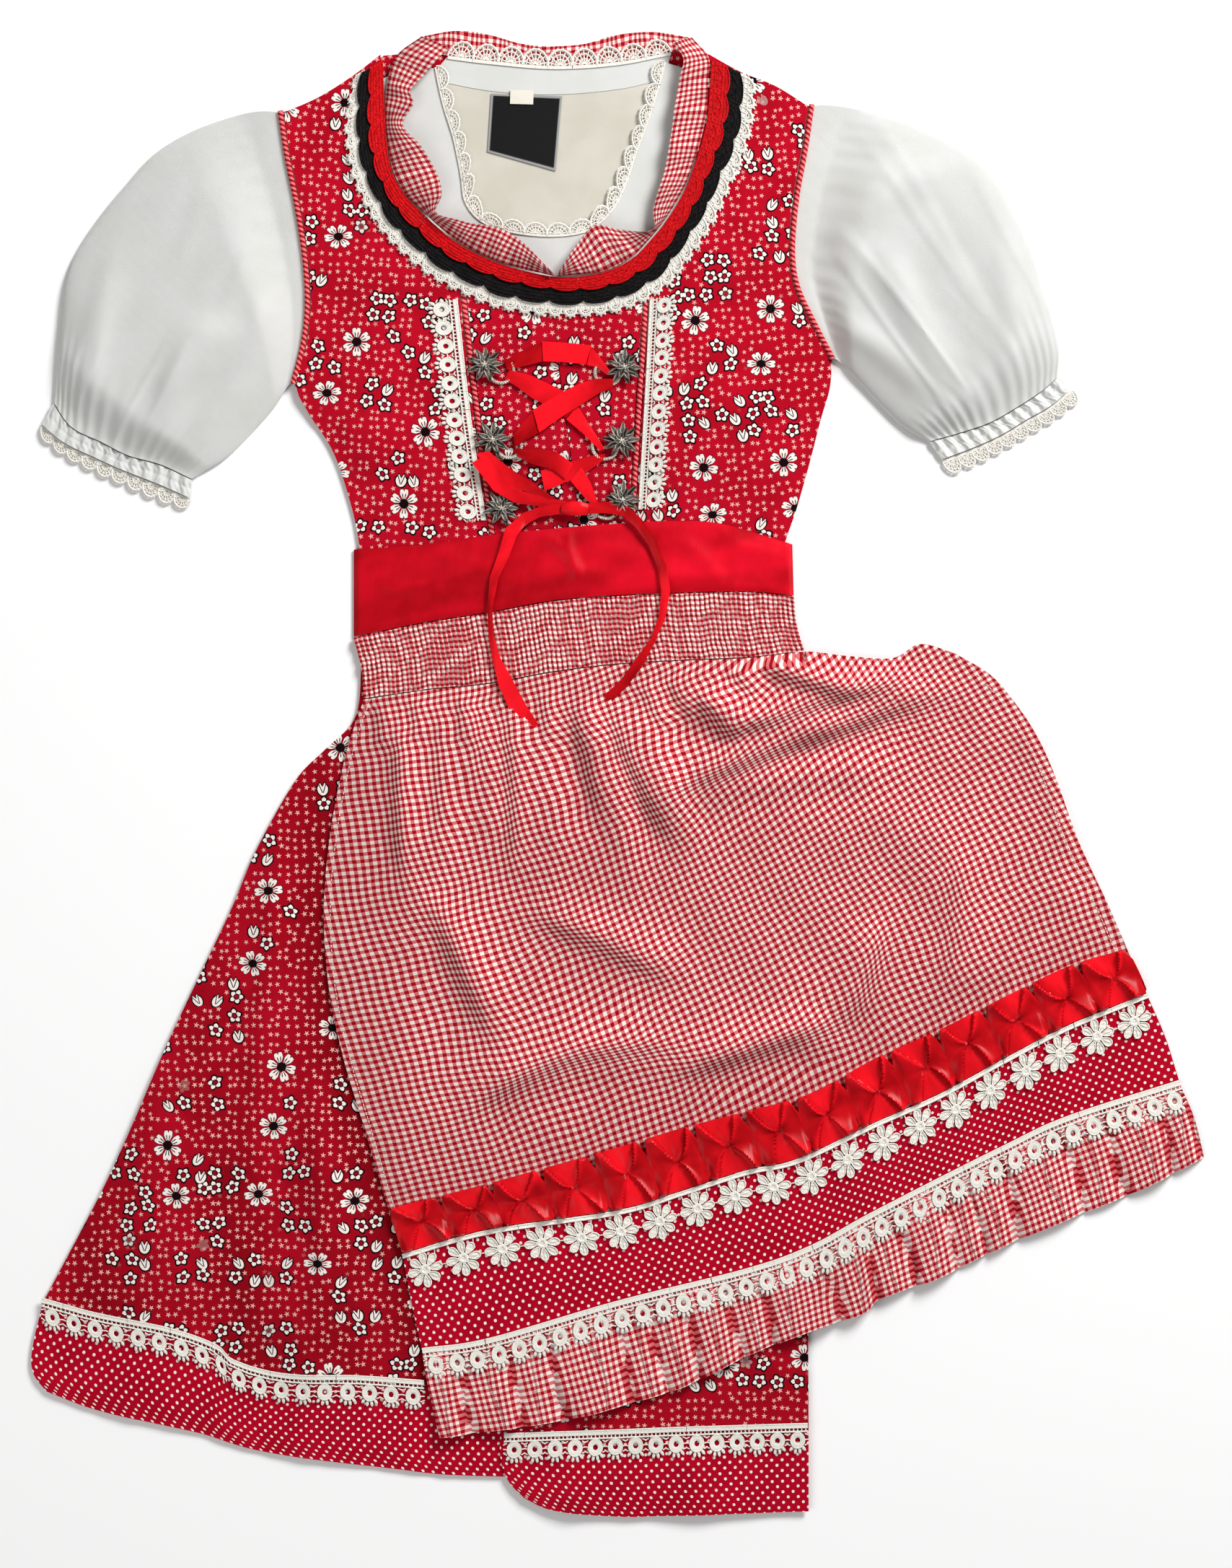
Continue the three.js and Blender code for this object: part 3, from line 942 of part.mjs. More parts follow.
// A flat ribbon along rows with columns x, y, lift, width, roll in degrees.
function ribbon(rows, surface, perRow = 3) {
  const path = new THREE.CatmullRomCurve3(rows.map(([x, y]) => new THREE.Vector3(x, y, 0)), false, 'catmullrom', 0.5);
  const count = (rows.length - 1) * perRow;
  const value = (column, share) => {
    const place = share * (rows.length - 1);
    const index = Math.min(Math.floor(place), rows.length - 2);
    return rows[index][column] + (rows[index + 1][column] - rows[index][column]) * (place - index);
  };
  return sweep(steps(count).map((share) => {
    const point = path.getPoint(share);
    const tangent = path.getTangent(share);
    const roll = THREE.MathUtils.degToRad(value(4, share));
    const half = value(3, share) / 2;
    const z = surface(point.x, point.y) + value(2, share);
    const level = [-tangent.y * Math.cos(roll), tangent.x * Math.cos(roll), Math.sin(roll)];
    const normal = [tangent.y * Math.sin(roll), -tangent.x * Math.sin(roll), Math.cos(roll)];
    const corner = (a, b) => [
      point.x + level[0] * a + normal[0] * b,
      point.y + level[1] * a + normal[1] * b,
      z + level[2] * a + normal[2] * b,
    ];
    return [corner(-half, 0), corner(half, 0), corner(half, RIBBON_WALL), corner(-half, RIBBON_WALL)];
  }));
}
add('ribbon_bar', ribbon([
  [-86, 314, 3.25, 11, 0],
  [-58, 329, 3.0, 15, 0],
  [-24, 328, 3.0, 15, 0],
  [-12, 314, 3.3, 10, 0],
], bodiceTop), SATIN, 0.35);
add('ribbon_cross_falling', ribbon([
  [-77, 307, 4.2, 12, 0],
  [-40, 283, 0.8, 15, 0],
  [-12, 258, 4.4, 12, 0],
], bodiceTop), SATIN, 0.35);
add('ribbon_cross_rising', ribbon([
  [-77, 263, 4.4, 12, 0],
  [-42, 284, 2.6, 15, 0],
  [-8, 303, 4.2, 12, 0],
], bodiceTop), SATIN, 0.35);
add('ribbon_cross_lower', join([
  ribbon([[-76, 249, 4.4, 13, 0], [-45, 232, 2.0, 15, 0], [-20, 217, 2.0, 12, 0]], bodiceTop),
  ribbon([[-12, 246, 4.6, 12, 0], [-35, 233, 2.2, 15, 0], [-60, 222, 2.2, 12, 0]], bodiceTop),
]), SATIN, 0.35);

// Below the bodice front the tails lie over the waistband, the yoke and the apron in turn.
const tailSurface = (x, y) => {
  const overBand = apronUnder(x, y) + CLOTH + PUCKER + ON_CLOTH;
  const ontoBand = smooth(y - lineY(BAND_TOP, x), 2, 14);
  const ontoPanel = 1 - smooth(y - lineY(YOKE_BOTTOM, x), -30, -6);
  return overBand + (bodiceTop(x, y) + 3 - overBand) * ontoBand + (apronTop(x, y) + 1 - overBand) * ontoPanel;
};
add('ribbon_bow', join([
  ribbon([[-24, 204, 1.2, 9, 0], [-30, 205, 1.2, 13, 0], [-38, 205, 1.2, 13, 0], [-45, 204, 1.2, 9, 0]], tailSurface),
  ribbon([[-36, 205, 1.4, 10, 0], [-60, 213, 2.2, 13, 0], [-90, 226, 5.2, 14, 0], [-113, 250, 5.2, 13, 0]],
    tailSurface),
]), SATIN, 0.35);
add('ribbon_tail_left', ribbon([
  [-51, 200, 1.4, 8, 20],
  [-70, 196, 1.4, 10, 25],
  [-85, 180, 1.4, 8, 40],
  [-94, 158, 1.4, 6, 45],
  [-98, 130, 1.4, 5, 50],
  [-97, 105, 1.4, 5, 50],
  [-90, 80, 1.4, 9, 30],
  [-80, 58, 1.4, 13, 5],
  [-66, 36, 1.4, 15, 0],
], tailSurface, 2), SATIN, 0.35);
add('ribbon_tail_right', ribbon([
  [-19, 200, 1.4, 8, -20],
  [0, 192, 1.4, 8, -20],
  [20, 187, 1.4, 8, -35],
  [33, 170, 1.4, 7, -45],
  [37, 145, 1.4, 6, -50],
  [32, 118, 1.4, 6, -45],
  [20, 93, 1.4, 7, -30],
  [7, 73, 1.4, 8, -10],
  [-7, 58, 1.4, 8, 0],
], tailSurface, 2), SATIN, 0.35);

const box = new THREE.Box3().setFromObject(group);
group.position.set(-(box.min.x + box.max.x) / 2, -(box.min.y + box.max.y) / 2, -box.min.z);
export default group;
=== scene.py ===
"""Dirndl set laid flat (dress, blouse, apron, lacing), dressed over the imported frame. Plan units are millimetres."""

import math

import bpy
import numpy as np
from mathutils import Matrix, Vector, geometry as flat_geometry


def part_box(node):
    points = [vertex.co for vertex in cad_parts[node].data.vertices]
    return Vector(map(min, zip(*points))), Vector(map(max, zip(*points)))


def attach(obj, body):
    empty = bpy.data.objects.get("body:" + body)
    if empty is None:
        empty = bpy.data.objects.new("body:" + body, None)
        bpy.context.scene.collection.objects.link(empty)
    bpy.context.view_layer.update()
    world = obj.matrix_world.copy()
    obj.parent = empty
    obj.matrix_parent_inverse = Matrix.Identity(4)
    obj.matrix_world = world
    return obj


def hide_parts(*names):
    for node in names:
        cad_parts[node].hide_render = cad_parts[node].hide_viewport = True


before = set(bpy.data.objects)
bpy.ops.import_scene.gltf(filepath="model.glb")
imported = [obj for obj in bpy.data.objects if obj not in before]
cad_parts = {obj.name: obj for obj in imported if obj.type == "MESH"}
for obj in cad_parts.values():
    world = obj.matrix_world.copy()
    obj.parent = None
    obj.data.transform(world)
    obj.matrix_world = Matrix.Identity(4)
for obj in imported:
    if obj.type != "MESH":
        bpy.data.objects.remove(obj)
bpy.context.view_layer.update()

MM = 0.001
label_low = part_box("label")[0]
SHIFT = np.array([label_low[0] / MM + 101.0, label_low[1] / MM - 468.0])

# ---------- driving sizes, in millimetres ----------
CLOTH = 1.2
LAYER = 1.5
ON_CLOTH = 0.55
OVER_FOLDS = 1.0
UNDER_BACK, UNDER_SECOND, UNDER_THIRD, UNDER_FOURTH = 0.0, 1.5, 3.0, 4.5
SEAM, HIDDEN_SEAM, GAP = 0.15, 0.45, 0.3
PIPING_WIDTH, PIPING_HEIGHT = 4.2, 3.2

# ---------- plan tables: columns x, y ----------
ARMHOLE_LEFT = [[-264, 514], [-259, 480], [-251, 440], [-245, 400], [-243, 365], [-246, 335], [-254, 303]]
ARMHOLE_RIGHT = [[153, 519], [148, 485], [141, 445], [138, 405], [142, 378], [155, 350], [169, 323]]
SIDE_LEFT = [[-254, 303], [-240, 280], [-221, 250], [-208, 212], [-201, 180], [-198, 146]]
SIDE_RIGHT = [[169, 323], [165, 300], [158, 275], [149, 240], [139, 205], [130, 178], [129, 160]]
WAIST_SEAM = [[-198, 146], [-100, 157], [0, 167], [70, 168], [129, 160]]
NECK_LEFT = [[-184, 558], [-181, 500], [-175, 462], [-156, 432], [-138, 412], [-121, 400]]
NECK_RIGHT = [[24, 402], [42, 425], [57, 460], [65, 505], [68, 560]]
PRINCESS_LEFT = [[-121, 400], [-119, 365], [-109, 280], [-98, 190], [-95, 157]]
PRINCESS_RIGHT = [[24, 402], [22, 365], [17, 290], [12, 205], [10, 167]]
PLACKET = [[-48, 380], [-47, 330], [-38, 260], [-30, 200], [-27, 165]]
SKIRT_LEFT = [[-198, 146], [-199, 100], [-203, 46], [-226, 20], [-250, -5], [-281, -60], [-300, -105], [-331, -170],
    [-352, -215], [-380, -280], [-401, -325], [-430, -380], [-447, -412]]
SKIRT_RIGHT = [[129, 160], [132, 110], [140, 0], [146, -200], [148, -480]]
HEM_SEAM_LEFT = [[-447, -412], [-400, -424], [-350, -434], [-312, -448], [-298, -460], [-262, -470], [-205, -472],
    [-150, -476], [0, -480], [148, -480]]
HEM_END_LEFT = [[-447, -412], [-455, -448], [-454, -466], [-444, -480]]
HEM_LEFT = [[-444, -480], [-403, -495], [-327, -512], [-274, -527], [-175, -540], [-99, -546], [148, -548]]
HEM_END_RIGHT = [[148, -480], [148, -515], [148, -548]]
PLEAT_EDGE = [[-40, 152], [-55, 0], [-70, -200], [-84, -400], [-91, -508]]
PLEAT_RIGHT = [[126, 150], [129, 110], [141, 0], [147, -200], [148.5, -507]]
PLEAT_TOP = [[-40, 152], [20, 157], [70, 157], [126, 150]]
HEM_SEAM_RIGHT = [[-91, -508], [0, -512], [50, -510], [148.5, -507]]
PLEAT_HEM_END = [[-91, -508], [-91, -530], [-85, -549], [-72, -563]]
HEM_RIGHT = [[-72, -563], [-50, -572], [0, -577], [50, -576], [148.5, -573]]
PLEAT_HEM_RIGHT = [[148.5, -507], [148.5, -540], [148.5, -573]]
BAND_TOP = [[-205, 174], [-150, 178], [-100, 185], [-40, 191], [0, 194], [40, 196], [80, 194], [136, 178]]
BAND_BOTTOM = [[-205, 106], [-150, 117], [-100, 125], [-50, 134], [0, 138], [50, 140], [100, 141], [137, 138]]
YOKE_BOTTOM = [[-197, 58], [-150, 65], [-100, 70], [-50, 79], [0, 85], [50, 88], [100, 90], [145, 95]]
APRON_TOP = [[-197, 58], [-150, 65], [-100, 70], [-50, 79], [0, 85], [50, 88], [100, 90], [145, 95], [175, 92],
    [213, 90], [235, 101], [262, 94]]
APRON_LEFT = [[-197, 58], [-211, 15], [-223, -46], [-228, -106], [-224, -167], [-213, -220], [-197, -274],
    [-180, -331], [-167, -374]]
APRON_RIGHT = [[262, 94], [290, 77], [310, 54], [327, 27], [341, -5], [357, -50], [381, -101], [397, -138],
    [412, -172]]
SEAM_A = [[-167, -374], [-100, -355], [0, -340], [50, -325], [100, -309], [140, -300], [200, -272], [250, -250],
    [300, -223], [350, -197], [412, -172]]
RUCHE_TOP = [[-179, -338], [-100, -318], [0, -290], [50, -275], [100, -262], [150, -248], [200, -221], [250, -199],
    [300, -174], [350, -150], [396, -136]]
DAISY_FREE = [[-161, -402], [-93, -383], [7, -368], [57, -353], [107, -337], [150, -327], [210, -299], [260, -277],
    [310, -250], [361, -224], [419, -199]]
SEAM_B = [[-152, -448], [-100, -440], [0, -411], [100, -386], [150, -368], [200, -341], [300, -291], [350, -268],
    [437, -240]]
RING_FREE = [[-147, -471], [-95, -463], [6, -434], [107, -408], [160, -390], [210, -362], [310, -312], [358, -290],
    [444, -263]]
RUFFLE_FREE = [[-138, -515], [-50, -503], [0, -491], [50, -476], [100, -452], [150, -432], [190, -419], [205, -407],
    [250, -391], [300, -367], [350, -346], [400, -326], [456, -298]]
SLEEVE_HEAD_LEFT = [[-257, 510], [-253, 480], [-245, 440], [-239, 400], [-237, 365], [-240, 335], [-247, 307]]
SLEEVE_UPPER_LEFT = [[-257, 510], [-268, 514], [-292, 512], [-330, 499], [-360, 481], [-382, 457], [-401, 434],
    [-419, 407], [-429, 383], [-433, 350], [-436, 318], [-438, 288]]
SLEEVE_UNDER_LEFT = [[-247, 307], [-256, 301], [-268, 283], [-287, 262], [-307, 243], [-331, 229]]
GATHER_LEFT = [[-438, 288], [-424, 269], [-400, 257], [-380, 247], [-355, 240], [-331, 229]]
CUFF_FREE_LEFT = [[-447, 271], [-430, 257], [-405, 245], [-385, 236], [-357, 225], [-332, 214]]
CUFF_LACE_LEFT = [[-450, 262], [-432, 247], [-406, 233], [-386, 224], [-359, 212], [-334, 204]]
SLEEVE_HEAD_RIGHT = [[147, 516], [142, 485], [135, 445], [132, 405], [136, 380], [148, 351], [163, 321]]
SLEEVE_UPPER_RIGHT = [[147, 516], [158, 519], [180, 517], [215, 510], [242, 500], [265, 488], [284, 474], [300, 453],
    [315, 424], [326, 393], [336, 360], [343, 330], [342, 308]]
SLEEVE_UNDER_RIGHT = [[163, 321], [171, 321], [190, 301], [213, 277], [228, 265], [242, 258]]
GATHER_RIGHT = [[342, 308], [328, 296], [308, 283], [288, 272], [264, 264], [242, 258]]
CUFF_FREE_RIGHT = [[352, 299], [337, 286], [318, 275], [298, 263], [276, 253], [252, 244]]
CUFF_LACE_RIGHT = [[361, 290], [344, 276], [324, 264], [302, 251], [281, 240], [259, 231]]
NECK_WHITE_OUT = [[-205, 541], [-212, 503], [-208, 470], [-201, 450], [-185, 422], [-165, 401], [-145, 385],
    [-120, 372], [-90, 360], [-40, 354], [0, 358], [30, 371], [45, 384], [60, 404], [77, 430], [88, 455], [99, 480],
    [106, 508], [108, 537]]
NECK_WHITE_IN = [[-196, 546], [-199, 503], [-195, 472], [-187, 452], [-174, 430], [-155, 411], [-137, 396],
    [-114, 384], [-86, 373], [-40, 367], [-4, 371], [23, 383], [37, 396], [50, 413], [66, 440], [77, 465], [86, 486],
    [92, 512], [95, 544]]
NECK_BLACK_OUT = [[-201, 543], [-203, 503], [-199, 472], [-191, 452], [-177, 427], [-158, 408], [-140, 393],
    [-117, 381], [-88, 369], [-40, 363], [-2, 367], [26, 380], [40, 393], [53, 411], [70, 438], [81, 463], [91, 485],
    [97, 511], [98, 542]]
NECK_BLACK_IN = [[-188, 549], [-189, 502], [-185, 470], [-174, 448], [-162, 434], [-146, 418], [-130, 405],
    [-109, 394], [-82, 385], [-40, 377], [-6, 381], [18, 393], [31, 405], [44, 422], [59, 447], [69, 470], [77, 490],
    [82, 512], [84, 549]]
NECK_RED_OUT = [[-193, 547], [-194, 502], [-189, 471], [-178, 447], [-166, 431], [-149, 415], [-133, 402],
    [-111, 391], [-84, 381], [-40, 374], [-4, 378], [21, 390], [34, 403], [48, 420], [63, 445], [73, 469], [81, 490],
    [86, 512], [88, 548]]
NECK_RED_IN = [[-182, 553], [-180, 502], [-176, 470], [-166, 450], [-156, 439], [-140, 424], [-125, 412], [-105, 401],
    [-80, 392], [-44, 385], [-10, 389], [12, 400], [25, 413], [38, 429], [52, 452], [60, 473], [66, 492], [70, 512],
    [73, 554]]
RUFFLE_SEWN_LEFT = [[-152, 572], [-172, 556], [-179.5, 530], [-179.5, 500], [-175, 470], [-165, 450], [-155, 440],
    [-139, 425], [-124, 413], [-104, 402], [-79, 393], [-49, 386]]
RUFFLE_FREE_LEFT = [[-131, 562], [-147, 543], [-160, 529], [-158, 518], [-166, 502], [-151, 484], [-139, 463],
    [-136, 448], [-140, 434], [-118, 427], [-84, 419], [-51, 389]]
RUFFLE_SEWN_RIGHT = [[-46, 386], [-10, 390], [11, 401], [24, 414], [37, 430], [51, 453], [59, 474], [65, 493],
    [69, 512], [70, 535], [71, 555], [58, 571]]
RUFFLE_FREE_RIGHT = [[-45, 389], [-31, 410], [-18, 424], [2, 421], [27, 420], [28, 438], [36, 466], [41, 492],
    [44, 515], [48, 538], [51, 553], [43, 566]]
RUFFLE_BACK_OUT = [[-150, 573], [-125, 577], [-100, 574], [-75, 567], [-50, 565], [-25, 567], [0, 574], [30, 576],
    [55, 572]]
COLLAR_TOP = [[-132, 557], [-100, 553], [-50, 549], [0, 552], [42, 560]]
COLLAR_BOTTOM = [[-147, 541], [-100, 532], [-50, 529], [0, 533], [36, 541]]
COLLAR_LACE_TOP = [[-128, 570], [-100, 567], [-50, 563], [0, 566], [38, 572]]
BLOUSE_NECK = [[-142, 548], [-136, 520], [-128, 494], [-122, 465], [-118, 442], [-100, 425], [-62, 417], [-25, 420],
    [-4, 436], [7, 457], [15, 481], [24, 505], [32, 530], [38, 552]]
BLOUSE_LACE_FREE = [[-133, 550], [-126, 520], [-118, 494], [-112, 467], [-108, 447], [-95, 434], [-62, 428],
    [-31, 430], [-13, 443], [-3, 461], [6, 484], [15, 508], [22, 532], [28, 554]]
BLOUSE_BACK_OUTLINE = [[-147, 540], [-200, 532], [-248, 500], [-240, 440], [-234, 370], [-236, 322], [-60, 320],
    [150, 332], [130, 375], [128, 440], [138, 505], [90, 534], [36, 540.5], [0, 532.5], [-50, 528.5], [-100, 531.5]]
BLOUSE_FRONT_SIDES = [[60, 545], [90, 534], [134, 505], [125, 440], [126, 375], [146, 340], [140, 322], [-60, 320],
    [-226, 322], [-230, 370], [-236, 440], [-244, 500], [-200, 532], [-170, 545]]
LABEL_CORNERS = [[-98, 528], [-43, 526], [-48, 468], [-101, 483]]
TAB_CORNERS = [[-83, 531], [-65, 530.5], [-65.5, 519.5], [-83.5, 520]]
BUSTS = [[-182, 262], [88, 262]]
PLEAT_LACE_HEAD = [[-88, -512], [0, -509], [50, -507], [148, -504]]

# Folds: columns x0, y0, x1, y1, x2, y2, height, half width.
APRON_FOLDS = [
    [-172, 45, -168, 0, -168, -80, 3.5, 11],
    [-140, 40, -136, -20, -140, -90, 3.0, 16],
    [-105, 45, -95, 0, -100, -60, 4.5, 13],
    [-62, 50, -45, -10, -45, -90, 4.0, 15],
    [-25, 55, 0, 0, 18, -110, 6.0, 14],
    [15, 62, 30, 10, 60, -60, 5.5, 13],
    [55, 66, 85, 40, 190, 35, 6.5, 14],
    [120, 78, 170, 68, 262, 62, 6.0, 14],
    [30, -22, 110, 4, 230, 4, 6.5, 16],
    [110, -40, 200, -30, 300, -60, 3.5, 24],
    [-165, -85, -130, -120, -85, -205, 4.5, 16],
    [-60, -105, 0, -140, 60, -150, 3.5, 18],
    [-110, -262, -50, -215, 60, -222, 6.0, 14],
    [60, -225, 120, -200, 175, -205, 5.5, 14],
    [252, -60, 262, -110, 246, -175, 4.0, 18],
    [205, -105, 190, -150, 160, -200, 4.0, 16],
    [330, -20, 345, -70, 350, -110, 3.0, 16],
]

# Folds with one steep side: bent line, height, cloth taken up, width; the crest lies left of the direction of travel.
APRON_BANDS = [
    [35, -20, 110, 15, 265, 62, 7.0, 13, 7.0],
    [75, 25, 130, 45, 235, 75, 5.0, 9, 6.0],
    [100, 88, 140, 66, 190, 60, 5.0, 7, 6.0],
    [58, 64, 72, 40, 98, 22, 4.5, 7, 6.0],
    [-8, 56, 4, 0, 48, -62, 6.0, 9, 7.0],
    [-38, 58, -26, 20, -14, -45, 4.5, 6, 6.0],
    [-170, 50, -174, -20, -168, -95, 4.6, 7, 6.0],
    [-90, 58, -80, 0, -84, -85, 4.2, 7, 6.0],
    [-148, -92, -126, -150, -94, -218, 4.5, 9, 8.0],
    [-78, -112, -10, -128, 48, -168, 4.0, 8, 8.0],
    [-118, -270, -50, -203, 62, -218, 6.0, 11, 8.0],
    [36, -238, 110, -216, 182, -190, 5.0, 9, 7.5],
    [176, -198, 202, -160, 206, -112, 4.0, 7, 8.0],
    [-110, -20, -106, 30, -112, 60, 3.4, 4, 5.0],
    [-142, 58, -138, 10, -142, -70, 3.0, 4, 6.0],
    [258, -50, 266, -110, 250, -178, 3.5, 5, 10.0],
    [296, 48, 336, 0, 350, -90, 3.0, 4, 11.0],
    [-186, 55, -184, 40, -188, 18, 3.0, 3, 4.0],
    [-159, 60, -157, 44, -160, 22, 3.0, 3, 4.0],
    [-124, 62, -120, 44, -126, 20, 2.6, 3, 4.0],
    [-62, 66, -56, 48, -58, 22, 3.0, 3, 4.5],
    [16, 72, 24, 52, 36, 30, 3.0, 4, 5.0],
    [36, 76, 46, 56, 62, 36, 3.0, 4, 5.0],
    [84, 84, 92, 70, 112, 54, 3.0, 4, 5.0],
]

SKIRT_BANDS = [
    [-226, -130, -240, -320, -232, -560, 6.0, 8, 9.0],
    [-322, -240, -350, -380, -372, -520, 5.0, 7, 10.0],
    [-262, -40, -284, -180, -292, -340, 4.5, 6, 8.0],
    [-392, -380, -420, -450, -446, -520, 4.0, 5, 9.0],
    [-184, -330, -182, -420, -170, -540, 4.0, 6, 8.0],
    [-288, -360, -296, -460, -300, -560, 3.5, 5, 9.0],
]

SKIRT_FOLDS = [
    [-228, -150, -236, -320, -236, -560, 6.5, 24],
    [-330, -220, -352, -350, -374, -510, 6.0, 30],
    [-262, -40, -280, -180, -290, -330, 4.5, 18],
    [-285, -120, -372, -330, -436, -470, 5.0, 22],
]

SLEEVE_FOLDS = [
    [-248, 388, -290, 330, -345, 300, 6, 13],
    [-300, 345, -345, 340, -352, 262, 7, 13],
    [-405, 275, -415, 340, -380, 420, 5, 14],
    [-330, 245, -300, 300, -262, 350, 5, 12],
    [150, 400, 220, 470, 262, 470, 6, 14],
    [145, 440, 180, 455, 215, 475, 4, 11],
    [262, 290, 225, 350, 205, 410, 6, 14],
    [310, 290, 305, 360, 300, 430, 5, 14],
    [170, 345, 205, 335, 245, 285, 6, 11],
]

PLEAT_HEM_FOLDS = [
    [-30, -524, -34, -550, -38, -580, 3.5, 22],
    [60, -524, 66, -550, 70, -580, 4.0, 26],
]


# ---------- curves and patches ----------
def steps(count):
    """Even shares from 0 to 1."""
    return np.linspace(0, 1, count)


def even(length, cell):
    return steps(max(2, int(round(length / cell)) + 1))


def smooth(x, a, b):
    t = np.clip((x - a) / (b - a), 0.0, 1.0)
    return t * t * (3 - 2 * t)


def blend(a, b, t):
    return a + (b - a) * t


def swell(turns):
    """A wave from 0 to 1 over each turn."""
    return 0.5 + 0.5 * np.sin(2 * math.pi * turns)


def hump(x, at, width):
    return np.exp(-(((x - at) / width) ** 2))


def shifted(rows, dx, dy=0.0):
    return [[x + dx, y + dy] for x, y in rows]


def offset(rows, distance):
    """The rows moved to their left, seen along them."""
    p = np.array(rows, float)
    d = np.empty_like(p)
    d[1:-1] = p[2:] - p[:-2]
    d[0], d[-1] = p[1] - p[0], p[-1] - p[-2]
    d /= np.hypot(d[:, 0], d[:, 1])[:, None]
    return (p + np.stack([-d[:, 1], d[:, 0]], 1) * distance).tolist()


def toward(a, b, share):
    """Rows a moved that share of the way to rows b."""
    return [[blend(p[0], q[0], share), blend(p[1], q[1], share)] for p, q in zip(a, b)]


def curve_points(rows, per_row=24):
    p = np.array(rows, float)
    pts = np.vstack([2 * p[0] - p[1], p, 2 * p[-1] - p[-2]])
    t = np.linspace(0, 1, per_row, endpoint=False)[:, None]
    out = []
    for i in range(len(p) - 1):
        p0, p1, p2, p3 = pts[i : i + 4]
        v0, v1 = (p2 - p0) / 2, (p3 - p1) / 2
        out.append(p1 + v0 * t + (3 * (p2 - p1) - 2 * v0 - v1) * t**2 + (2 * (p1 - p2) + v0 + v1) * t**3)
    return np.vstack([*out, p[-1:]])


def run_along(line):
    """Distance along a line from its start to each of its points."""
    return np.concatenate([[0], np.cumsum(np.sqrt((np.diff(line, axis=0) ** 2).sum(1)))])


def heading_of(line):
    """Unit direction of a line at each of its points."""
    d = np.gradient(line, axis=0)
    return d / np.sqrt((d**2).sum(1))[:, None]


def along(rows):
    line = curve_points(rows)
    d = run_along(line)
    d /= d[-1]
    return lambda s: np.stack([np.interp(s, d, line[:, k]) for k in range(line.shape[1])], -1)


def length_of(rows):
    return float(run_along(curve_points(rows))[-1])


def patch(top, bottom, left, right):
    top, bottom, left, right = (along(r) for r in (top, bottom, left, right))
    corners = [left(0.0), right(0.0), left(1.0), right(1.0)]

    def place(s, t):
        u, v = np.asarray(s)[..., None], np.asarray(t)[..., None]
        across = blend(top(s), bottom(s), v)
        down = blend(left(t), right(t), u)
        bare = blend(blend(corners[0], corners[1], u), blend(corners[2], corners[3], u), v)
        return across + down - bare

    return place


def between(head, free):
    head, free = along(head), along(free)
    return lambda s, t: blend(head(s), free(s), np.asarray(t)[..., None])


def line_x(rows, y):
    p = np.array(sorted(rows, key=lambda r: r[1]), float)
    return np.interp(y, p[:, 1], p[:, 0])


def line_y(rows, x):
    p = np.array(sorted(rows), float)
    return np.interp(x, p[:, 0], p[:, 1])


# ---------- folds and wrinkles ----------
RIDGE_SAMPLES, BAND_SAMPLES = 30, 36
BAND_REACH = 110.0        # how far a band draws the cloth in


def around(x, y, ends, pad):
    """Which points lie within that distance of the box round a bent line."""
    xs, ys = ends[::2], ends[1::2]
    return (x > min(xs) - pad) & (x < max(xs) + pad) & (y > min(ys) - pad) & (y < max(ys) + pad)


def bent(ends, t):
    """Points on the bent line through three places."""
    x0, y0, x1, y1, x2, y2 = ends
    return blend(blend(x0, x1, t), blend(x1, x2, t), t), blend(blend(y0, y1, t), blend(y1, y2, t), t)


def ridges(folds):
    """Soft ridges along bent lines, fading at both ends."""

    def rise(x, y):
        total = np.zeros(np.shape(x))
        for *ends, height, width in folds:
            near = around(x, y, ends, 3 * width)
            if not near.any():
                continue
            best = np.zeros(int(near.sum()))
            for t in steps(RIDGE_SAMPLES):
                px, py = bent(ends, t)
                fade = float(smooth(min(t, 1 - t), -0.05, 0.3))
                reach = ((x[near] - px) ** 2 + (y[near] - py) ** 2) / width**2
                best = np.maximum(best, fade * np.exp(-reach))
            total[near] += height * best
        return total

    return rise


def bands(folds):
    """Folds with one steep side along bent lines: the height, and the cloth drawn in across them."""

    def near_line(x, y):
        for *ends, height, take, width in folds:
            near = around(x, y, ends, BAND_REACH)
            if not near.any():
                continue
            t = steps(BAND_SAMPLES)
            px, py = bent(ends, t)
            tx, ty = np.gradient(px), np.gradient(py)
            size = np.hypot(tx, ty)
            tx, ty = tx / size, ty / size
            gx, gy = x[near][:, None] - px, y[near][:, None] - py
            k = np.argmin(gx**2 + gy**2, axis=1)
            row = np.arange(len(k))
            beyond = tx[k] * gx[row, k] + ty[k] * gy[row, k]
            aside = tx[k] * gy[row, k] - ty[k] * gx[row, k]
            fade = smooth(np.minimum(t[k], 1 - t[k]), -0.05, 0.32) * hump(beyond, 0, 20.0)
            yield near, aside, fade, (-ty[k], tx[k]), height, take, width

    def rise(x, y):
        total = np.zeros(np.shape(x))
        for near, aside, fade, _, height, _, width in near_line(x, y):
            step = 0.5 + 0.5 * np.tanh(aside / (0.75 * width))
            total[near] += height * fade * step * hump(np.maximum(aside, 0), 0, 3.4 * width)
        return total

    def drawn(x, y):
        moved = np.zeros((2, *np.shape(x)))
        for near, aside, fade, normal, _, take, width in near_line(x, y):
            shift = 0.86 * take * fade * np.tanh(aside / width) * hump(aside, 0, 48.0)
            for axis in (0, 1):
                moved[axis][near] += normal[axis] * shift
        return moved

    return rise, drawn


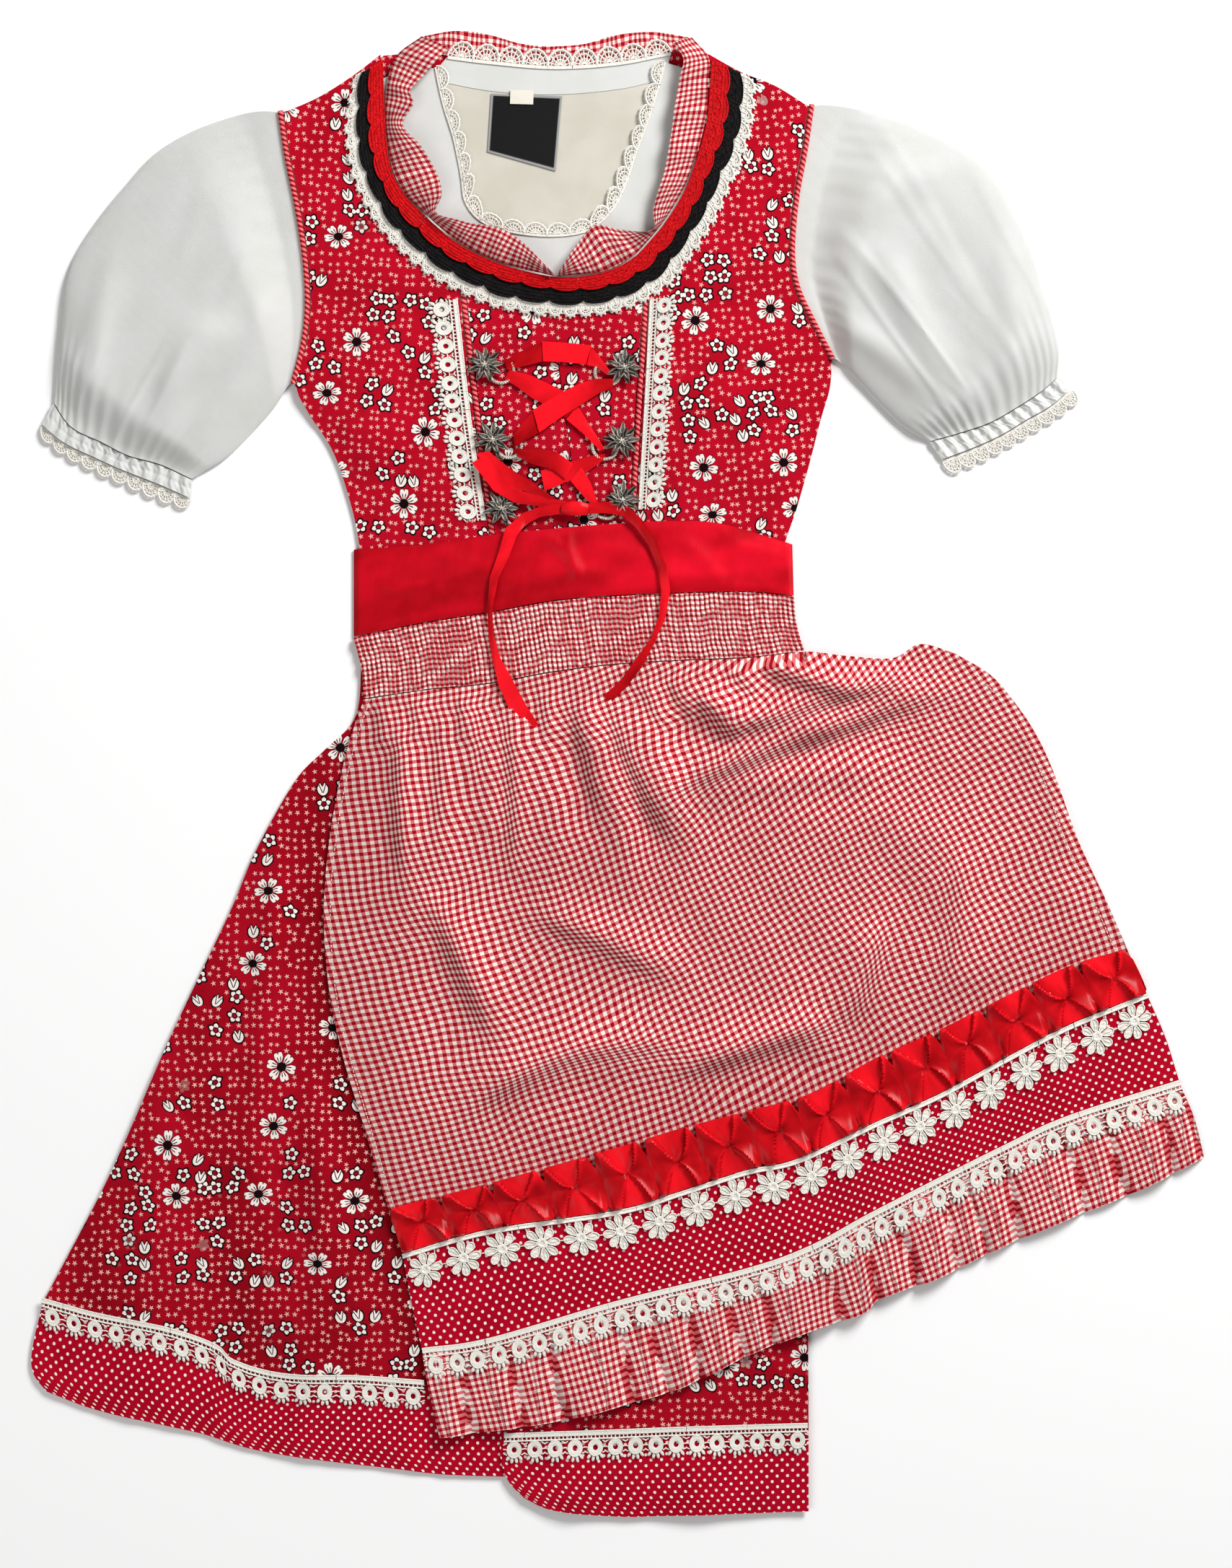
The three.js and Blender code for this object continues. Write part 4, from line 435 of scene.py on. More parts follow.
def waves(x, y, seed, length, heading, spread, count=7):
    """Uneven soft wrinkles of about that length across, running along the heading in degrees; from -1 to 1."""
    rng = np.random.default_rng(seed)
    total = np.zeros(np.shape(x))
    for _ in range(count):
        turn = math.radians(heading + 90 + rng.normal() * spread)
        wave = length * rng.uniform(0.65, 1.6)
        bend = rng.uniform(0.3, 0.9) * wave
        slow = np.sin((x * rng.uniform(-1, 1) + y * rng.uniform(-1, 1)) / (wave * 1.7) + rng.uniform(0, 6.3))
        across = x * math.cos(turn) + y * math.sin(turn) + bend * slow
        total += np.sin(2 * math.pi * across / wave + rng.uniform(0, 6.3))
    return total / (1.6 * math.sqrt(count))


def creases(x, y, seed, length, heading, spread, count=4):
    """Sharper folds: narrow crests between wide hollows, from 0 to 1."""
    w = waves(x, y, seed, length, heading, spread, count)
    return np.exp(-((w - 0.55) ** 2) / 0.06)


def level(z):
    return lambda x, y, *_: z + 0 * x


# ---------- mesh building ----------
pieces = {}


class Body:
    """Closed shells of one piece; each point carries its cloth coordinates and a tone: mostly painted shade on the
    cloth and ribbons, the woven border of the label, the dark hollows of the silver.
    """

    def __init__(self):
        self.points, self.faces, self.cloth, self.count, self.run = [], [], [], 0, 0.0

    def add(self, points, faces, cloth=None, tone=0.0):
        points = np.asarray(points, float).reshape(-1, 3)
        cloth = points[:, :2] if cloth is None else np.asarray(cloth, float).reshape(-1, 2)
        tone = np.broadcast_to(np.asarray(tone, float).reshape(-1), (len(points),))
        self.points.append(points)
        self.cloth.append(np.column_stack([cloth * MM, tone]))
        faces = faces.tolist() if isinstance(faces, np.ndarray) else faces
        self.faces.extend([i + self.count for i in face] for face in faces)
        self.count += len(points)
        return self

    def piece(self, name, net, node=None, sharp=38.0):
        """The finished object, riding on the root and standing for its node."""
        points = np.vstack(self.points)
        points[:, :2] += SHIFT
        mesh = bpy.data.meshes.new(name)
        mesh.from_pydata((points * MM).tolist(), [], self.faces)
        mesh.polygons.foreach_set("use_smooth", [True] * len(mesh.polygons))
        layer = mesh.attributes.new("cloth", "FLOAT_VECTOR", "POINT")
        layer.data.foreach_set("vector", np.vstack(self.cloth).ravel())
        mesh.set_sharp_from_angle(angle=math.radians(sharp))
        mesh.materials.append(net.material)
        mesh.update()
        obj = bpy.data.objects.new(name, mesh)
        bpy.context.scene.collection.objects.link(obj)
        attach(obj, "root")
        if node:
            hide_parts(node)
            pieces[node] = obj
        obj["run"] = self.run


def shell_faces(columns, rows):
    """Faces of a closed wall: the upper grid, the lower grid and the sides between them."""
    i = (np.arange(columns - 1)[None, :] + columns * np.arange(rows - 1)[:, None]).ravel()
    quads = np.stack([i, i + 1, i + columns + 1, i + columns], 1)
    rim = np.concatenate([
        np.arange(columns),
        columns * np.arange(1, rows) + columns - 1,
        (rows - 1) * columns + np.arange(columns - 2, -1, -1),
        columns * np.arange(rows - 2, 0, -1),
    ])
    after = np.roll(rim, -1)
    n = columns * rows
    return np.vstack([quads, quads[:, ::-1] + n, np.stack([rim, rim + n, after + n, after], 1)])


def wall(place, top, columns, rows, thickness=CLOTH, inside=None, cloth=None, tone=None):
    """A closed cloth wall on a grid; top(x, y, s, t) is the height of its upper face."""
    s, t = np.meshgrid(columns, rows)
    xy = place(s, t)
    x, y = xy[..., 0], xy[..., 1]
    z = top(x, y, s, t) + np.zeros_like(x)
    low = inside(x, y, s, t) + np.zeros_like(x) if inside else z - thickness
    ds, dt = np.diff(xy, axis=1)[:-1], np.diff(xy, axis=0)[:, :-1]
    faces = shell_faces(len(columns), len(rows))
    if (ds[..., 0] * dt[..., 1] - ds[..., 1] * dt[..., 0]).sum() < 0:
        faces = faces[:, ::-1]
    uv = (cloth(x, y, s, t) if cloth else xy).reshape(-1, 2)
    shade = (tone(x, y, s, t) + np.zeros_like(x)).ravel() if tone else np.zeros(x.size)
    points = np.vstack([np.stack([x, y, height], -1).reshape(-1, 3) for height in (z, low)])
    return Body().add(points, faces, np.tile(uv, (2, 1)), np.tile(shade, 2))


def plate(outline, top, cell):
    """A closed cloth plate from a plan outline, with points inside it about a cell apart."""
    ring = np.array(outline, float)
    ring = ring[np.sqrt(((ring - np.roll(ring, 1, 0)) ** 2).sum(1)) > 0.05]
    lo, hi = ring.min(0), ring.max(0)
    gx, gy = np.meshgrid(np.arange(lo[0] + cell / 2, hi[0], cell), np.arange(lo[1] + cell / 2, hi[1], cell))
    p = np.column_stack([gx.ravel(), gy.ravel()])
    inside = np.zeros(len(p), bool)
    clear = np.full(len(p), 1e9)
    for a, b in zip(ring, np.roll(ring, -1, 0)):
        crosses = (a[1] > p[:, 1]) != (b[1] > p[:, 1])
        with np.errstate(divide="ignore", invalid="ignore"):
            at = (b[0] - a[0]) * (p[:, 1] - a[1]) / (b[1] - a[1]) + a[0]
        inside ^= crosses & (p[:, 0] < at)
        d = b - a
        share = np.clip(((p - a) @ d) / max(d @ d, 1e-9), 0, 1)
        clear = np.minimum(clear, np.sqrt(((p - a - share[:, None] * d) ** 2).sum(1)))
    p = p[inside & (clear > cell * 0.45)]
    edges = [(i, (i + 1) % len(ring)) for i in range(len(ring))]
    made = flat_geometry.delaunay_2d_cdt([tuple(q) for q in np.vstack([ring, p])], edges, [], 1, 1e-4)
    xy = np.array([tuple(v) for v in made[0]])
    up = np.array([list(f) for f in made[2]])
    q = xy[up]
    turn = np.cross(q[:, 1] - q[:, 0], q[:, 2] - q[:, 0])
    up[turn < 0] = up[turn < 0][:, ::-1]
    n = len(xy)
    sides = dict.fromkeys((f[i], f[(i + 1) % 3]) for f in up for i in range(3))
    rim = [[b, a, a + n, b + n] for a, b in sides if (b, a) not in sides]
    z = top(xy[:, 0], xy[:, 1]) + np.zeros(n)
    points = np.vstack([np.column_stack([xy, z]), np.column_stack([xy, z - CLOTH])])
    return Body().add(points, [*up.tolist(), *(up[:, ::-1] + n).tolist(), *rim], np.tile(xy, (2, 1)))


def ring_faces(rings, sides, closed=False):
    """Faces between the rings of a tube; closed joins the last ring to the first."""
    faces = []
    for r in range(rings if closed else rings - 1):
        after = (r + 1) % rings
        for k in range(sides):
            kk = (k + 1) % sides
            faces.append([r * sides + k, r * sides + kk, after * sides + kk, after * sides + k])
    return faces


def caps(rings, sides):
    return [list(range(sides))[::-1], [(rings - 1) * sides + k for k in range(sides)]]


def tube_mesh(line, radius, sides=6, closed=False, flat=1.0):
    """A tube along points; flat is its height over its width. Returns points and faces."""
    p = np.asarray(line, float)
    n = len(p)
    d = np.roll(p, -1, 0) - np.roll(p, 1, 0) if closed else np.gradient(p, axis=0)
    d /= np.maximum(np.sqrt((d**2).sum(1)), 1e-9)[:, None]
    side = np.stack([-d[:, 1], d[:, 0], np.zeros(n)], 1)
    side[np.sqrt((side**2).sum(1)) < 1e-3] = (1, 0, 0)
    side /= np.maximum(np.sqrt((side**2).sum(1)), 1e-9)[:, None]
    up = np.cross(d, side)
    up *= np.where(up[:, 2] < 0, -1, 1)[:, None]
    turn = np.arange(sides) / sides * 2 * math.pi
    radius = np.broadcast_to(np.asarray(radius, float), (n,))[:, None, None]
    ring = side[:, None, :] * (np.cos(turn)[None, :, None] * radius)
    ring = ring + up[:, None, :] * (np.sin(turn)[None, :, None] * radius * flat)
    points = (p[:, None, :] + ring).reshape(-1, 3)
    faces = ring_faces(n, sides, closed)
    if not closed:
        faces += caps(n, sides)
    a, b, c = points[faces[0][:3]]
    if np.cross(b - a, c - a) @ (a - p[0]) < 0:
        faces = [f[::-1] for f in faces]
    return points, faces


def dome_mesh(outline, height, floor=0.0, levels=3, dip=0.0):
    """A cushioned leaf on a closed plan outline, with a flat underside. dip sinks its middle."""
    ring = np.asarray(outline, float)
    middle = ring.mean(0)
    n = len(ring)
    points = []
    for k in range(levels):
        share = k / levels
        out = blend(ring, middle, 1 - math.cos(share * math.pi / 2) if share else 0.0)
        z = floor + height * math.sin(share * math.pi / 2) * (1 - dip * share)
        points.append(np.column_stack([out, np.full(n, z)]))
    points.append([[*middle, floor + height * (1 - dip)]])
    points.append(np.column_stack([ring, np.full(n, floor - 0.15)]))
    top, low = n * levels, n * levels + 1
    faces = ring_faces(levels, n)
    for i in range(n):
        j = (i + 1) % n
        faces.append([(levels - 1) * n + i, (levels - 1) * n + j, top])
        faces.append([low + i, low + j, j, i])
    faces.append([low + i for i in range(n)][::-1])
    turn = (ring[:, 0] * np.roll(ring[:, 1], -1) - np.roll(ring[:, 0], -1) * ring[:, 1]).sum()
    return np.vstack(points), [f[::-1] for f in faces] if turn < 0 else faces


def merged(parts):
    """Several points-and-faces pairs as one."""
    points, faces, count = [], [], 0
    for p, f in parts:
        points.append(np.asarray(p, float))
        faces.extend([i + count for i in face] for face in f)
        count += len(p)
    return np.vstack(points), faces


LACE_JITTER = 0.012      # of a repeat


def repeat_trim(place, top, repeats, template, depth, seed):
    """A template in units u (0 to 1 along one repeat), v in mm of depth and z in mm is laid along a strip."""
    points, faces = template
    rng = np.random.default_rng(seed)
    body = Body()
    for r in range(repeats):
        s = (r + points[:, 0] + rng.normal() * LACE_JITTER) / repeats
        t = points[:, 1] / depth
        xy = place(s, t)
        over = np.maximum(s - 1, 0) + np.minimum(s, 0)
        if np.abs(over).max() > 0:
            edge = place(np.clip(s, 0, 1), t)
            step = place(np.full_like(s, 0.999), t) - place(np.full_like(s, 0.99), t)
            back = place(np.full_like(s, 0.01), t) - place(np.full_like(s, 0.001), t)
            xy = edge + np.where((over > 0)[:, None], step, back) / 0.009 * over[:, None]
        z = top(xy[:, 0], xy[:, 1], s, t) + points[:, 2]
        body.add(np.column_stack([xy, z]), faces, np.column_stack([points[:, 0] * 16, points[:, 1]]))
    return body


def arc(cx, cy, rx, ry, a0, a1, count, z=0.0):
    turn = np.radians(np.linspace(a0, a1, count))
    return np.column_stack([cx + rx * np.cos(turn), cy + ry * np.sin(turn), np.full(count, z)])


# ---------- heights of the layers ----------
def apron_under(x, y):
    edge = line_x(PLEAT_EDGE, y)
    return (UNDER_THIRD + LAYER * smooth(x, edge - 70, edge - 30)) * (1 - smooth(x, 176, 300))


apron_ridges = ridges(APRON_FOLDS)
apron_bands, apron_drawn = bands(APRON_BANDS)
skirt_bands = bands(SKIRT_BANDS)[0]
skirt_ridges = ridges(SKIRT_FOLDS)
sleeve_ridges = ridges(SLEEVE_FOLDS)
pleat_ridges = ridges(PLEAT_HEM_FOLDS)


def apron_free(x, y):
    """Where folds may stand: not under the ruche nor right below the yoke."""
    above = smooth(y - line_y(RUCHE_TOP, x), 2, 26)
    below = smooth(line_y(YOKE_BOTTOM, x) - y, 0, 12)
    return above * np.where(x > 145, 1.0, below)


def apron_top(x, y):
    return apron_under(x, y) + CLOTH + apron_ridges(x, y) * apron_free(x, y)


def apron_flat(x, y):
    return apron_under(x, y) + CLOTH


def bodice_top(x, y):
    crown = sum(3.0 * np.exp(-((x - bx) ** 2 + (y - by) ** 2) / 36.0**2) for bx, by in BUSTS)
    return UNDER_SECOND + CLOTH + 2 * LAYER * smooth(y, 205, 290) + crown


APRON_LEFT_LINE = [*APRON_LEFT, [-161, -402], [-152, -448], [-138, -515]]


def skirt_top(x, y):
    clear = np.where(y < -515, 1.0, smooth(line_x(APRON_LEFT_LINE, y) - x, 18, 40))
    beyond = smooth(line_x(PLEAT_EDGE, y) - x, 16, 40)
    return UNDER_SECOND + CLOTH + skirt_ridges(x, y) * clear * beyond


def pleat_top(x, y):
    return UNDER_THIRD + CLOTH + pleat_ridges(x, y) * smooth(-y, 512, 532)


def tail_surface(x, y):
    over_band = apron_under(x, y) + CLOTH + 2.2 + ON_CLOTH
    onto_band = smooth(y - line_y(BAND_TOP, x), 2, 14)
    onto_panel = 1 - smooth(y - line_y(YOKE_BOTTOM, x), -30, -6)
    bodice, panel = bodice_top(x, y) + 3, apron_top(x, y) + 1
    return over_band + (bodice - over_band) * onto_band + (panel - over_band) * onto_panel


# ---------- materials ----------
class Val:
    """A socket that arithmetic can be written with."""

    def __init__(self, net, socket):
        self.net, self.socket = net, socket


for operator, kind in (("add", "ADD"), ("sub", "SUBTRACT"), ("mul", "MULTIPLY"), ("truediv", "DIVIDE")):
    setattr(Val, f"__{operator}__", lambda a, b, kind=kind: a.net.math(kind, a, b))
    setattr(Val, f"__r{operator}__", lambda a, b, kind=kind: a.net.math(kind, b, a))


class Net:
    """A small writer of node materials; the cloth attribute gives each point's u, v and tone, which is mostly painted
    shade.
    """

    def __init__(self, name, roughness, specular, metallic=0.0, slot=None):
        self.slot = slot or name
        self.material = bpy.data.materials.new(name)
        self.material.use_nodes = True
        self.tree = self.material.node_tree
        self.tree.nodes.clear()
        self.shader = self.node("ShaderNodeBsdfPrincipled")
        self.tree.links.new(self.shader.outputs[0], self.node("ShaderNodeOutputMaterial").inputs[0])
        for socket, value in (("Roughness", roughness), ("Specular IOR Level", specular), ("Metallic", metallic)):
            self.shader.inputs[socket].default_value = value
        self.cloth = Val(self, self.node("ShaderNodeAttribute", attribute_name="cloth").outputs["Vector"])
        self.u, self.v, self.tone = self.split(self.cloth)

    def put(self, socket, value):
        if isinstance(value, Val):
            self.tree.links.new(value.socket, socket)
        else:
            socket.default_value = value

    def node(self, kind, **settings):
        made = self.tree.nodes.new(kind)
        for key, value in settings.items():
            setattr(made, key, value)
        return made

    def math(self, op, a, b=None):
        made = self.node("ShaderNodeMath", operation=op)
        for i, value in enumerate((a, b)):
            if value is not None:
                self.put(made.inputs[i], value)
        return Val(self, made.outputs[0])

    def vector(self, op, a, b):
        made = self.node("ShaderNodeVectorMath", operation=op)
        self.put(made.inputs[0], a)
        self.put(made.inputs[1], b)
        return Val(self, made.outputs["Value" if op == "DISTANCE" else "Vector"])

    def scaled(self, vector, scale):
        return self.vector("MULTIPLY", vector, (scale, scale, scale))

    def split(self, vector):
        made = self.node("ShaderNodeSeparateXYZ")
        self.put(made.inputs[0], vector)
        return [Val(self, made.outputs[i]) for i in range(3)]

    def folded(self, value):
        """Distance from the middle of each whole repeat, 0 to 0.5."""
        return self.math("ABSOLUTE", self.math("FRACT", value) - 0.5)

    def step(self, value, a, b):
        """0 below a and 1 above b, smooth between; a may be more than b."""
        made = self.node("ShaderNodeMapRange", interpolation_type="SMOOTHSTEP")
        for socket, given in (("Value", value), ("From Min", a), ("From Max", b)):
            self.put(made.inputs[socket], given)
        return Val(self, made.outputs["Result"])

    def mix(self, factor, a, b):
        made = self.node("ShaderNodeMix", data_type="RGBA")
        for socket, value in ((0, factor), (6, a), (7, b)):
            self.put(made.inputs[socket], value)
        return Val(self, made.outputs[2])

    def noise(self, vector, scale, detail=2.0):
        made = self.node("ShaderNodeTexNoise", noise_dimensions="2D")
        self.put(made.inputs["Vector"], vector)
        made.inputs["Scale"].default_value = scale
        made.inputs["Detail"].default_value = detail
        return Val(self, made.outputs["Fac"])

    def cells(self, vector, randomness):
        """Centre and colour of the 2D cell that each point lies in, on coordinates scaled to about one cell."""
        made = self.node("ShaderNodeTexVoronoi", voronoi_dimensions="2D", feature="F1")
        self.put(made.inputs["Vector"], vector)
        made.inputs["Scale"].default_value = 1.0
        made.inputs["Randomness"].default_value = randomness
        return Val(self, made.outputs["Position"]), Val(self, made.outputs["Color"])

    def bump(self, height, distance):
        made = self.node("ShaderNodeBump")
        made.inputs["Strength"].default_value = 1.0
        made.inputs["Distance"].default_value = distance
        self.put(made.inputs["Height"], height)
        self.tree.links.new(made.outputs[0], self.shader.inputs["Normal"])

    def weave(self, pitch):
        """Over-and-under relief of a plain weave, from -1 to 1."""
        return self.math("SINE", self.u * (2 * math.pi / pitch)) * self.math("SINE", self.v * (2 * math.pi / pitch))

    def colour(self, value):
        self.put(self.shader.inputs["Base Color"], value)


def rgb(r, g, b):
    """Screen colour, 0 to 255, as a linear one."""
    return tuple(((c / 255 + 0.055) / 1.055) ** 2.4 if c > 10 else c / 3294.6 for c in (r, g, b)) + (1.0,)


def gingham(name, pitch_u=5.8, pitch_v=5.0):
    """Red and white checks; both bands of yarn together are deepest."""
    net = Net(name, 0.9, 0.06, slot="gingham_cotton")
    slub = net.noise(net.scaled(net.cloth, 1.0), 1100.0, 2.0) - 0.5
    a = net.step(net.math("SINE", net.u * (2000 * math.pi / pitch_u)) + slub * 0.35, -0.16, 0.16)
    b = net.step(net.math("SINE", net.v * (2000 * math.pi / pitch_v)) + slub * 0.35, -0.16, 0.16)
    both = a + b
    colour = net.mix(net.step(both, 0.0, 1.0), rgb(255, 250, 243), rgb(230, 120, 122))
    colour = net.mix(net.step(both, 1.0, 2.0), colour, rgb(164, 8, 26))
    yarn = net.weave(0.0007) * 0.5 + 0.5
    tint = net.noise(net.cloth, 35.0, 3.0)
    colour = net.mix(net.step(tint, 0.35, 0.75) * 0.08 + yarn * 0.07, colour, rgb(150, 16, 26))
    # Painted shade: the tone sinks the checks towards a deep red in the hollows.
    net.colour(net.mix(net.tone, colour, rgb(96, 8, 16)))
    net.bump(net.weave(0.0006) + slub * 1.6, 0.00012)
    return net


DOT_PITCH, DOT_SIZE, DOT_EDGE = 8.06, 1.12, 0.16     # millimetres


def dotted(name):
    """White pin dots in staggered rows on red."""
    net = Net(name, 0.88, 0.06)
    near = None
    for shift in (0.0, 0.5):
        a = net.math("FRACT", net.u * (1000 / DOT_PITCH) + shift) - 0.5
        b = net.math("FRACT", net.v * (1000 / DOT_PITCH) + shift) - 0.5
        far = net.math("SQRT", a * a + b * b)
        near = far if near is None else net.math("MINIMUM", near, far)
    inside = net.step(near, (DOT_SIZE + DOT_EDGE) / DOT_PITCH, (DOT_SIZE - DOT_EDGE) / DOT_PITCH)
    tint = net.step(net.noise(net.cloth, 30.0, 3.0), 0.3, 0.7)
    base = net.mix(tint * 0.5, rgb(190, 5, 38), rgb(162, 1, 28))
    net.colour(net.mix(inside, base, rgb(255, 240, 234)))
    net.bump(net.weave(0.0006) + net.noise(net.cloth, 1500.0, 1.0), 0.00010)
    return net


LARGE, GROUP, SMALL, STAR = 60.0, 45.0, 13.6, 6.6     # cells of the print, in millimetres
SPREAD_LARGE, SPREAD_SMALL = 0.75, 0.42               # how far the cells stray from an even grid
TURN = 6.2832


def floral(name):
    """Red cotton with loose six-petal flowers, groups of outlined small flowers and tulips, and stars."""
    net = Net(name, 0.88, 0.06)
    flat = net.vector("MULTIPLY", net.cloth, (1000.0, 1000.0, 0.0))
    black, white, ground, deep = rgb(24, 6, 10), rgb(255, 243, 235), rgb(196, 10, 38), rgb(158, 4, 22)
    tint = net.step(net.noise(net.cloth, 30.0, 3.0), 0.3, 0.75)
    # Painted shade: the tone darkens the red ground of the print towards a deeper red.
    ground_colour = colour = net.mix(net.tone, net.mix(tint * 0.5, ground, deep), rgb(118, 2, 12))

    def local(vector, size, randomness):
        """Offset from the cell's centre in mm, its random colour, and the centre in mm."""
        centre, shade = net.cells(net.scaled(vector, 1.0 / size), randomness)
        centre = net.scaled(centre, size)
        return net.vector("SUBTRACT", vector, centre), shade, centre

    def polar(x, y, spin):
        far = net.math("SQRT", x * x + y * y)
        return far, net.math("ARCTAN2", y, x) + spin * TURN

    def away_from_large(centre, reach):
        large_at, large_tint = net.cells(net.scaled(centre, 1.0 / LARGE), SPREAD_LARGE)
        gap = net.step(net.vector("DISTANCE", centre, net.scaled(large_at, LARGE)), reach, reach + 0.5)
        return net.math("MAXIMUM", gap, net.step(net.split(large_tint)[1], 0.21, 0.20))

    def in_group(centre, pick):
        group_at, group_tint = net.cells(net.scaled(centre, 1.0 / GROUP), SPREAD_LARGE)
        reach = net.split(group_tint)[0] * 6.0 + 9.8 + pick * 3.0
        return net.step(net.vector("DISTANCE", centre, net.scaled(group_at, GROUP)) - reach, 0.2, -0.2)

    large, large_shade, _ = local(flat, LARGE, SPREAD_LARGE)
    spin, kind, _ = net.split(large_shade)
    large_on = net.step(kind, 0.20, 0.21)
    small, small_shade, small_centre = local(flat, SMALL, SPREAD_SMALL)
    small_spin, small_kind, small_pick = net.split(small_shade)
    small_on = in_group(small_centre, small_pick) * away_from_large(small_centre, 16.0)

    # Stars fill the ground between the flowers.
    star, star_shade, star_centre = local(flat, STAR, 0.5)
    sx, sy, _ = net.split(star)
    star_spin, star_size, _ = net.split(star_shade)
    star_far, star_turn = polar(sx, sy, star_spin)
    point = net.folded(star_turn * (5 / TURN)) * 2.0
    star_edge = 0.68 + 1.40 * net.math("POWER", point, 1.4)
    star_in = net.step(star_far - star_edge * (star_size * 0.25 + 0.85), 0.12, -0.12)
    host_at, host_tint = net.cells(net.scaled(star_centre, 1.0 / SMALL), SPREAD_SMALL)
    host_at = net.scaled(host_at, SMALL)
    host_on = in_group(host_at, net.split(host_tint)[2]) * away_from_large(host_at, 16.0)
    clear = net.math("MAXIMUM", net.step(net.vector("DISTANCE", star_centre, host_at), 7.4, 7.8), 1.0 - host_on)
    star_in = star_in * away_from_large(star_centre, 12.6) * clear
    colour = net.mix(star_in, colour, rgb(244, 182, 174))

    # Small five-petal flowers and tulips, both with a thick outline.
    px, py, _ = net.split(small)
    px = px + (small_pick - 0.5) * py * 0.5
    small_far, small_turn = polar(px, py, small_spin)
    lobe = net.folded(small_turn * (5 / TURN)) * 2.0
    edge = 2.5 + 2.9 * net.math("POWER", lobe, 0.55)
    flower = small_on * net.step(small_kind, 0.30, 0.31)
    colour = net.mix(net.step(small_far - edge, 1.65, 1.35) * flower, colour, black)
    colour = net.mix(net.step(small_far - edge, 0.12, -0.2) * flower, colour, white)
    notch = net.step(lobe, 0.26, 0.12) * net.step(small_far, 1.6, 2.0)
    colour = net.mix(notch * net.step(small_far, 5.0, 4.6) * flower, colour, black)
    colour = net.mix(net.step(small_far, 2.5, 2.2) * flower, colour, black)
    colour = net.mix(net.step(small_far, 1.6, 1.3) * flower, colour, ground_colour)

    # Tulips open upwards: a round cup below, three pointed tips and dark lines between the petals.
    bud = small_on - flower
    lean = (small_pick - 0.5) * 0.9
    bx = (px + py * lean) * 0.78
    by = (py - px * lean) * 0.78
    cup = net.math("SQRT", bx * bx * 1.25 + by * by * 0.82)
    teeth = net.folded(bx * 0.34 + 0.5) * 5.2
    inner = net.step(cup, 3.7, 3.4) * net.step(by - teeth, 1.2, 0.9)
    colour = net.mix(net.step(cup, 4.7, 4.4) * net.step(by - teeth, 2.4, 2.0) * bud, colour, black)
    colour = net.mix(inner * bud, colour, white)
    slope = net.math("ABSOLUTE", net.math("ABSOLUTE", bx) - (by + 3.0) * 0.36)
    colour = net.mix(net.step(slope, 0.42, 0.2) * inner * net.step(by, -2.6, -2.2) * bud, colour, black)

    # Large flowers: six notched petals with veins and a dark heart.
    lx, ly, _ = net.split(large)
    far, turn = polar(lx, ly * (kind * 0.4 + 0.85), spin)
    petal = net.folded(turn * (6 / TURN)) * 2.0
    tip_notch = net.step(petal, 0.84, 1.0) * 1.6
    reach = 11.0 - tip_notch - net.step(petal, 0.55, 0.10) * 4.0
    width = net.step(petal - 0.52 + far * 0.05, 0.0, 0.09)
    petals = net.step(far - reach, 0.3, -0.3) * width * net.step(far, 2.6, 3.2) * large_on
    rim = net.step(far - reach, 1.1, 0.6) * net.step(petal - 0.40 + far * 0.05, 0.0, 0.08) * large_on
    colour = net.mix(rim * net.step(far, 2.6, 3.2), colour, rgb(70, 10, 18))
    colour = net.mix(petals, colour, white)
    vein = net.folded(turn * (18 / TURN)) * 2.0
    veins = net.step(vein, 0.50, 0.26) * net.step(far + vein * 3.0, 8.6, 7.6) * petals
    colour = net.mix(veins, colour, black)
    colour = net.mix(net.step(far - net.noise(flat, 0.9, 1.0) * 1.6, 3.1, 2.7) * large_on, colour, black)
    net.colour(colour)
    net.bump(net.weave(0.0006) + net.noise(net.cloth, 1500.0, 1.0), 0.00010)
    return net


def shaded(net, colour, second, deep):
    """The colour sinks to a share of its second one where the tone is deep."""
    net.colour(net.mix(net.tone, colour, rgb(*[c * deep for c in second])))


def plain(name, base, second, roughness, specular, slot=None):
    net = Net(name, roughness, specular, slot=slot)
    tint = net.step(net.noise(net.cloth, 25.0, 3.0), 0.3, 0.7)
    shaded(net, net.mix(tint, rgb(*base), rgb(*second)), second, 0.35)
    net.bump(net.weave(0.0007) + net.noise(net.cloth, 1400.0, 2.0), 0.00012)
    return net


def satin(name, base, second, rough):
    """Smooth satin; the tone of a point goes from the lit colour to the deep colour of a hollow."""
    net = Net(name, rough, 0.09)
    made = net.node("ShaderNodeCombineXYZ")
    net.put(made.inputs[0], net.u * 900.0)
    net.put(made.inputs[1], net.v * 90.0)
    threads = net.noise(Val(net, made.outputs[0]), 1.0, 2.0)
    tint = net.step(net.noise(net.cloth, 60.0, 2.0), 0.3, 0.7)
    net.colour(net.mix(tint * 0.15 + net.tone * 0.85, rgb(*base), rgb(*second)))
    net.put(net.shader.inputs["Roughness"], threads * 0.16 + (rough - 0.06))
    net.bump(threads, 0.00006)
    return net


def lace_thread(name, base, second, roughness=0.8, specular=0.08, slot=None):
    net = Net(name, roughness, specular, slot=slot)
    u, v = net.u, net.v
    wind = net.math("SINE", (u + v) * 5200.0 + net.math("SINE", (u - v) * 1700.0) * 2.0)
    tint = net.noise(net.cloth, 420.0, 3.0)
    shaded(net, net.mix(net.step(tint, 0.3, 0.7), rgb(*base), rgb(*second)), second, 0.5)
    net.bump(wind + tint * 2.0, 0.00018)
    return net


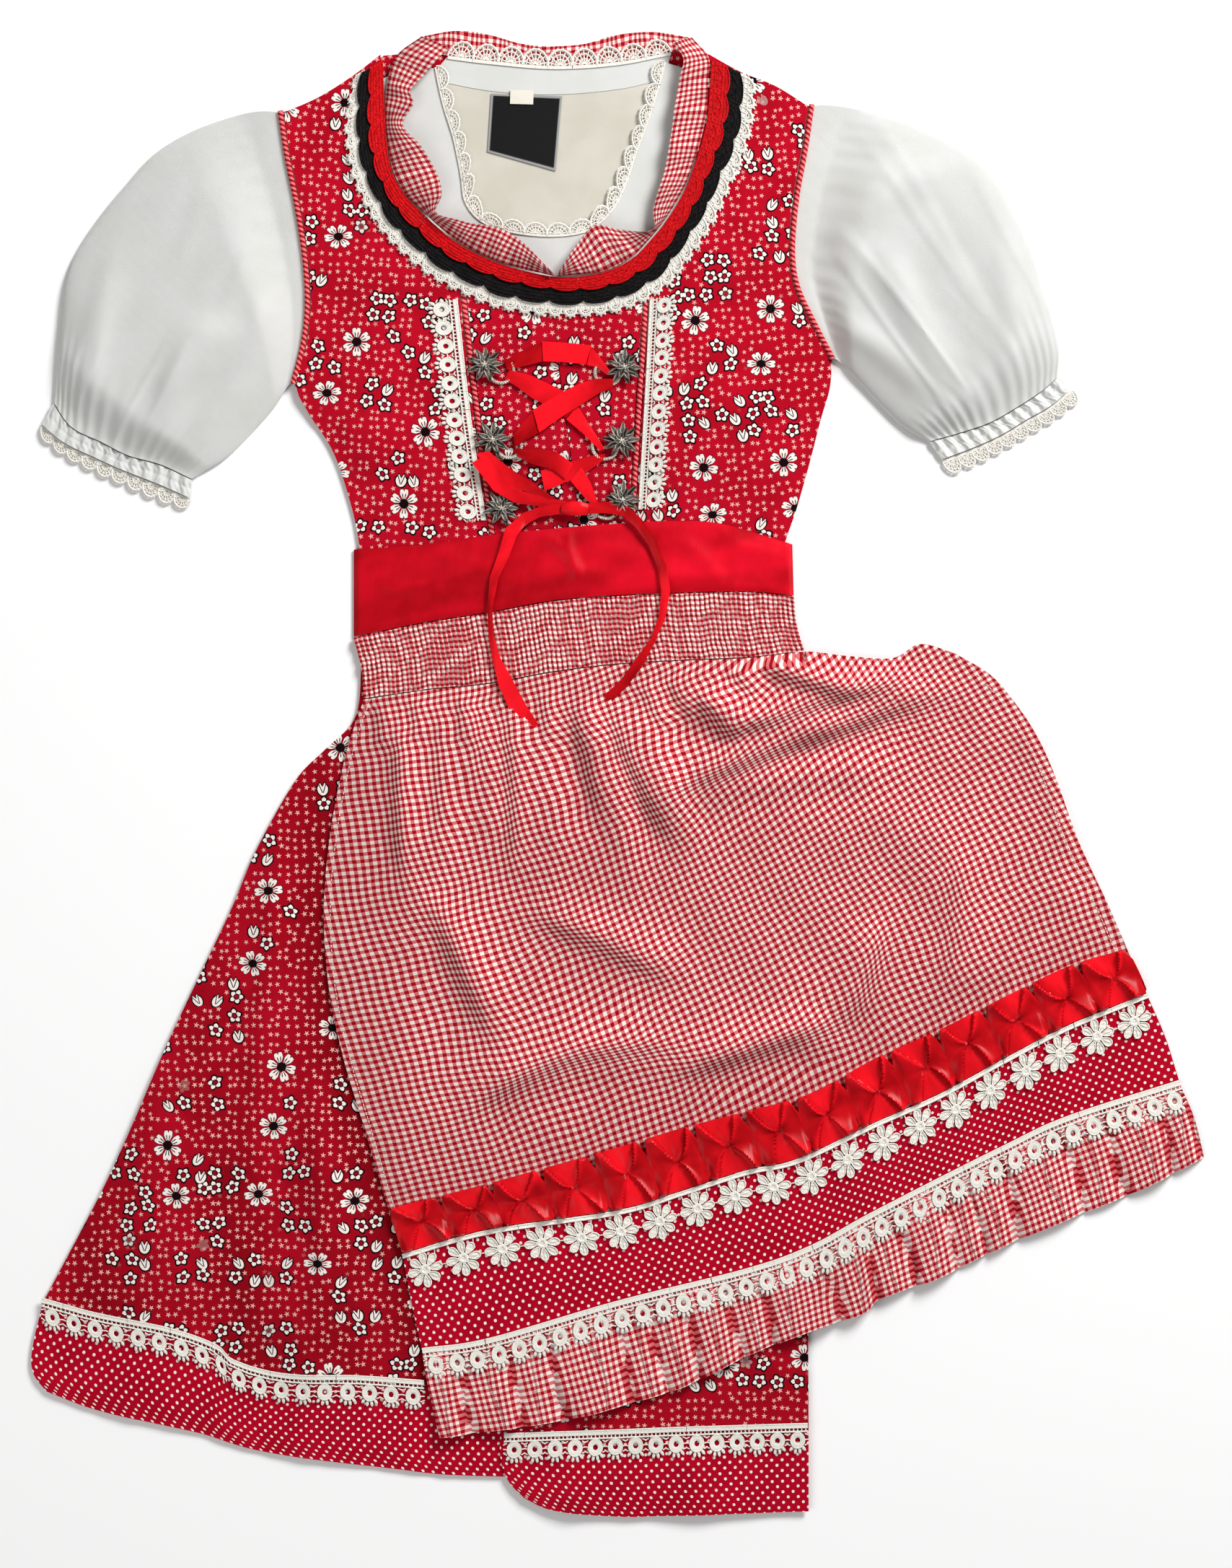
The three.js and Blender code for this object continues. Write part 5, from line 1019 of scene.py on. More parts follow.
def label_weave():
    net = Net("label_weave", 0.75, 0.12)
    rows = net.math("SINE", net.v * 9000.0) * 0.5 + 0.5
    net.colour(net.mix(net.tone, net.mix(rows * 0.5, rgb(18, 17, 18), rgb(36, 35, 37)), rgb(158, 158, 158)))
    net.bump(rows + net.noise(net.cloth, 1800.0, 1.0), 0.00015)
    return net


def silver():
    net = Net("antique_silver", 0.3, 0.5, metallic=0.3)
    tint = net.noise(net.cloth, 500.0, 3.0)
    bright = net.mix(net.step(tint, 0.3, 0.7), rgb(238, 232, 220), rgb(196, 186, 172))
    net.colour(net.mix(net.tone, bright, rgb(20, 14, 12)))
    net.put(net.shader.inputs["Roughness"], 0.2 + net.tone * 0.45 + tint * 0.1)
    net.bump(tint, 0.00012)
    return net


PRINT = floral("print_cotton")
GINGHAM = gingham("gingham_cotton")
GINGHAM_FINE = gingham("gingham_cotton_fine", 4.6, 4.4)
GINGHAM_BIAS = gingham("gingham_cotton_bias", 3.6, 3.6)
DOTTED = dotted("dotted_cotton")
SATIN = satin("red_satin", (248, 22, 36), (126, 0, 3), 0.26)
BAND_CLOTH = satin("band_cotton", (230, 10, 38), (162, 0, 14), 0.40)
BLOUSE = plain("blouse_cotton", (228, 229, 226), (224, 225, 220), 0.75, 0.10)
IVORY = lace_thread("ivory_lace", (255, 253, 246), (252, 246, 234))
RED_LACE = lace_thread("red_lace", (222, 10, 20), (188, 4, 12), 0.55, 0.15, "red_satin")
BLACK_LACE = lace_thread("black_braid", (22, 17, 18), (10, 8, 9), 0.6, 0.15)
LABEL = label_weave()
# A darker copy of the blouse cotton: painted shade for the back of the blouse, seen down inside the neckline.
BLOUSE_SHADED = plain("blouse_cotton_shaded", (222, 217, 204), (214, 209, 194), 0.8, 0.08, "blouse_cotton")
TAB = plain("size_tab_cotton", (246, 242, 228), (240, 234, 218), 0.85, 0.08, "blouse_cotton")
SILVER = silver()
STITCH_THREAD = lace_thread("stitch_thread", (250, 232, 222), (240, 214, 204), slot="gingham_cotton")

# ---------- the gingham's grain on the apron ----------
# Checks drift with the cloth: columns x, y, warp angle, warp pitch, weft angle, weft pitch (degrees and mm).
GRAIN = [
    [-200, 40, 0, 5.4, 93, 4.8],
    [-120, 40, 11, 5.5, 90, 4.8],
    [-40, 40, 16, 4.9, 113, 5.3],
    [40, 40, 20, 5.1, 117, 5.3],
    [120, 40, 30, 5.5, 114, 4.4],
    [200, 40, 38, 5.0, 126, 4.8],
    [280, 40, 27, 6.2, 116, 4.6],
    [320, -20, 24, 6.1, 112, 4.8],
    [-160, -20, 4, 5.8, 100, 5.2],
    [-40, -20, 14, 5.6, 105, 5.1],
    [120, -20, 38, 5.0, 128, 4.8],
    [240, -50, 31, 5.7, 117, 5.0],
    [360, -50, 25, 5.8, 116, 5.2],
    [-160, -110, 18, 6.0, 103, 5.0],
    [-40, -80, 17, 5.4, 104, 5.0],
    [80, -110, 22, 5.7, 122, 4.7],
    [160, -110, 38, 5.0, 128, 4.9],
    [320, -110, 21, 5.8, 112, 5.1],
    [-200, -170, 17, 5.9, 103, 4.9],
    [-40, -170, 20, 6.2, 112, 5.2],
    [120, -170, 36, 5.2, 124, 4.8],
    [240, -170, 17, 5.9, 112, 5.2],
    [0, -200, 20, 6.2, 114, 5.1],
    [-120, -260, 19, 5.8, 109, 4.8],
    [40, -260, 14, 5.5, 107, 4.7],
]


def grain_fit():
    """Polynomials u and v whose gradients follow the table."""
    powers = [(i, j) for i in range(5) for j in range(5 - i) if i + j]
    rows, want_u, want_v = [], [], []
    for x, y, warp, warp_pitch, weft, weft_pitch in GRAIN:
        a, b = x / 300, y / 300
        rows.append([i * a ** max(i - 1, 0) * b**j / 300 if i else 0.0 for i, j in powers])
        rows.append([j * a**i * b ** max(j - 1, 0) / 300 if j else 0.0 for i, j in powers])
        for want, angle, pitch, base in ((want_u, warp, warp_pitch, 5.8), (want_v, weft, weft_pitch, 5.0)):
            want += [math.cos(math.radians(angle)) * base / pitch, math.sin(math.radians(angle)) * base / pitch]
    m = np.array(rows)
    damp = np.diag([(0.0004 * (i + j) ** 2) for i, j in powers])
    solve = np.linalg.solve(m.T @ m + damp.T @ damp, m.T)
    return powers, solve @ np.array(want_u), solve @ np.array(want_v)


GRAIN_POWERS, GRAIN_U, GRAIN_V = grain_fit()


def grain(x, y):
    a, b = x / 300, y / 300
    terms = np.stack([a**i * b**j for i, j in GRAIN_POWERS], -1)
    return np.stack([terms @ GRAIN_U, terms @ GRAIN_V], -1)


# ---------- dress: backs ----------
def run(rows, count, reverse=False):
    s = steps(count + 1)[:-1]
    return along(rows)(1 - s if reverse else s).tolist()


body = plate(
    [
        *run([[-195, 145], [-100, 156], [0, 166], [70, 167], [127, 159]], 12),
        *run([[127, 159], [130, 110], [138, 0], [144, -200], [146, -571]], 24),
        *run([[146, -571], [0, -573], [-60, -566], [-90, -543], [-175, -537], [-274, -524], [-327, -509],
              [-403, -492], [-442, -477]], 40),
        *run([[-442, -477], [-451, -462], [-445, -415]], 8),
        *run(shifted(SKIRT_LEFT, 2.5), 40, True),
    ],
    level(UNDER_BACK + CLOTH),
    30,
)
body.piece("skirt_back_cloth", PRINT, "skirt_back")

body = plate(
    [
        *run([[-195, 146.5], [-100, 157.5], [0, 167.5], [70, 168.5], [127, 160.5]], 12),
        *run(shifted(SIDE_RIGHT, -2), 14, True),
        *run(shifted(ARMHOLE_RIGHT, -2), 20, True),
        *run([[151, 518], [122, 532], [95, 543], [66, 560]], 10),
        *run([[66, 560], [0, 563], [-50, 561], [-110, 564], [-182, 558]], 16),
        *run([[-182, 558], [-205, 540], [-232, 523], [-262, 513]], 10),
        *run(shifted(ARMHOLE_LEFT, 2), 20),
        *run(shifted(SIDE_LEFT, 2.5), 14),
    ],
    level(UNDER_BACK + CLOTH),
    20,
)
body.piece("bodice_back_cloth", PRINT, "bodice_back")

# ---------- dress: skirt ----------
skirt_place = patch(shifted(WAIST_SEAM, 0, -SEAM), HEM_SEAM_LEFT, SKIRT_LEFT, SKIRT_RIGHT)
skirt_columns = np.concatenate([np.linspace(0, 0.56, 90), np.linspace(0.56, 1, 16)[1:]])


def skirt_relief(x, y, s, t):
    open_part = smooth(line_x(APRON_LEFT_LINE, y) - x, 6, 40) * smooth(s, 0, 0.05)
    soft = 0.9 * waves(x, y, 11, 60, -75, 0.18) + 0.45 * waves(x, y, 12, 26, -70, 0.4)
    crests = 1.3 * skirt_bands(x, y) * smooth(y - line_y(HEM_SEAM_LEFT, x), 12, 60)
    return skirt_top(x, y) + open_part * (soft + 0.5 + crests)


def skirt_painted_shade(x, y, s, t):
    """An even darkening, with painted shade deeper beside the apron, in the hollows of the folds and towards the hem.
    """
    beside = np.exp(-np.maximum(line_x(APRON_LEFT_LINE, y) - x, 0) / 26)
    return np.clip(0.26 + 0.4 * beside + 0.32 * waves(x, y, 71, 90, -70, 0.3) + 0.2 * smooth(-y, 150, 520), 0, 1)


body = wall(skirt_place, skirt_relief, skirt_columns, even(560, 4.5), tone=skirt_painted_shade)
body.piece("skirt_left_cloth", PRINT, "skirt_front_left")

hem_left_place = patch(shifted(HEM_SEAM_LEFT, 0, -GAP), HEM_LEFT, shifted(HEM_END_LEFT, 0, -GAP), HEM_END_RIGHT)


def along_cloth(length, depth):
    return lambda x, y, s, t: np.stack([s * length, t * depth], -1)


def hem_relief(x, y, s, t):
    free = smooth(line_x(PLEAT_EDGE, y) - x, 16, 40)
    pucker = 0.5 * hump(t, 0.10, 0.09) * (0.5 + 0.5 * waves(x, y, 13, 9, 90, 0.1))
    pucker += 0.45 * hump(t, 0.82, 0.10) * (0.5 + 0.5 * waves(x, y, 14, 11, 90, 0.1))
    return skirt_top(x, y) + free * (pucker + 0.4 * waves(x, y, 15, 30, -80, 0.3))


body = wall(hem_left_place, hem_relief, np.concatenate([np.linspace(0, 0.60, 170), np.linspace(0.6, 1, 12)[1:]]),
            even(66, 2.4), cloth=along_cloth(610, 66))
body.piece("hem_band_left_cloth", DOTTED, "hem_band_left")

pleat_place = patch(shifted(PLEAT_TOP, 0, -SEAM), HEM_SEAM_RIGHT, PLEAT_EDGE, PLEAT_RIGHT)
body = wall(pleat_place, lambda x, y, s, t: pleat_top(x, y), even(200, 6), even(650, 12),
            tone=lambda x, y, s, t: 0.30)
body.piece("skirt_right_cloth", PRINT, "skirt_front_right")
pleat_hem_place = patch(shifted(HEM_SEAM_RIGHT, 0, -GAP), HEM_RIGHT, shifted(PLEAT_HEM_END, 0, -GAP), PLEAT_HEM_RIGHT)


def pleat_hem_relief(x, y, s, t):
    pucker = 0.45 * hump(t, 0.82, 0.10) * (0.5 + 0.5 * waves(x, y, 17, 11, 90, 0.1))
    return pleat_top(x, y) + smooth(-y, 512, 532) * (pucker + 0.45 * waves(x, y, 16, 34, -84, 0.3))


body = wall(pleat_hem_place, pleat_hem_relief, even(240, 2.4), even(64, 2.4), cloth=along_cloth(238, 64))
body.piece("hem_band_right_cloth", DOTTED, "hem_band_right")

# ---------- dress: bodice ----------
PIPE_HALF = PIPING_WIDTH / 2 + GAP + 0.25
PIPE_INSET = PIPING_WIDTH + GAP + 0.4


def waist(x):
    return [x, float(line_y(WAIST_SEAM, x)) + 2 * HIDDEN_SEAM]


def side_top(share):
    def top(x, y, s, t):
        low, near = 1 - smooth(y, 262, 300), 1 - smooth(share(s), 0, 0.22)
        z = bodice_top(x, y)
        z = z - (z - UNDER_SECOND - CLOTH) * low * near
        strain = np.maximum(creases(x, y, 22, 42, 25, 0.5) - 0.25, 0)
        strain = strain * smooth(y, 235, 300) * (1 - smooth(y, 400, 470))
        return z + 0.22 * waves(x, y, 21, 38, 60, 0.5) + 0.7 * strain

    return top


left_side = patch(
    [[-259, 513], [-232, 525], [-205, 542], [-184, 558]],
    [waist(-198), waist(-150), waist(-97.7)],
    [[-259, 513], *offset(ARMHOLE_LEFT, PIPE_INSET)[1:], *SIDE_LEFT[1:-1], waist(-198)],
    [*NECK_LEFT[:-1], [-123.9, 399], *offset(PRINCESS_LEFT, -PIPE_HALF)[1:-1], waist(-97.7)],
)
right_side = patch(
    [[68, 560], [95, 545], [122, 534], [148, 518]],
    [waist(12.8), waist(70), waist(129)],
    [*NECK_RIGHT[1:][::-1], [26.9, 401], *offset(PRINCESS_RIGHT, PIPE_HALF)[1:-1], waist(12.8)],
    [[148, 518], *offset(ARMHOLE_RIGHT, -PIPE_INSET)[1:], *SIDE_RIGHT[1:-1], waist(129)],
)
centre_left = patch(
    [[-118.5, 398], [-95, 389], [-48.3, 380]],
    [waist(-92.4), waist(-60), waist(-27.3)],
    [[-118.5, 398], *offset(PRINCESS_LEFT, PIPE_HALF)[1:-1], waist(-92.4)],
    [[-48.3, 380], *shifted(PLACKET[1:-1], -0.3), waist(-27.3)],
)
centre_right = patch(
    [[-47.7, 380], [-5, 386], [21.5, 400]],
    [waist(-26.7), waist(-10), waist(7.4)],
    [[-47.7, 380], *shifted(PLACKET[1:-1], 0.3), waist(-26.7)],
    [[21.5, 400], *offset(PRINCESS_RIGHT, -PIPE_HALF)[1:-1], waist(7.4)],
)


def moved_cloth(dx, dy, turn=0.0):
    c, q = math.cos(math.radians(turn)), math.sin(math.radians(turn))
    return lambda x, y, s, t: np.stack([x * c - y * q + dx, x * q + y * c + dy], -1)


centre_top = lambda x, y, s, t: bodice_top(x, y) + 0.15 * waves(x, y, 23, 34, 20, 0.6)
for name, place, top, count, cloth in (
    ("side_left", left_side, side_top(lambda s: s), 32, moved_cloth(311, 57, 4)),
    ("side_right", right_side, side_top(lambda s: 1 - s), 32, moved_cloth(-903, 211, -5)),
    ("center_left", centre_left, centre_top, 20, moved_cloth(1207, -405)),
    ("center_right", centre_right, centre_top, 16, moved_cloth(607, 905, 2)),
):
    body = wall(place, top, steps(count), even(400, 5), cloth=cloth)
    body.piece(f"bodice_{name}_cloth", PRINT, f"bodice_{name}")


def piping(rows, height):
    """A round cord covered in bias gingham."""
    line = along(rows)(steps(120))
    d = heading_of(line)
    side = np.stack([-d[:, 1], d[:, 0]], 1)
    base = bodice_top(line[:, 0], line[:, 1]) - CLOTH
    turns = np.radians(np.linspace(-20, 200, 11))
    run_of = run_along(line)
    h = height(line[:, 0], line[:, 1])
    points, cloth = [], []
    for k, turn in enumerate(turns):
        reach, up = math.cos(turn) * PIPING_WIDTH / 2, max(math.sin(turn), 0.0)
        xy = line + side * reach
        points.append(np.column_stack([xy, base + h * up]))
        cloth.append(np.column_stack([run_of * 0.9 + k * 0.35, 0.9 + 0 * run_of]))
    n, m = len(line), len(turns)
    points = np.stack(points, 1).reshape(-1, 3)
    cloth = np.stack(cloth, 1).reshape(-1, 2)
    faces = ring_faces(n, m) + caps(n, m)
    a, b, c = points[faces[5][:3]]
    if np.cross(b - a, c - a) @ (a - points[:m].mean(0)) < 0:
        faces = [f[::-1] for f in faces]
    return Body().add(points, faces, cloth)


def pressed(x, y):
    neck, band = smooth(y, 350, 361), 1 - smooth(y - line_y(BAND_TOP, x), 2, 10)
    return PIPING_HEIGHT - (PIPING_HEIGHT - CLOTH) * np.maximum(neck, band)


full = level(PIPING_HEIGHT)
for name, rows, height in (
    ("armhole_left", offset(ARMHOLE_LEFT, PIPING_WIDTH / 2), full),
    ("armhole_right", offset(ARMHOLE_RIGHT, -PIPING_WIDTH / 2), full),
    ("princess_left", [*PRINCESS_LEFT[:-1], waist(-95)], pressed),
    ("princess_right", [*PRINCESS_RIGHT[:-1], waist(10)], pressed),
):
    piping(rows, height).piece(f"piping_{name}_cord", GINGHAM_BIAS, f"piping_{name}")

# ---------- dress: neck ruffle ----------
NECK_FRILLS = 7


def standing(x, y, s, t):
    wave = 0.5 - 0.5 * np.cos(2 * math.pi * (NECK_FRILLS * s + 0.15 * np.sin(9 * s)))
    fine = swell(24 * s + 0.9 * np.sin(11 * s) + 0.4 * t) ** 1.6 * (1 - 0.75 * t)
    z = UNDER_FOURTH + 2 * CLOTH + GAP + 7 * np.sin(0.6 * math.pi * t) + 3.2 * wave * t
    return z + 1.5 * fine * smooth(t, 0, 0.12)


def standing_painted_shade(x, y, s, t):
    # Painted shade along the sewn edge and in the hollows between the gathers; darker too along the free edge.
    fold = (0.5 - 0.5 * np.sin(2 * math.pi * (24 * s + 0.9 * np.sin(11 * s) + 0.4 * t))) ** 3
    return np.clip(0.35 * np.exp(-t / 0.12) + 0.3 * fold * (1 - 0.8 * t) + 0.3 * smooth(t, 0.9, 1.0), 0, 1)


def frill_cloth(length, depth):
    def cloth(x, y, s, t):
        return np.stack([s * length + 1.6 * np.sin(62 * s) * (1 - t), t * depth + 0.8 * np.sin(25 * s)], -1)

    return cloth


for side, sewn, free in (
    ("left", RUFFLE_SEWN_LEFT, RUFFLE_FREE_LEFT),
    ("right", RUFFLE_SEWN_RIGHT, RUFFLE_FREE_RIGHT),
):
    body = wall(between(sewn, free), standing, steps(170), steps(14),
                cloth=frill_cloth(length_of(sewn), 26), tone=standing_painted_shade)
    body.piece(f"neck_ruffle_{side}_cloth", GINGHAM_FINE, f"neck_ruffle_{side}")
body = wall(
    between(RUFFLE_BACK_OUT, shifted([[-150, 561], *COLLAR_TOP, [55, 563]], 0, 1)),
    lambda x, y, s, t: UNDER_SECOND + CLOTH + 0.2 * np.sin(40 * s) + 0.5 * (0.5 + 0.5 * np.sin(190 * s)) * (1 - t),
    steps(160),
    steps(7),
    cloth=frill_cloth(215, 15),
)
body.piece("neck_ruffle_back_cloth", GINGHAM_FINE, "neck_ruffle_back")

# ---------- blouse ----------
body = plate(BLOUSE_BACK_OUTLINE, lambda x, y: UNDER_SECOND + CLOTH + 0.12 * waves(x, y, 31, 30, 80, 0.4), 7)
body.piece("blouse_back_cloth", BLOUSE_SHADED, "blouse_back")
neck_line = along(BLOUSE_NECK)(steps(60)).tolist()
body = plate(
    [*neck_line, *BLOUSE_FRONT_SIDES],
    lambda x, y: UNDER_THIRD + CLOTH + 0.25 * waves(x, y, 32, 16, 70, 0.5) * smooth(y, 360, 400),
    7,
)
body.piece("blouse_front_cloth", BLOUSE, "blouse_front")
body = wall(between(COLLAR_TOP, shifted(COLLAR_BOTTOM, 0, -1.5)), level(UNDER_SECOND + CLOTH + 0.5),
            steps(60), steps(5))
body.piece("collar_cloth", BLOUSE, "collar_back")

CUFF_GATHERS = 12
PUFF_HEIGHT = 17


def puff(x, y, s, t):
    across = np.maximum(0, 1 - (2 * t - 1) ** 2) ** 0.62
    length = smooth(s, 0.06, 0.26) * (1 - 0.85 * smooth(s, 0.84, 1))
    tucked = LAYER * (1 - smooth(s, 0.06, 0.14))
    gathers = (swell(15 * t + 0.7 * np.sin(7 * t) + 0.3 * np.sin(9 * s))) * (
        1.6 * smooth(s, 0.72, 0.97) + 0.45 * (1 - smooth(s, 0.1, 0.32)) * smooth(s, 0.05, 0.1))
    soft = 0.9 * np.where(x < 0, waves(x, y, 41, 52, 58, 0.35), waves(x, y, 44, 52, -50, 0.35))
    soft = soft + 1.5 * np.where(x < 0, creases(x, y, 42, 60, 62, 0.35, 3), creases(x, y, 45, 60, -54, 0.35, 3))
    rise = (PUFF_HEIGHT + sleeve_ridges(x, y) + soft) * across * length
    return UNDER_SECOND + CLOTH + np.maximum(tucked, rise + gathers * across**0.5)


def sleeve_painted_shade(x, y, s, t):
    # Painted shade: the right sleeve deeper towards its outer end, the left one a little on its outer upper part.
    return 0.13 * smooth(x, 150, 300) + 0.04 * smooth(-x, 200, 300) * smooth(y, 330, 470) + 0.02


def sleeve(side, head, upper, under, gather, cuff_free):
    body = wall(patch(upper, under, head, gather), puff, steps(100), steps(90),
                cloth=lambda x, y, s, t: np.stack([x * 1.2, y * 1.2], -1),
                tone=sleeve_painted_shade)
    body.piece(f"sleeve_front_{side}_cloth", BLOUSE, f"sleeve_front_{side}")

    def crimp(x, y, s, t):
        wave = 0.5 - 0.5 * np.cos(2 * math.pi * CUFF_GATHERS * s)
        fine = 0.5 + 0.5 * np.sin(2 * math.pi * 31 * s + 3 * np.sin(5 * t + 20 * s))
        crimps = (2.6 * wave + 0.7 * fine) * (1 - 0.35 * t)
        return UNDER_SECOND + CLOTH + 0.6 + crimps - 0.5 * hump(t, 0.5, 0.1)

    body = wall(between(toward(gather, cuff_free, 0.06), cuff_free), crimp, steps(240), steps(16),
                inside=level(UNDER_SECOND))
    body.piece(f"cuff_{side}_cloth", BLOUSE, f"cuff_{side}")


sleeve("left", SLEEVE_HEAD_LEFT, SLEEVE_UPPER_LEFT, SLEEVE_UNDER_LEFT, GATHER_LEFT, CUFF_FREE_LEFT)
sleeve("right", SLEEVE_HEAD_RIGHT, SLEEVE_UPPER_RIGHT, SLEEVE_UNDER_RIGHT, GATHER_RIGHT, CUFF_FREE_RIGHT)
for side, sign, upper, turn, cuff_free, under, armhole in (
    ("left", 1, SLEEVE_UPPER_LEFT, [[-437, 287], [-445, 273], [-446, 270]], CUFF_FREE_LEFT,
     [[-333, 216], [-332, 228], [-307, 244], [-287, 263], [-268, 285], [-257, 301.5]], shifted(ARMHOLE_LEFT, 1.2)),
    ("right", -1, SLEEVE_UPPER_RIGHT, [[342, 307], [350, 299]], CUFF_FREE_RIGHT,
     [[252, 246], [243, 259], [228, 266], [213, 278], [190, 302], [173, 320]], shifted(ARMHOLE_RIGHT, -1.2)),
):
    outline = [
        *run(shifted(upper[1:], 1.0 * sign, -1.5), 30),
        *run(turn, 3),
        *run(shifted(cuff_free, 1.0 * sign, 1), 14),
        *run(under, 14),
        *run(armhole[::-1], 20),
    ]
    body = plate(outline, level(UNDER_BACK + CLOTH), 14)
    body.piece(f"sleeve_back_{side}_cloth", BLOUSE, f"sleeve_back_{side}")

# ---------- labels, left bare ----------
LABEL_WIDE, LABEL_DEEP, LABEL_CLOTH = 54, 50, 0.8


def four(c):
    c = np.array(c, float)

    def place(s, t):
        u, v = np.asarray(s)[..., None], np.asarray(t)[..., None]
        return blend(blend(c[0], c[1], u), blend(c[3], c[2], u), v)

    return place


def border(x, y, s, t):
    return 1 - smooth(np.minimum(np.minimum(s, 1 - s) * LABEL_WIDE, np.minimum(t, 1 - t) * LABEL_DEEP), 1.6, 2.0)


body = wall(four(LABEL_CORNERS), level(UNDER_THIRD + LABEL_CLOTH), steps(55),
            steps(51), thickness=LABEL_CLOTH, cloth=along_cloth(LABEL_WIDE, LABEL_DEEP), tone=border)
body.piece("label_cloth", LABEL, "label")
body = wall(four(TAB_CORNERS), level(UNDER_THIRD + LABEL_CLOTH + GAP + LABEL_CLOTH), steps(19),
            steps(12), thickness=LABEL_CLOTH, cloth=along_cloth(18, 11))
body.piece("size_tab_cloth", TAB, "size_tab")

# ---------- apron ----------
BAND_CREASES = ridges([
    [-60, 186, -34, 174, -32, 152, 2.2, 5],
    [-40, 190, -36, 170, -30, 150, 2.0, 4],
    [-80, 150, -40, 160, 0, 150, 1.6, 8],
    [-150, 178, -120, 160, -70, 146, 1.4, 9],
    [-30, 178, 10, 172, 40, 160, 1.6, 8],
    [40, 186, 70, 168, 80, 148, 1.8, 7],
    [80, 184, 104, 170, 132, 168, 1.6, 7],
    [-196, 150, -150, 140, -110, 142, 1.2, 7],
    [10, 150, 50, 156, 90, 150, 1.3, 6],
])


BAND_TURN = 0.012      # share of the waistband that turns down at each end


def band_relief(x, y, s, t):
    down = 1 - smooth(np.minimum(s, 1 - s), 0, BAND_TURN)
    upper = apron_flat(x, y) + 0.3
    z = upper - down * (upper - 1.8)
    pull = 0.8 * BAND_CREASES(x, y) + 0.35 * waves(x, y, 51, 34, 20, 0.6) + 0.12 * waves(x, y, 52, 12, 70, 0.5)
    gather = 0.35 * smooth(t, 0.80, 0.92) * (0.5 + 0.5 * waves(x, y, 53, 7, 88, 0.2))
    return z + (1 - down) * ((pull + 0.4) * smooth(t, 0, 0.1) * (1 - smooth(t, 0.93, 1)) + gather)


def band_painted_shade(x, y, s, t):
    # Painted shade: deeper towards the left end, in wavy patches that stand for the wrinkles, and along the lower
    # edge.
    wrinkle_shade = 0.5 + 0.5 * waves(x, y, 54, 46, 15, 0.8)
    side = smooth(-x, -60, 120) * 0.55
    patchy_shade = 0.55 * smooth(wrinkle_shade, 0.35, 0.8) * (1 - 0.5 * side)
    return np.clip(0.15 + side + patchy_shade + 0.25 * smooth(t, 0.9, 1.0), 0, 1)


body = wall(between(BAND_TOP, shifted(BAND_BOTTOM, 0, HIDDEN_SEAM)), band_relief,
            np.concatenate([np.linspace(0, BAND_TURN, 5)[:-1], np.linspace(BAND_TURN, 1 - BAND_TURN, 150),
                            np.linspace(1 - BAND_TURN, 1, 5)[1:]]),
            steps(26), thickness=1.5, cloth=along_cloth(346, 66), tone=band_painted_shade)
body.piece("waistband_cloth", BAND_CLOTH, "apron_waistband")

SMOCK_PLEATS = 78
SHIRR_ROWS = 5
smock_place = patch(shifted(BAND_BOTTOM, 0, -HIDDEN_SEAM), shifted(YOKE_BOTTOM, 0, HIDDEN_SEAM),
                    [[-205, 106], [-199, 82], [-197, 58]], [[137, 138], [139, 117], [145, 95]])


def smock_phase(s, t):
    """Pleats wander sideways between the shirring threads."""
    return SMOCK_PLEATS * s + 0.5 * np.sin(31 * s) + 0.22 * np.sin(9 * t + 40 * s) + 0.14 * np.sin(23 * t + 90 * s)


def smock_relief(x, y, s, t):
    pleat = 0.5 - 0.5 * np.cos(2 * math.pi * smock_phase(s, t))
    thread = np.abs(np.sin(math.pi * SHIRR_ROWS * (t + 0.02 * np.sin(12 * s))))
    uneven = 0.5 * waves(x, y, 64, 30, 5, 0.3) * (t * (1 - t) * 4)
    return apron_flat(x, y) + 1.9 * pleat**0.55 * (0.35 + 0.65 * thread**0.6) + uneven


def smock_painted_shade(x, y, s, t):
    # Painted shade in the hollows between the pleats and along the shirring threads, uneven along the band.
    hollow = (0.5 + 0.5 * np.cos(2 * math.pi * smock_phase(s, t))) ** 3
    thread = np.exp(-((np.sin(math.pi * SHIRR_ROWS * (t + 0.02 * np.sin(12 * s))) / 0.28) ** 2))
    patchy_shade = 0.6 + 0.4 * np.sin(s * 70 + 7 * np.sin(t * 9))
    return np.clip(0.15 * hollow * patchy_shade + 0.06 * thread * patchy_shade, 0, 1)


def smock_cloth(x, y, s, t):
    phase = smock_phase(s, t)
    wander = 0.7 * np.sin(48 * s) + 0.4 * np.sin(117 * s + 3 * t)
    swing = np.sin(2 * math.pi * phase)
    return np.stack([s * 342 * 1.22 + 0.4 * swing, t * 56 + 0.22 * swing + wander], -1)


body = wall(smock_place, smock_relief, steps(SMOCK_PLEATS * 7 + 1), steps(36),
            inside=lambda x, y, s, t: apron_under(x, y), cloth=smock_cloth, tone=smock_painted_shade)
body.piece("smocking_cloth", GINGHAM_FINE, "apron_smocking")

apron_place = patch(shifted(APRON_TOP, 0, -HIDDEN_SEAM), shifted(SEAM_A, 0, SEAM), APRON_LEFT, APRON_RIGHT)


RIDGE_GAIN, BAND_GAIN = 1.2, 1.75


def apron_folds(x, y):
    """The creases laid one by one, each with its steep side, over faint long wrinkles."""
    soft = 0.9 * waves(x, y, 61, 70, -60, 0.7) + 0.25 * waves(x, y, 62, 24, -50, 0.9)
    return RIDGE_GAIN * apron_ridges(x, y) + BAND_GAIN * apron_bands(x, y) + soft + 1.0


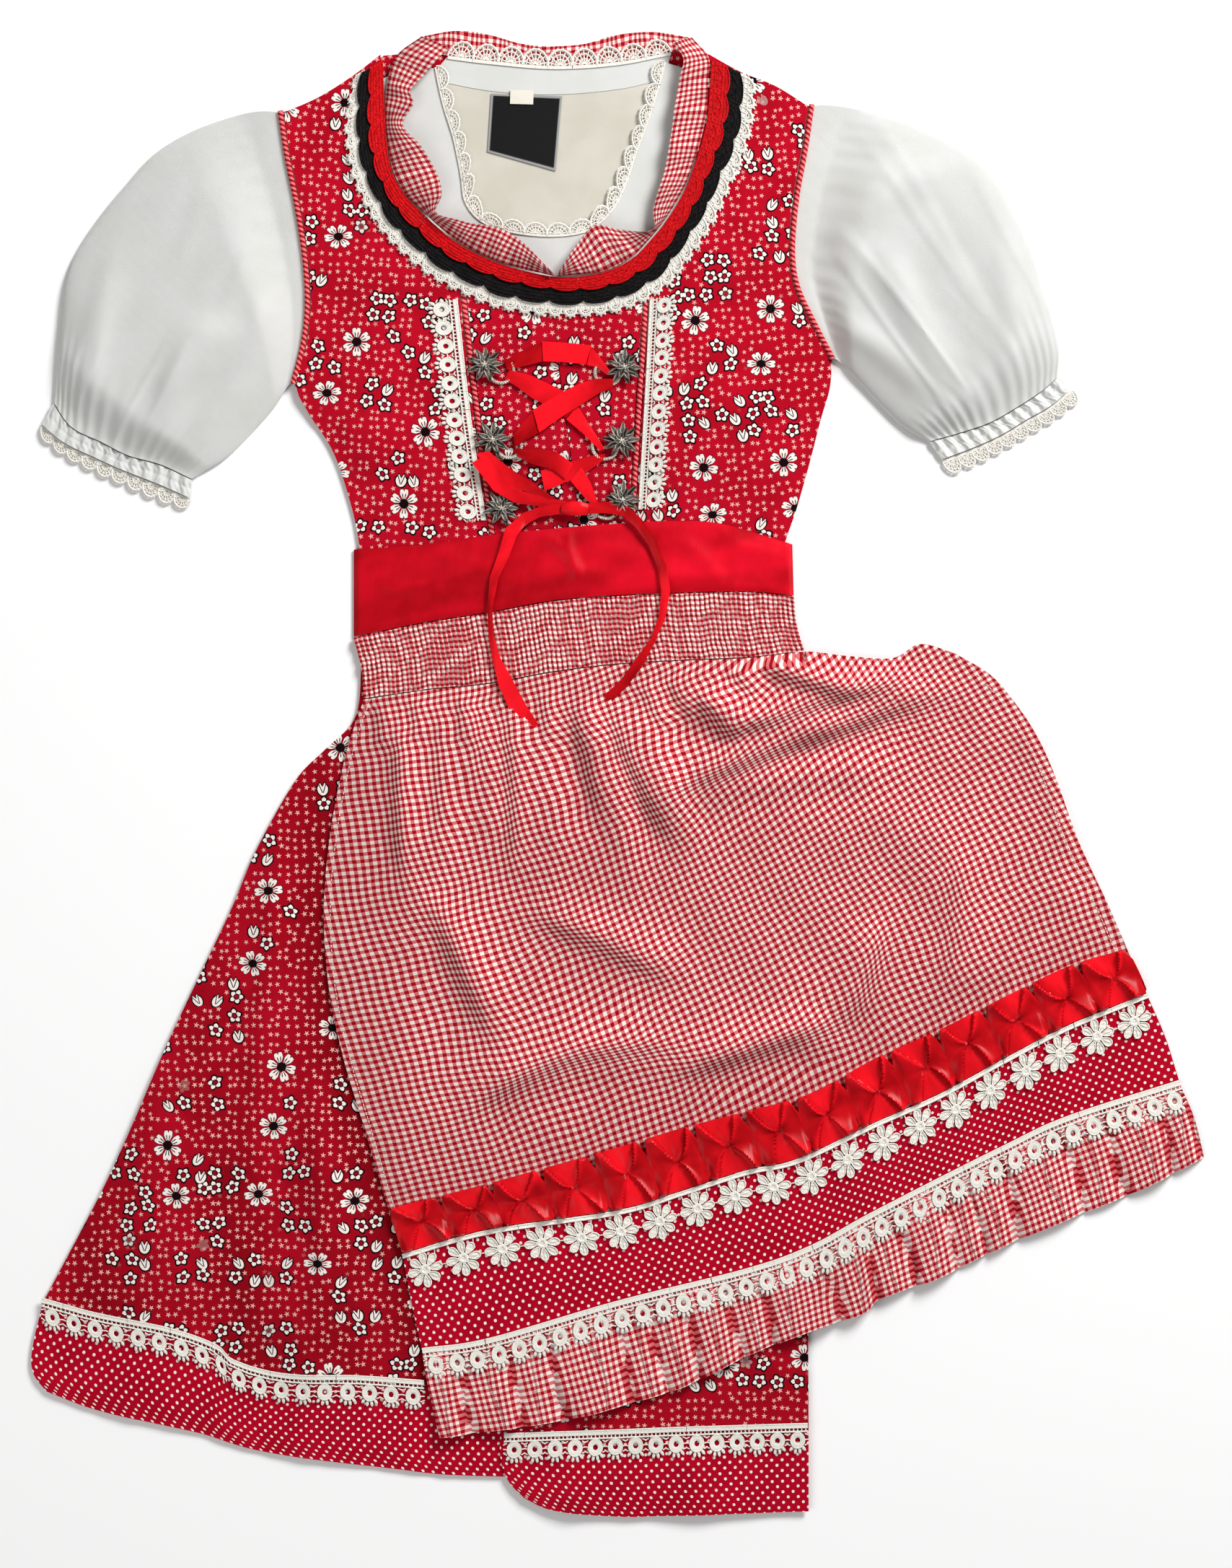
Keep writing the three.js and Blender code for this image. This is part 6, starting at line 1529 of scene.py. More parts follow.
def apron_gathers(x, y):
    below = line_y(YOKE_BOTTOM, x) - y
    reach = 22 + 16 * np.sin(x / 17.0) ** 2
    gather = np.where(x < 150, np.exp(-np.maximum(below, 0) / reach) * smooth(below, 0, 5), 0)
    lines = swell(x / 9.2 + 0.45 * np.sin(x / 23) + below * 0.006 * np.sin(x / 11))
    above = y - line_y(RUCHE_TOP, x)
    foot = np.exp(-np.maximum(above - 4, 0) / 16) * smooth(above, 0, 8)
    feet = swell(x / 15 + 0.4 * np.sin(x / 31))
    return 1.9 * gather * lines**1.3 + 0.8 * foot * feet


def apron_relief(x, y, s, t):
    return apron_flat(x, y) + apron_folds(x, y) * apron_free(x, y) + apron_gathers(x, y)


def apron_painted_shade(x, y, s, t):
    """Painted shade: a little deeper in the hollows beside the folds, on the left side, in a patch near the middle and
    towards the lower right.
    """
    left = 0.17 * smooth(-x, 150, 185)
    centre = 0.16 * np.exp(-(((x + 20) / 62) ** 2) - ((y + 70) / 95) ** 2)
    low = 0.14 * smooth(-y + 0.35 * x, 190, 290)
    return np.clip(0.020 * (3.0 - apron_folds(x, y)) + left + centre + low, 0, 0.36)


def apron_cloth(x, y, s, t):
    """The grain, drawn in across every fold, so that the checks crowd there."""
    dx, dy = apron_drawn(x, y)
    free = apron_free(x, y)
    wander = 0.8 * waves(x, y, 68, 60, 20, 1.4)
    return grain(x + dx * free + wander, y + dy * free + 0.8 * waves(x, y, 69, 60, 70, 1.4))


body = wall(apron_place, apron_relief, even(600, 2.9), even(430, 2.9), cloth=apron_cloth, tone=apron_painted_shade)
body.piece("apron_cloth", GINGHAM, "apron_panel")

dot_place = patch(shifted(SEAM_A, 0, -SEAM), shifted(SEAM_B, 0, HIDDEN_SEAM),
                  [[-167, -374], [-160, -411], [-152, -448]], [[412, -172], [426, -205], [437, -240]])


def dot_relief(x, y, s, t):
    return apron_flat(x, y) + 0.2 * waves(x, y, 63, 24, 60, 0.5) * smooth(np.minimum(t, 1 - t), 0, 0.2)


body = wall(dot_place, dot_relief, even(620, 4), even(72, 4), cloth=along_cloth(622, 72))
body.piece("apron_dot_cloth", DOTTED, "apron_dot_band")

ruffle_place = patch(shifted(SEAM_B, 0, -2 * HIDDEN_SEAM), RUFFLE_FREE, [[-152, -448], [-146, -481], [-138, -515]],
                     [[437, -240], [448, -266], [456, -298]])


RUFFLE_PLEATS = 18


def ruffle_parts(s, t):
    """Which pleat, the place within it from -1 to 1, and how deep it is."""
    phase = RUFFLE_PLEATS * (s + 0.014 * np.sin(19 * s) + 0.009 * np.sin(43 * s + 1)) + 0.05 * np.sin(7 * t + s * 60)
    number = np.floor(phase)
    place = 2 * (phase - number) - 1
    deep = 0.45 + 0.55 * (0.5 + 0.5 * np.sin(number * 2.39 + 0.7))
    return number, place, deep


def ruffle_relief(x, y, s, t):
    number, place, deep = ruffle_parts(s, t)
    lean = 0.35 * np.sin(number * 1.7)
    crest = (1 - np.abs(place) ** 2.6) * (1 + lean * place)
    z = t**0.75 * (1.2 + 7.0 * deep) * crest
    fine = swell(3.0 * RUFFLE_PLEATS * s + 0.5 * np.sin(s * 140))
    return apron_flat(x, y) + z + (1.7 * np.exp(-t / 0.35) + 0.5) * fine * smooth(t, 0, 0.06)


def ruffle_cloth(x, y, s, t):
    _, place, deep = ruffle_parts(s, t)
    crowd = np.where(place > 0, place - 1, place + 1)
    u = s * 640 * 0.98 - (1.8 + 5 * deep) * np.tanh(crowd / 0.22) * (0.5 + 0.5 * t)
    return np.stack([u, t * 60 + 1.2 * deep * place], -1)


def ruffle_painted_shade(x, y, s, t):
    # Painted shade in the valleys of the pleats, deeper towards the free edge in deep pleats, and along the seam.
    _, place, deep = ruffle_parts(s, t)
    valley = hump(1 - np.abs(place), 0, 0.24)
    return np.clip(valley * deep * (0.16 + 0.28 * t) + 0.12 * np.exp(-t / 0.12), 0, 1)


body = wall(ruffle_place, ruffle_relief, even(640, 1.5), steps(24), cloth=ruffle_cloth, tone=ruffle_painted_shade)
body.piece("apron_ruffle_cloth", GINGHAM_FINE, "apron_ruffle")

RUCHE_UNITS = 15
UNIT_WIDE, UNIT_DEEP = 42, 38
ruche_flat = patch(RUCHE_TOP, shifted(SEAM_A, 0, 2), [[-179, -338], [-172, -356], [-167, -372]],
                   [[396, -136], [405, -153], [412, -170]])


def ruche_place(s, t):
    """Small notches open at the upper edge between the bows, and smaller ones below."""
    unit = (s * RUCHE_UNITS) % 1
    near = np.minimum(unit, 1 - unit)
    upper, lower = 0.24 * np.clip(1 - near / 0.085, 0, 1), 0.07 * np.clip(1 - near / 0.06, 0, 1)
    return ruche_flat(s, upper + t * (1 - upper - lower))


def ruche_parts(s, t):
    """In each unit two cupped loops either side of a pinch, between flat parts of the ribbon."""
    number = np.floor(s * RUCHE_UNITS)
    unit = (s * RUCHE_UNITS) % 1
    a = (unit - 0.5) * UNIT_WIDE - 1.5 * np.sin(number * 2.1)
    b = (0.5 - t) * UNIT_DEEP - 1.5 * np.cos(number * 1.7)
    side = np.where(a > 0, 1.0, -1.0) * np.where(b > 0, 2.0, 1.0)
    size = 14.5 + 3.0 * np.sin(number * 1.9 + side * 2.4)
    arc_at = 19.0 * (np.abs(a) / size) ** (1.65 + 0.6 * np.sin(number * 1.3 + side)) + 0.4
    q = np.abs(b) / arc_at
    out = np.clip(np.abs(a) / size, 0, 1.25)
    return number, a, b, side, q, out


def ruche_relief(x, y, s, t):
    number, a, b, _, q, out = ruche_parts(s, t)
    valley = 1 - smooth(np.abs(a), 16.5, 21) * 0.75
    cup = (0.5 + 6.0 * out**0.8 * np.clip(q, 0, 1) ** 1.4) * (1 - smooth(q, 0.98, 1.10)) * valley
    crease = 0.35 * np.sin(np.arctan2(b, a) * 9 + number * 2) * np.exp(-np.hypot(a, b) / 12)
    flat_part = 0.9 + 0.5 * np.sin(a * 0.22 + b * 0.18 + number) - 0.9 * np.exp(-np.hypot(a, b) / 4)
    edge = smooth(np.minimum(t, 1 - t), 0, 0.04)
    return apron_flat(x, y) + ON_CLOTH + 1.4 + flat_part + (cup + crease) * (0.5 + 0.5 * edge)


def ruche_painted_shade(x, y, s, t):
    """Painted shade in the hollows, on the flat parts, beyond the rims and at the pinch; painted light on the
    turned-up rims, brighter on some loops than others.
    """
    number, a, b, side, q, out = ruche_parts(s, t)
    inside = 1 - smooth(q, 0.98, 1.08)
    rim = smooth(q, 0.45, 0.95)
    bright = 0.5 + 0.5 * np.sin(number * 2.7 + side * 1.3)
    cup = blend(0.70, 0.32 * (1 - bright), rim)
    shadow = hump(q, 1.14, 0.12) * smooth(out, 0.1, 0.4)
    flat_part = 0.27 + 0.16 * np.sin(number * 1.3 + a * 0.16) + 0.45 * shadow
    pinch = np.exp(-np.hypot(a, b) / 3.5)
    return np.clip(blend(flat_part, cup, inside) + 0.5 * pinch, 0, 1)


ruche_columns = steps(RUCHE_UNITS * 36 + 1)
body = wall(ruche_place, ruche_relief, ruche_columns, steps(37),
            inside=lambda x, y, s, t: apron_flat(x, y) + ON_CLOTH, cloth=along_cloth(640, UNIT_DEEP), tone=ruche_painted_shade)
body.piece("ruche_satin", SATIN, "apron_ruche")


# ---------- lace templates: u along one repeat, v in mm of depth, z in mm ----------
def strip(v1, z0, z1, count=6):
    """A flat heading from v = 0 to v1."""
    upper = np.concatenate([np.column_stack([steps(count), np.full(count, v), np.full(count, z1)]) for v in (0, v1)])
    lower = upper.copy()
    lower[:, 2] = z0
    return np.vstack([upper, lower]), shell_faces(count, 2)[:, ::-1].tolist()


def rail(v, z, radius, count=6):
    """A cord along the whole repeat."""
    return tube_mesh(np.column_stack([steps(count), np.full(count, v), np.full(count, z)]), radius, 5)


def template(headings, units, pitch):
    """Headings already run from 0 to 1 along u; the units are drawn in mm."""
    scaled = [(points / [pitch, 1, 1], faces) for points, faces in units]
    return merged([*headings, *scaled])


def oval(cx, cy, rx, ry, count, angle=0.0):
    turn = np.linspace(0, 2 * math.pi, count, endpoint=False)
    x, y = rx * np.cos(turn), ry * np.sin(turn)
    c, q = math.cos(angle), math.sin(angle)
    return np.column_stack([cx + x * c - y * q, cy + x * q + y * c])


def torus(cx, cy, r_out, r_in, height, count=22, sides=8, z=0.0):
    mid, half = (r_out + r_in) / 2, (r_out - r_in) / 2
    return tube_mesh(arc(cx, cy, mid, mid, 0, 360, count + 1, z)[:-1], half, sides, closed=True, flat=height / half)


def thread(start, end, radius, sides=4):
    return tube_mesh([start, end], radius, sides)


def ring_template(pitch, depth, heading=4.4, radius=6.0):
    """Heading with a ladder of holes, then a ring with a small eye, linking arcs and four picots."""
    cx, cy = pitch / 2, heading + 1.5 + radius * 0.98
    headings = [strip(heading * 0.8, -0.9, -0.05, 5)]
    headings += [rail(heading * share, -0.1, 0.42) for share in (0.12, 0.7)]
    units = []
    for k in range(5):
        x = pitch * (k + 0.5) / 5
        units.append(thread([x, heading * 0.66, -0.5], [x, heading + 1.3, -0.45], 0.5))
    units.append(torus(cx, cy, radius, radius * 0.32, 0.7, 20, 7, -0.35))
    units.append(torus(cx, cy, radius, radius * 0.82, 0.5, 20, 5, 0.05))
    for dy, bow in ((-3.4, -1.2), (-0.6, 0.4), (2.2, 1.4)):
        level = cy + dy + bow
        units.append(thread([-0.6, cy + dy, -0.45], [cx - radius * 0.92, level, -0.35], 0.42))
        units.append(thread([cx + radius * 0.92, level, -0.35], [pitch + 0.6, cy + dy, -0.45], 0.42))
    for a in np.radians((50, 77, 103, 130)):
        far = radius + 1.6
        picot = oval(cx + math.cos(a) * far, cy + math.sin(a) * far, 2.1, 1.2, 10, a)
        units.append(dome_mesh(picot, 0.6, -0.6, 2, dip=0.35))
    units.append(thread([0, heading + 1.3, -0.45], [pitch, heading + 1.3, -0.45], 0.65, 5))
    points, faces = template(headings, units, pitch)
    return points * [1, depth / (cy + radius + 3.6), 1], faces


def daisy_template(pitch, depth):
    """A heading with two cords, then a daisy of eight grooved petals round an eye."""
    headings = [strip(3.6, -1.3, -0.1), rail(0.6, 0.0, 0.6, 8), rail(3.2, 0.0, 0.6, 8)]
    units = []
    cx, cy = pitch / 2, depth * 0.565
    reach = depth * 0.475
    for k in range(8):
        c, q = math.cos(k * math.pi / 4), math.sin(k * math.pi / 4)
        u = np.linspace(0, 2 * math.pi, 18, endpoint=False)
        r = reach * (0.62 + 0.37 * np.cos(u))
        w = reach * 0.25 * np.sin(u) * (0.62 + 0.38 * smooth(np.cos(u), -0.9, 0.7))
        outline = np.column_stack([cx + r * c - w * q, cy + r * q + w * c])
        units.append(dome_mesh(outline, 0.9, -1.0, 3, dip=0.6))
        middle = np.array([cx + reach * 0.62 * c, cy + reach * 0.62 * q])
        rim = np.column_stack([blend(middle, outline, 0.9), np.full(18, -0.05)])
        units.append(tube_mesh(rim, 0.5, 5, closed=True, flat=0.8))
        groove = [[cx + c * reach * far, cy + q * reach * far, z] for far, z in ((0.42, -0.1), (0.84, -0.2))]
        units.append(thread(*groove, 0.3))
    units.append(torus(cx, cy, reach * 0.30, reach * 0.10, 0.9, 18, 6, -0.3))
    units.append(dome_mesh(oval(cx, cy, reach * 0.13, reach * 0.13, 10), 0.5, -0.8, 2))
    for k in (-3, -1):
        a = k * math.pi / 4
        x, y = cx + math.cos(a) * reach * 0.95, cy + math.sin(a) * reach * 0.95
        units.append(thread([x, y, -0.6], [x * 0.5 + cx * 0.5 + (x - cx) * 0.6, 2.6, -0.6], 0.42, 5))
    for side in (-1, 1):
        x = cx + side * reach
        units.append(thread([x - side * 0.3, cy, -0.6], [cx + side * pitch / 2, cy, -0.6], 0.42, 5))
    return template(headings, units, pitch)


def fan_template(pitch, depth):
    """A scallop of radial spokes between arc rails, with small loops on its free edge."""
    cx, v0 = pitch / 2, depth * 0.16
    far = depth - v0
    units = []
    for share, thick in ((0.36, 0.5), (0.64, 0.5), (0.92, 0.85)):
        units.append(tube_mesh(arc(cx, v0, pitch * 0.53 * share / 0.92, far * share, 0, 180, 12, -0.35), thick, 4))
    for k in range(7):
        c, q = math.cos(math.radians(12 + 26 * k)), math.sin(math.radians(12 + 26 * k))
        end = [cx + c * pitch * 0.51, v0 + q * far * 0.9, -0.4]
        units.append(thread([cx + c * 1.0, v0 + q * 0.6, -0.4], end, 0.5))
    for k in range(6):
        a = math.radians(25 + 26 * k)
        loop = oval(cx + math.cos(a) * pitch * 0.50, v0 + math.sin(a) * far * 0.93, 1.4, 1.1, 8, a)
        units.append(dome_mesh(loop, 0.5, -0.6, 2, dip=0.3))
    return template([strip(v0, -0.9, -0.25, 4)], units, pitch)


def braid_template(pitch, depth):
    """A dense looped braid: a thick heading, cords along it and one full scallop a repeat."""
    headings = [strip(depth * 0.80, -0.95, -0.05, 4)]
    headings += [rail(depth * share, 0.05, 0.5) for share in (0.05, 0.24, 0.44, 0.62, 0.78)]
    cx = pitch / 2
    outline = np.vstack([arc(cx, depth * 0.74, pitch * 0.50, depth * 0.25, 0, 180, 10)[:, :2],
                         [[cx - pitch * 0.5, depth * 0.6], [cx + pitch * 0.5, depth * 0.6]]])
    units = [
        dome_mesh(outline, 0.45, -0.6, 2, dip=0.3),
        tube_mesh(arc(cx, depth * 0.72, pitch * 0.46, depth * 0.24, 0, 180, 9, 0.0), 0.75 * 0.9, 5),
        tube_mesh(arc(cx, depth * 0.34, pitch * 0.30, depth * 0.30, 0, 180, 7, 0.1), 0.75 * 0.8, 4),
    ]
    for k in range(4):
        x = pitch * (k + 0.5) / 4
        units.append(thread([x - 0.7, depth * 0.08, 0.05], [x + 0.7, depth * 0.56, 0.05], 0.42))
    return template(headings, units, pitch)


def neck_template(pitch, depth):
    """Gathered cotton lace: a folded heading and one open pointed scallop a repeat."""
    headings = [strip(depth * 0.60, -0.95, -0.05, 4)]
    headings += [rail(depth * share, 0.0, 0.5) for share in (0.06, 0.30, 0.56)]
    units = []
    cx = pitch / 2
    for k in range(3):
        x = pitch * (k + 0.5) / 3
        units.append(thread([x - 0.5, depth * 0.06, 0.1], [x + 0.6, depth * 0.5, 0.0], 0.55))
    units.append(tube_mesh(arc(cx, depth * 0.5, pitch * 0.40, depth * 0.40, 0, 180, 10, -0.2), 1.3, 5))
    units.append(tube_mesh(arc(cx, depth * 0.5, pitch * 0.20, depth * 0.2, 0, 180, 7, -0.2), 0.6, 4))
    for a in (30, 60, 90, 120, 150):
        c, q = math.cos(math.radians(a)), math.sin(math.radians(a))
        units.append(thread([cx + c * pitch * 0.2, depth * (0.5 + 0.2 * q), -0.25],
                            [cx + c * pitch * 0.44, depth * (0.5 + 0.42 * q), -0.25], 0.45))
        tip = oval(cx + c * pitch * 0.47, depth * (0.5 + 0.47 * q), 1.7, 1.0, 8, math.radians(a))
        units.append(dome_mesh(tip, 0.6, -0.5, 2))
    return template(headings, units, pitch)


def lace(name, node, head, free, repeats, made_of, surface, lift, net=IVORY, grow=0.0):
    """A lace between two lines; it rises by grow towards its free edge."""
    depth = float(np.sqrt(((along(head)(steps(9)) - along(free)(steps(9))) ** 2).sum(1)).mean())
    made = made_of(length_of(head) / repeats, depth)
    top = lambda x, y, s, t: surface(x, y) + lift + grow * t
    repeat_trim(between(head, free), top, repeats, made, depth, len(name)).piece(name, net, node, sharp=60)


ON_BODICE = 1.55
hem_head = HEM_SEAM_LEFT[:8]
for name, node, *rest in (
    ("hem_lace_left_rings", "hem_lace_left", shifted(hem_head, 0, 5), shifted(hem_head, 0, -19), 18,
     ring_template, skirt_top, OVER_FOLDS + 1.0),
    ("hem_lace_right_rings", "hem_lace_right", PLEAT_LACE_HEAD, shifted(PLEAT_LACE_HEAD, 0, -24), 15,
     ring_template, pleat_top, OVER_FOLDS + 1.0),
    ("bodice_lace_left_rings", "bodice_lace_left", [[-124, 368], [-114, 280], [-102, 197]],
     [[-148, 366], [-138, 280], [-126, 196]], 12, ring_template, bodice_top, ON_BODICE),
    ("bodice_lace_right_rings", "bodice_lace_right", [[25, 368], [21, 290], [16, 205]],
     [[46, 372], [42, 290], [37, 206]], 12, ring_template, bodice_top, ON_BODICE),
    ("neck_lace_white_rings", "neck_lace_white", NECK_WHITE_IN, NECK_WHITE_OUT, 46, neck_template, bodice_top,
     ON_BODICE),
    ("neck_lace_black_scallops", "neck_lace_black", NECK_BLACK_IN, NECK_BLACK_OUT, 20, braid_template, bodice_top,
     ON_BODICE, BLACK_LACE, 1.9),
    ("neck_lace_red_scallops", "neck_lace_red", NECK_RED_IN, NECK_RED_OUT, 22, braid_template, bodice_top,
     ON_BODICE, RED_LACE, 2.1),
    ("collar_lace_fans", "collar_lace", shifted(COLLAR_TOP, 0, -2), COLLAR_LACE_TOP, 9, fan_template,
     level(UNDER_THIRD), 1.55),
    ("blouse_lace_fans", "blouse_neck_lace", BLOUSE_NECK, BLOUSE_LACE_FREE, 20, fan_template,
     level(UNDER_FOURTH), 1.2),
    ("cuff_lace_left_fans", "cuff_lace_left", toward(CUFF_FREE_LEFT, CUFF_LACE_LEFT, 0.06), CUFF_LACE_LEFT, 10,
     fan_template, level(UNDER_SECOND), 1.0),
    ("cuff_lace_right_fans", "cuff_lace_right", toward(CUFF_FREE_RIGHT, CUFF_LACE_RIGHT, 0.06), CUFF_LACE_RIGHT, 10,
     fan_template, level(UNDER_SECOND), 1.0),
    ("daisy_lace", "apron_daisy_lace", shifted(SEAM_A, 0, 1.2), DAISY_FREE, 20, daisy_template, apron_flat, 1.95),
    ("apron_ring_lace_rings", "apron_ring_lace", shifted(SEAM_B, 0, 2), RING_FREE, 38, ring_template, apron_flat,
     1.55, IVORY, 3.5),
):
    lace(name, node, *rest)


# ---------- hooks: three rings of narrow petals, a beaded heart and a rope loop ----------
# Across a petal: side and height, then how deep in tone.
PETAL_SECTION = ((-1, -0.1), (-0.75, 0.55), (-0.3, -0.25), (0, 0.1), (0.3, -0.25), (0.75, 0.55), (1, -0.1))
PETAL_TONES = (0.9, 0.0, 1.0, 0.9, 1.0, 0.0, 0.9)


def hook_petals(body, x, y, base, seed):
    """Three rings of narrow pointed petals with bright edges and a dark groove."""
    rng = np.random.default_rng(seed)
    for count, reach, wide, low, high, start in ((9, 15.8, 2.2, 2.6, 3.6, 0.1), (8, 11.4, 2.0, 4.4, 5.8, 0.45),
                                                 (6, 6.6, 1.5, 5.6, 7.6, 0.2)):
        for k in range(count):
            a = 2 * math.pi * (k + start) / count + rng.normal() * 0.09
            far = reach * rng.uniform(0.86, 1.0)
            out = np.linspace(0.12, 1, 8)
            half = wide * np.sin(np.clip(out * 1.05, 0, 1) * math.pi) ** 0.6 + 0.14
            half[-1] = 0.1
            lift = rng.uniform(-0.4, 0.8)
            z = base + low + (high - low) * (1 - out) + (1.3 + lift) * np.sin(out * 2.2)
            c, q = math.cos(a), math.sin(a)
            points = np.array([[share * far, side * w, zz + up] for share, w, zz in zip(out, half, z)
                               for side, up in PETAL_SECTION])
            both = np.vstack([points, points - [0, 0, 0.6]])
            px, py, pz = both.T
            turned = np.column_stack([x + px * c - py * q, y + px * q + py * c, pz])
            near_heart = np.repeat(1 - smooth(out, 0.1, 0.5), 7)
            deep = np.tile(PETAL_TONES, 8) * 0.9 + (0.55 if k % 3 == 1 else 0.0) + near_heart * 0.6
            tones = np.concatenate([np.clip(deep, 0, 1), np.ones(len(points))])
            body.add(turned, shell_faces(7, 8), turned[:, :2], tones)


def ball(body, x, y, z, r, tone=0.0):
    rows = np.radians(np.linspace(-90, 90, 6))
    cols = np.linspace(0, 2 * math.pi, 9)[:-1]
    points = [[x + r * math.cos(e) * math.cos(a), y + r * math.cos(e) * math.sin(a), z + r * math.sin(e)]
              for e in rows[1:-1] for a in cols]
    points += [[x, y, z - r], [x, y, z + r]]
    faces = ring_faces(4, 8)
    for i in range(8):
        k = (i + 1) % 8
        faces += [[32, k, i], [33, 24 + i, 24 + k]]
    body.add(points, faces, tone=tone)


def rope(body, line, radius):
    d = heading_of(line)
    side = np.stack([-d[:, 1], d[:, 0], np.zeros(len(line))], 1)
    for strand in (0, math.pi):
        turn = run_along(line) / 3.6 * 2 * math.pi + strand
        core = line + side * (np.cos(turn) * radius * 0.5)[:, None]
        core[:, 2] += np.sin(turn) * radius * 0.5
        body.add(*tube_mesh(core, radius * 0.56, 7), tone=0.15)


HOOKS = [
    ("hook_left_upper", -103, 317, 1), ("hook_left_middle", -97, 259, 1), ("hook_left_lower", -90, 206, 1),
    ("hook_right_upper", 5, 315, -1), ("hook_right_middle", 3, 258, -1), ("hook_right_lower", 4, 212, -1),
]
for number, (node, x, y, side) in enumerate(HOOKS):
    base = float(bodice_top(np.array(x), np.array(y)))
    body = Body()
    hook_petals(body, x, y, base, 70 + number)
    for k in range(5):
        a = k * math.pi / 2.5 + 0.3
        ball(body, x + 1.7 * math.cos(a), y + 1.7 * math.sin(a), base + 7.4, 1.05, 0.1)
    ball(body, x, y, base + 7.9, 1.2, 0.0)
    body.add(*dome_mesh(oval(x, y, 5.5, 5.5, 20), 3.6, base + 1.2, 3), tone=1.0)
    cx, cy = x + side * 12.5, y - 4
    share = np.linspace(0, 1, 60)
    angle = -math.pi * (0.95 - 1.15 * share) * side + (math.pi if side < 0 else 0)
    rope(body, np.column_stack([cx + 10 * np.cos(angle), cy + 10 * np.sin(angle), np.full(60, base + 1.95)]), 1.4)
    body.piece(f"{node}_edelweiss", SILVER, node, sharp=30)


# ---------- lacing ----------
RIBBON_THICKNESS, RIBBON_CELL, RIBBON_WIDTH, RIBBON_POINTS = 0.6, 1.6, 15, 9


def ribbon(body, stations, surface, crown):
    """A flat run of ribbon: stations hold both edges, the lift at each edge and a tone of painted shade."""
    p = np.array(stations, float)
    middle = (p[:, :2] + p[:, 2:4]) / 2
    knots = run_along(middle)
    count = max(12, int(knots[-1] / RIBBON_CELL))
    share = np.union1d(np.linspace(0, knots[-1], count), knots)
    count = len(share)
    kernel = np.array([1, 2, 1]) / 4
    ease = lambda v: np.convolve(np.concatenate([v[:1], v, v[-1:]]), kernel, "valid")
    ax, ay, bx, by, lift_a, lift_b, tone = [ease(np.interp(share, knots, column)) for column in p.T]
    across = steps(RIBBON_POINTS)
    base = surface((ax + bx) / 2, (ay + by) / 2)
    rng = np.random.default_rng(len(stations) * 7 + int(abs(stations[0][0])))
    phase, beat = rng.uniform(0, 6.3), rng.uniform(4, 8)
    x = blend(ax[:, None], bx[:, None], across)
    y = blend(ay[:, None], by[:, None], across)
    ripple = 0.22 * np.sin(share[:, None] / beat + phase + 2.2 * across) * np.sin(math.pi * across)
    z = base[:, None] + blend(lift_a[:, None], lift_b[:, None], across) + crown * 4 * across * (1 - across) + ripple
    upper = np.stack([x, y, z + RIBBON_THICKNESS], -1)
    under = upper - [0, 0, RIBBON_THICKNESS]
    faces = shell_faces(RIBBON_POINTS, count)
    along_x, along_y = bx[-1] + ax[-1] - bx[0] - ax[0], by[-1] + ay[-1] - by[0] - ay[0]
    if (bx[0] - ax[0]) * along_y - (by[0] - ay[0]) * along_x < 0:
        faces = faces[:, ::-1]
    cloth = np.stack(np.broadcast_arrays(share[:, None], across[None] * RIBBON_WIDTH), -1)
    # Painted shade from each station's tone, with one edge a little lighter than the other in slow turns.
    shade = np.clip(tone[:, None] + 0.25 * (across - 0.5) * np.sin(share[:, None] / 21 + phase), 0, 1)
    body.run += float(knots[-1]) * MM
    body.add(np.vstack([upper.reshape(-1, 3), under.reshape(-1, 3)]), faces,
             np.vstack([cloth.reshape(-1, 2)] * 2), np.tile(shade.reshape(-1), 2))


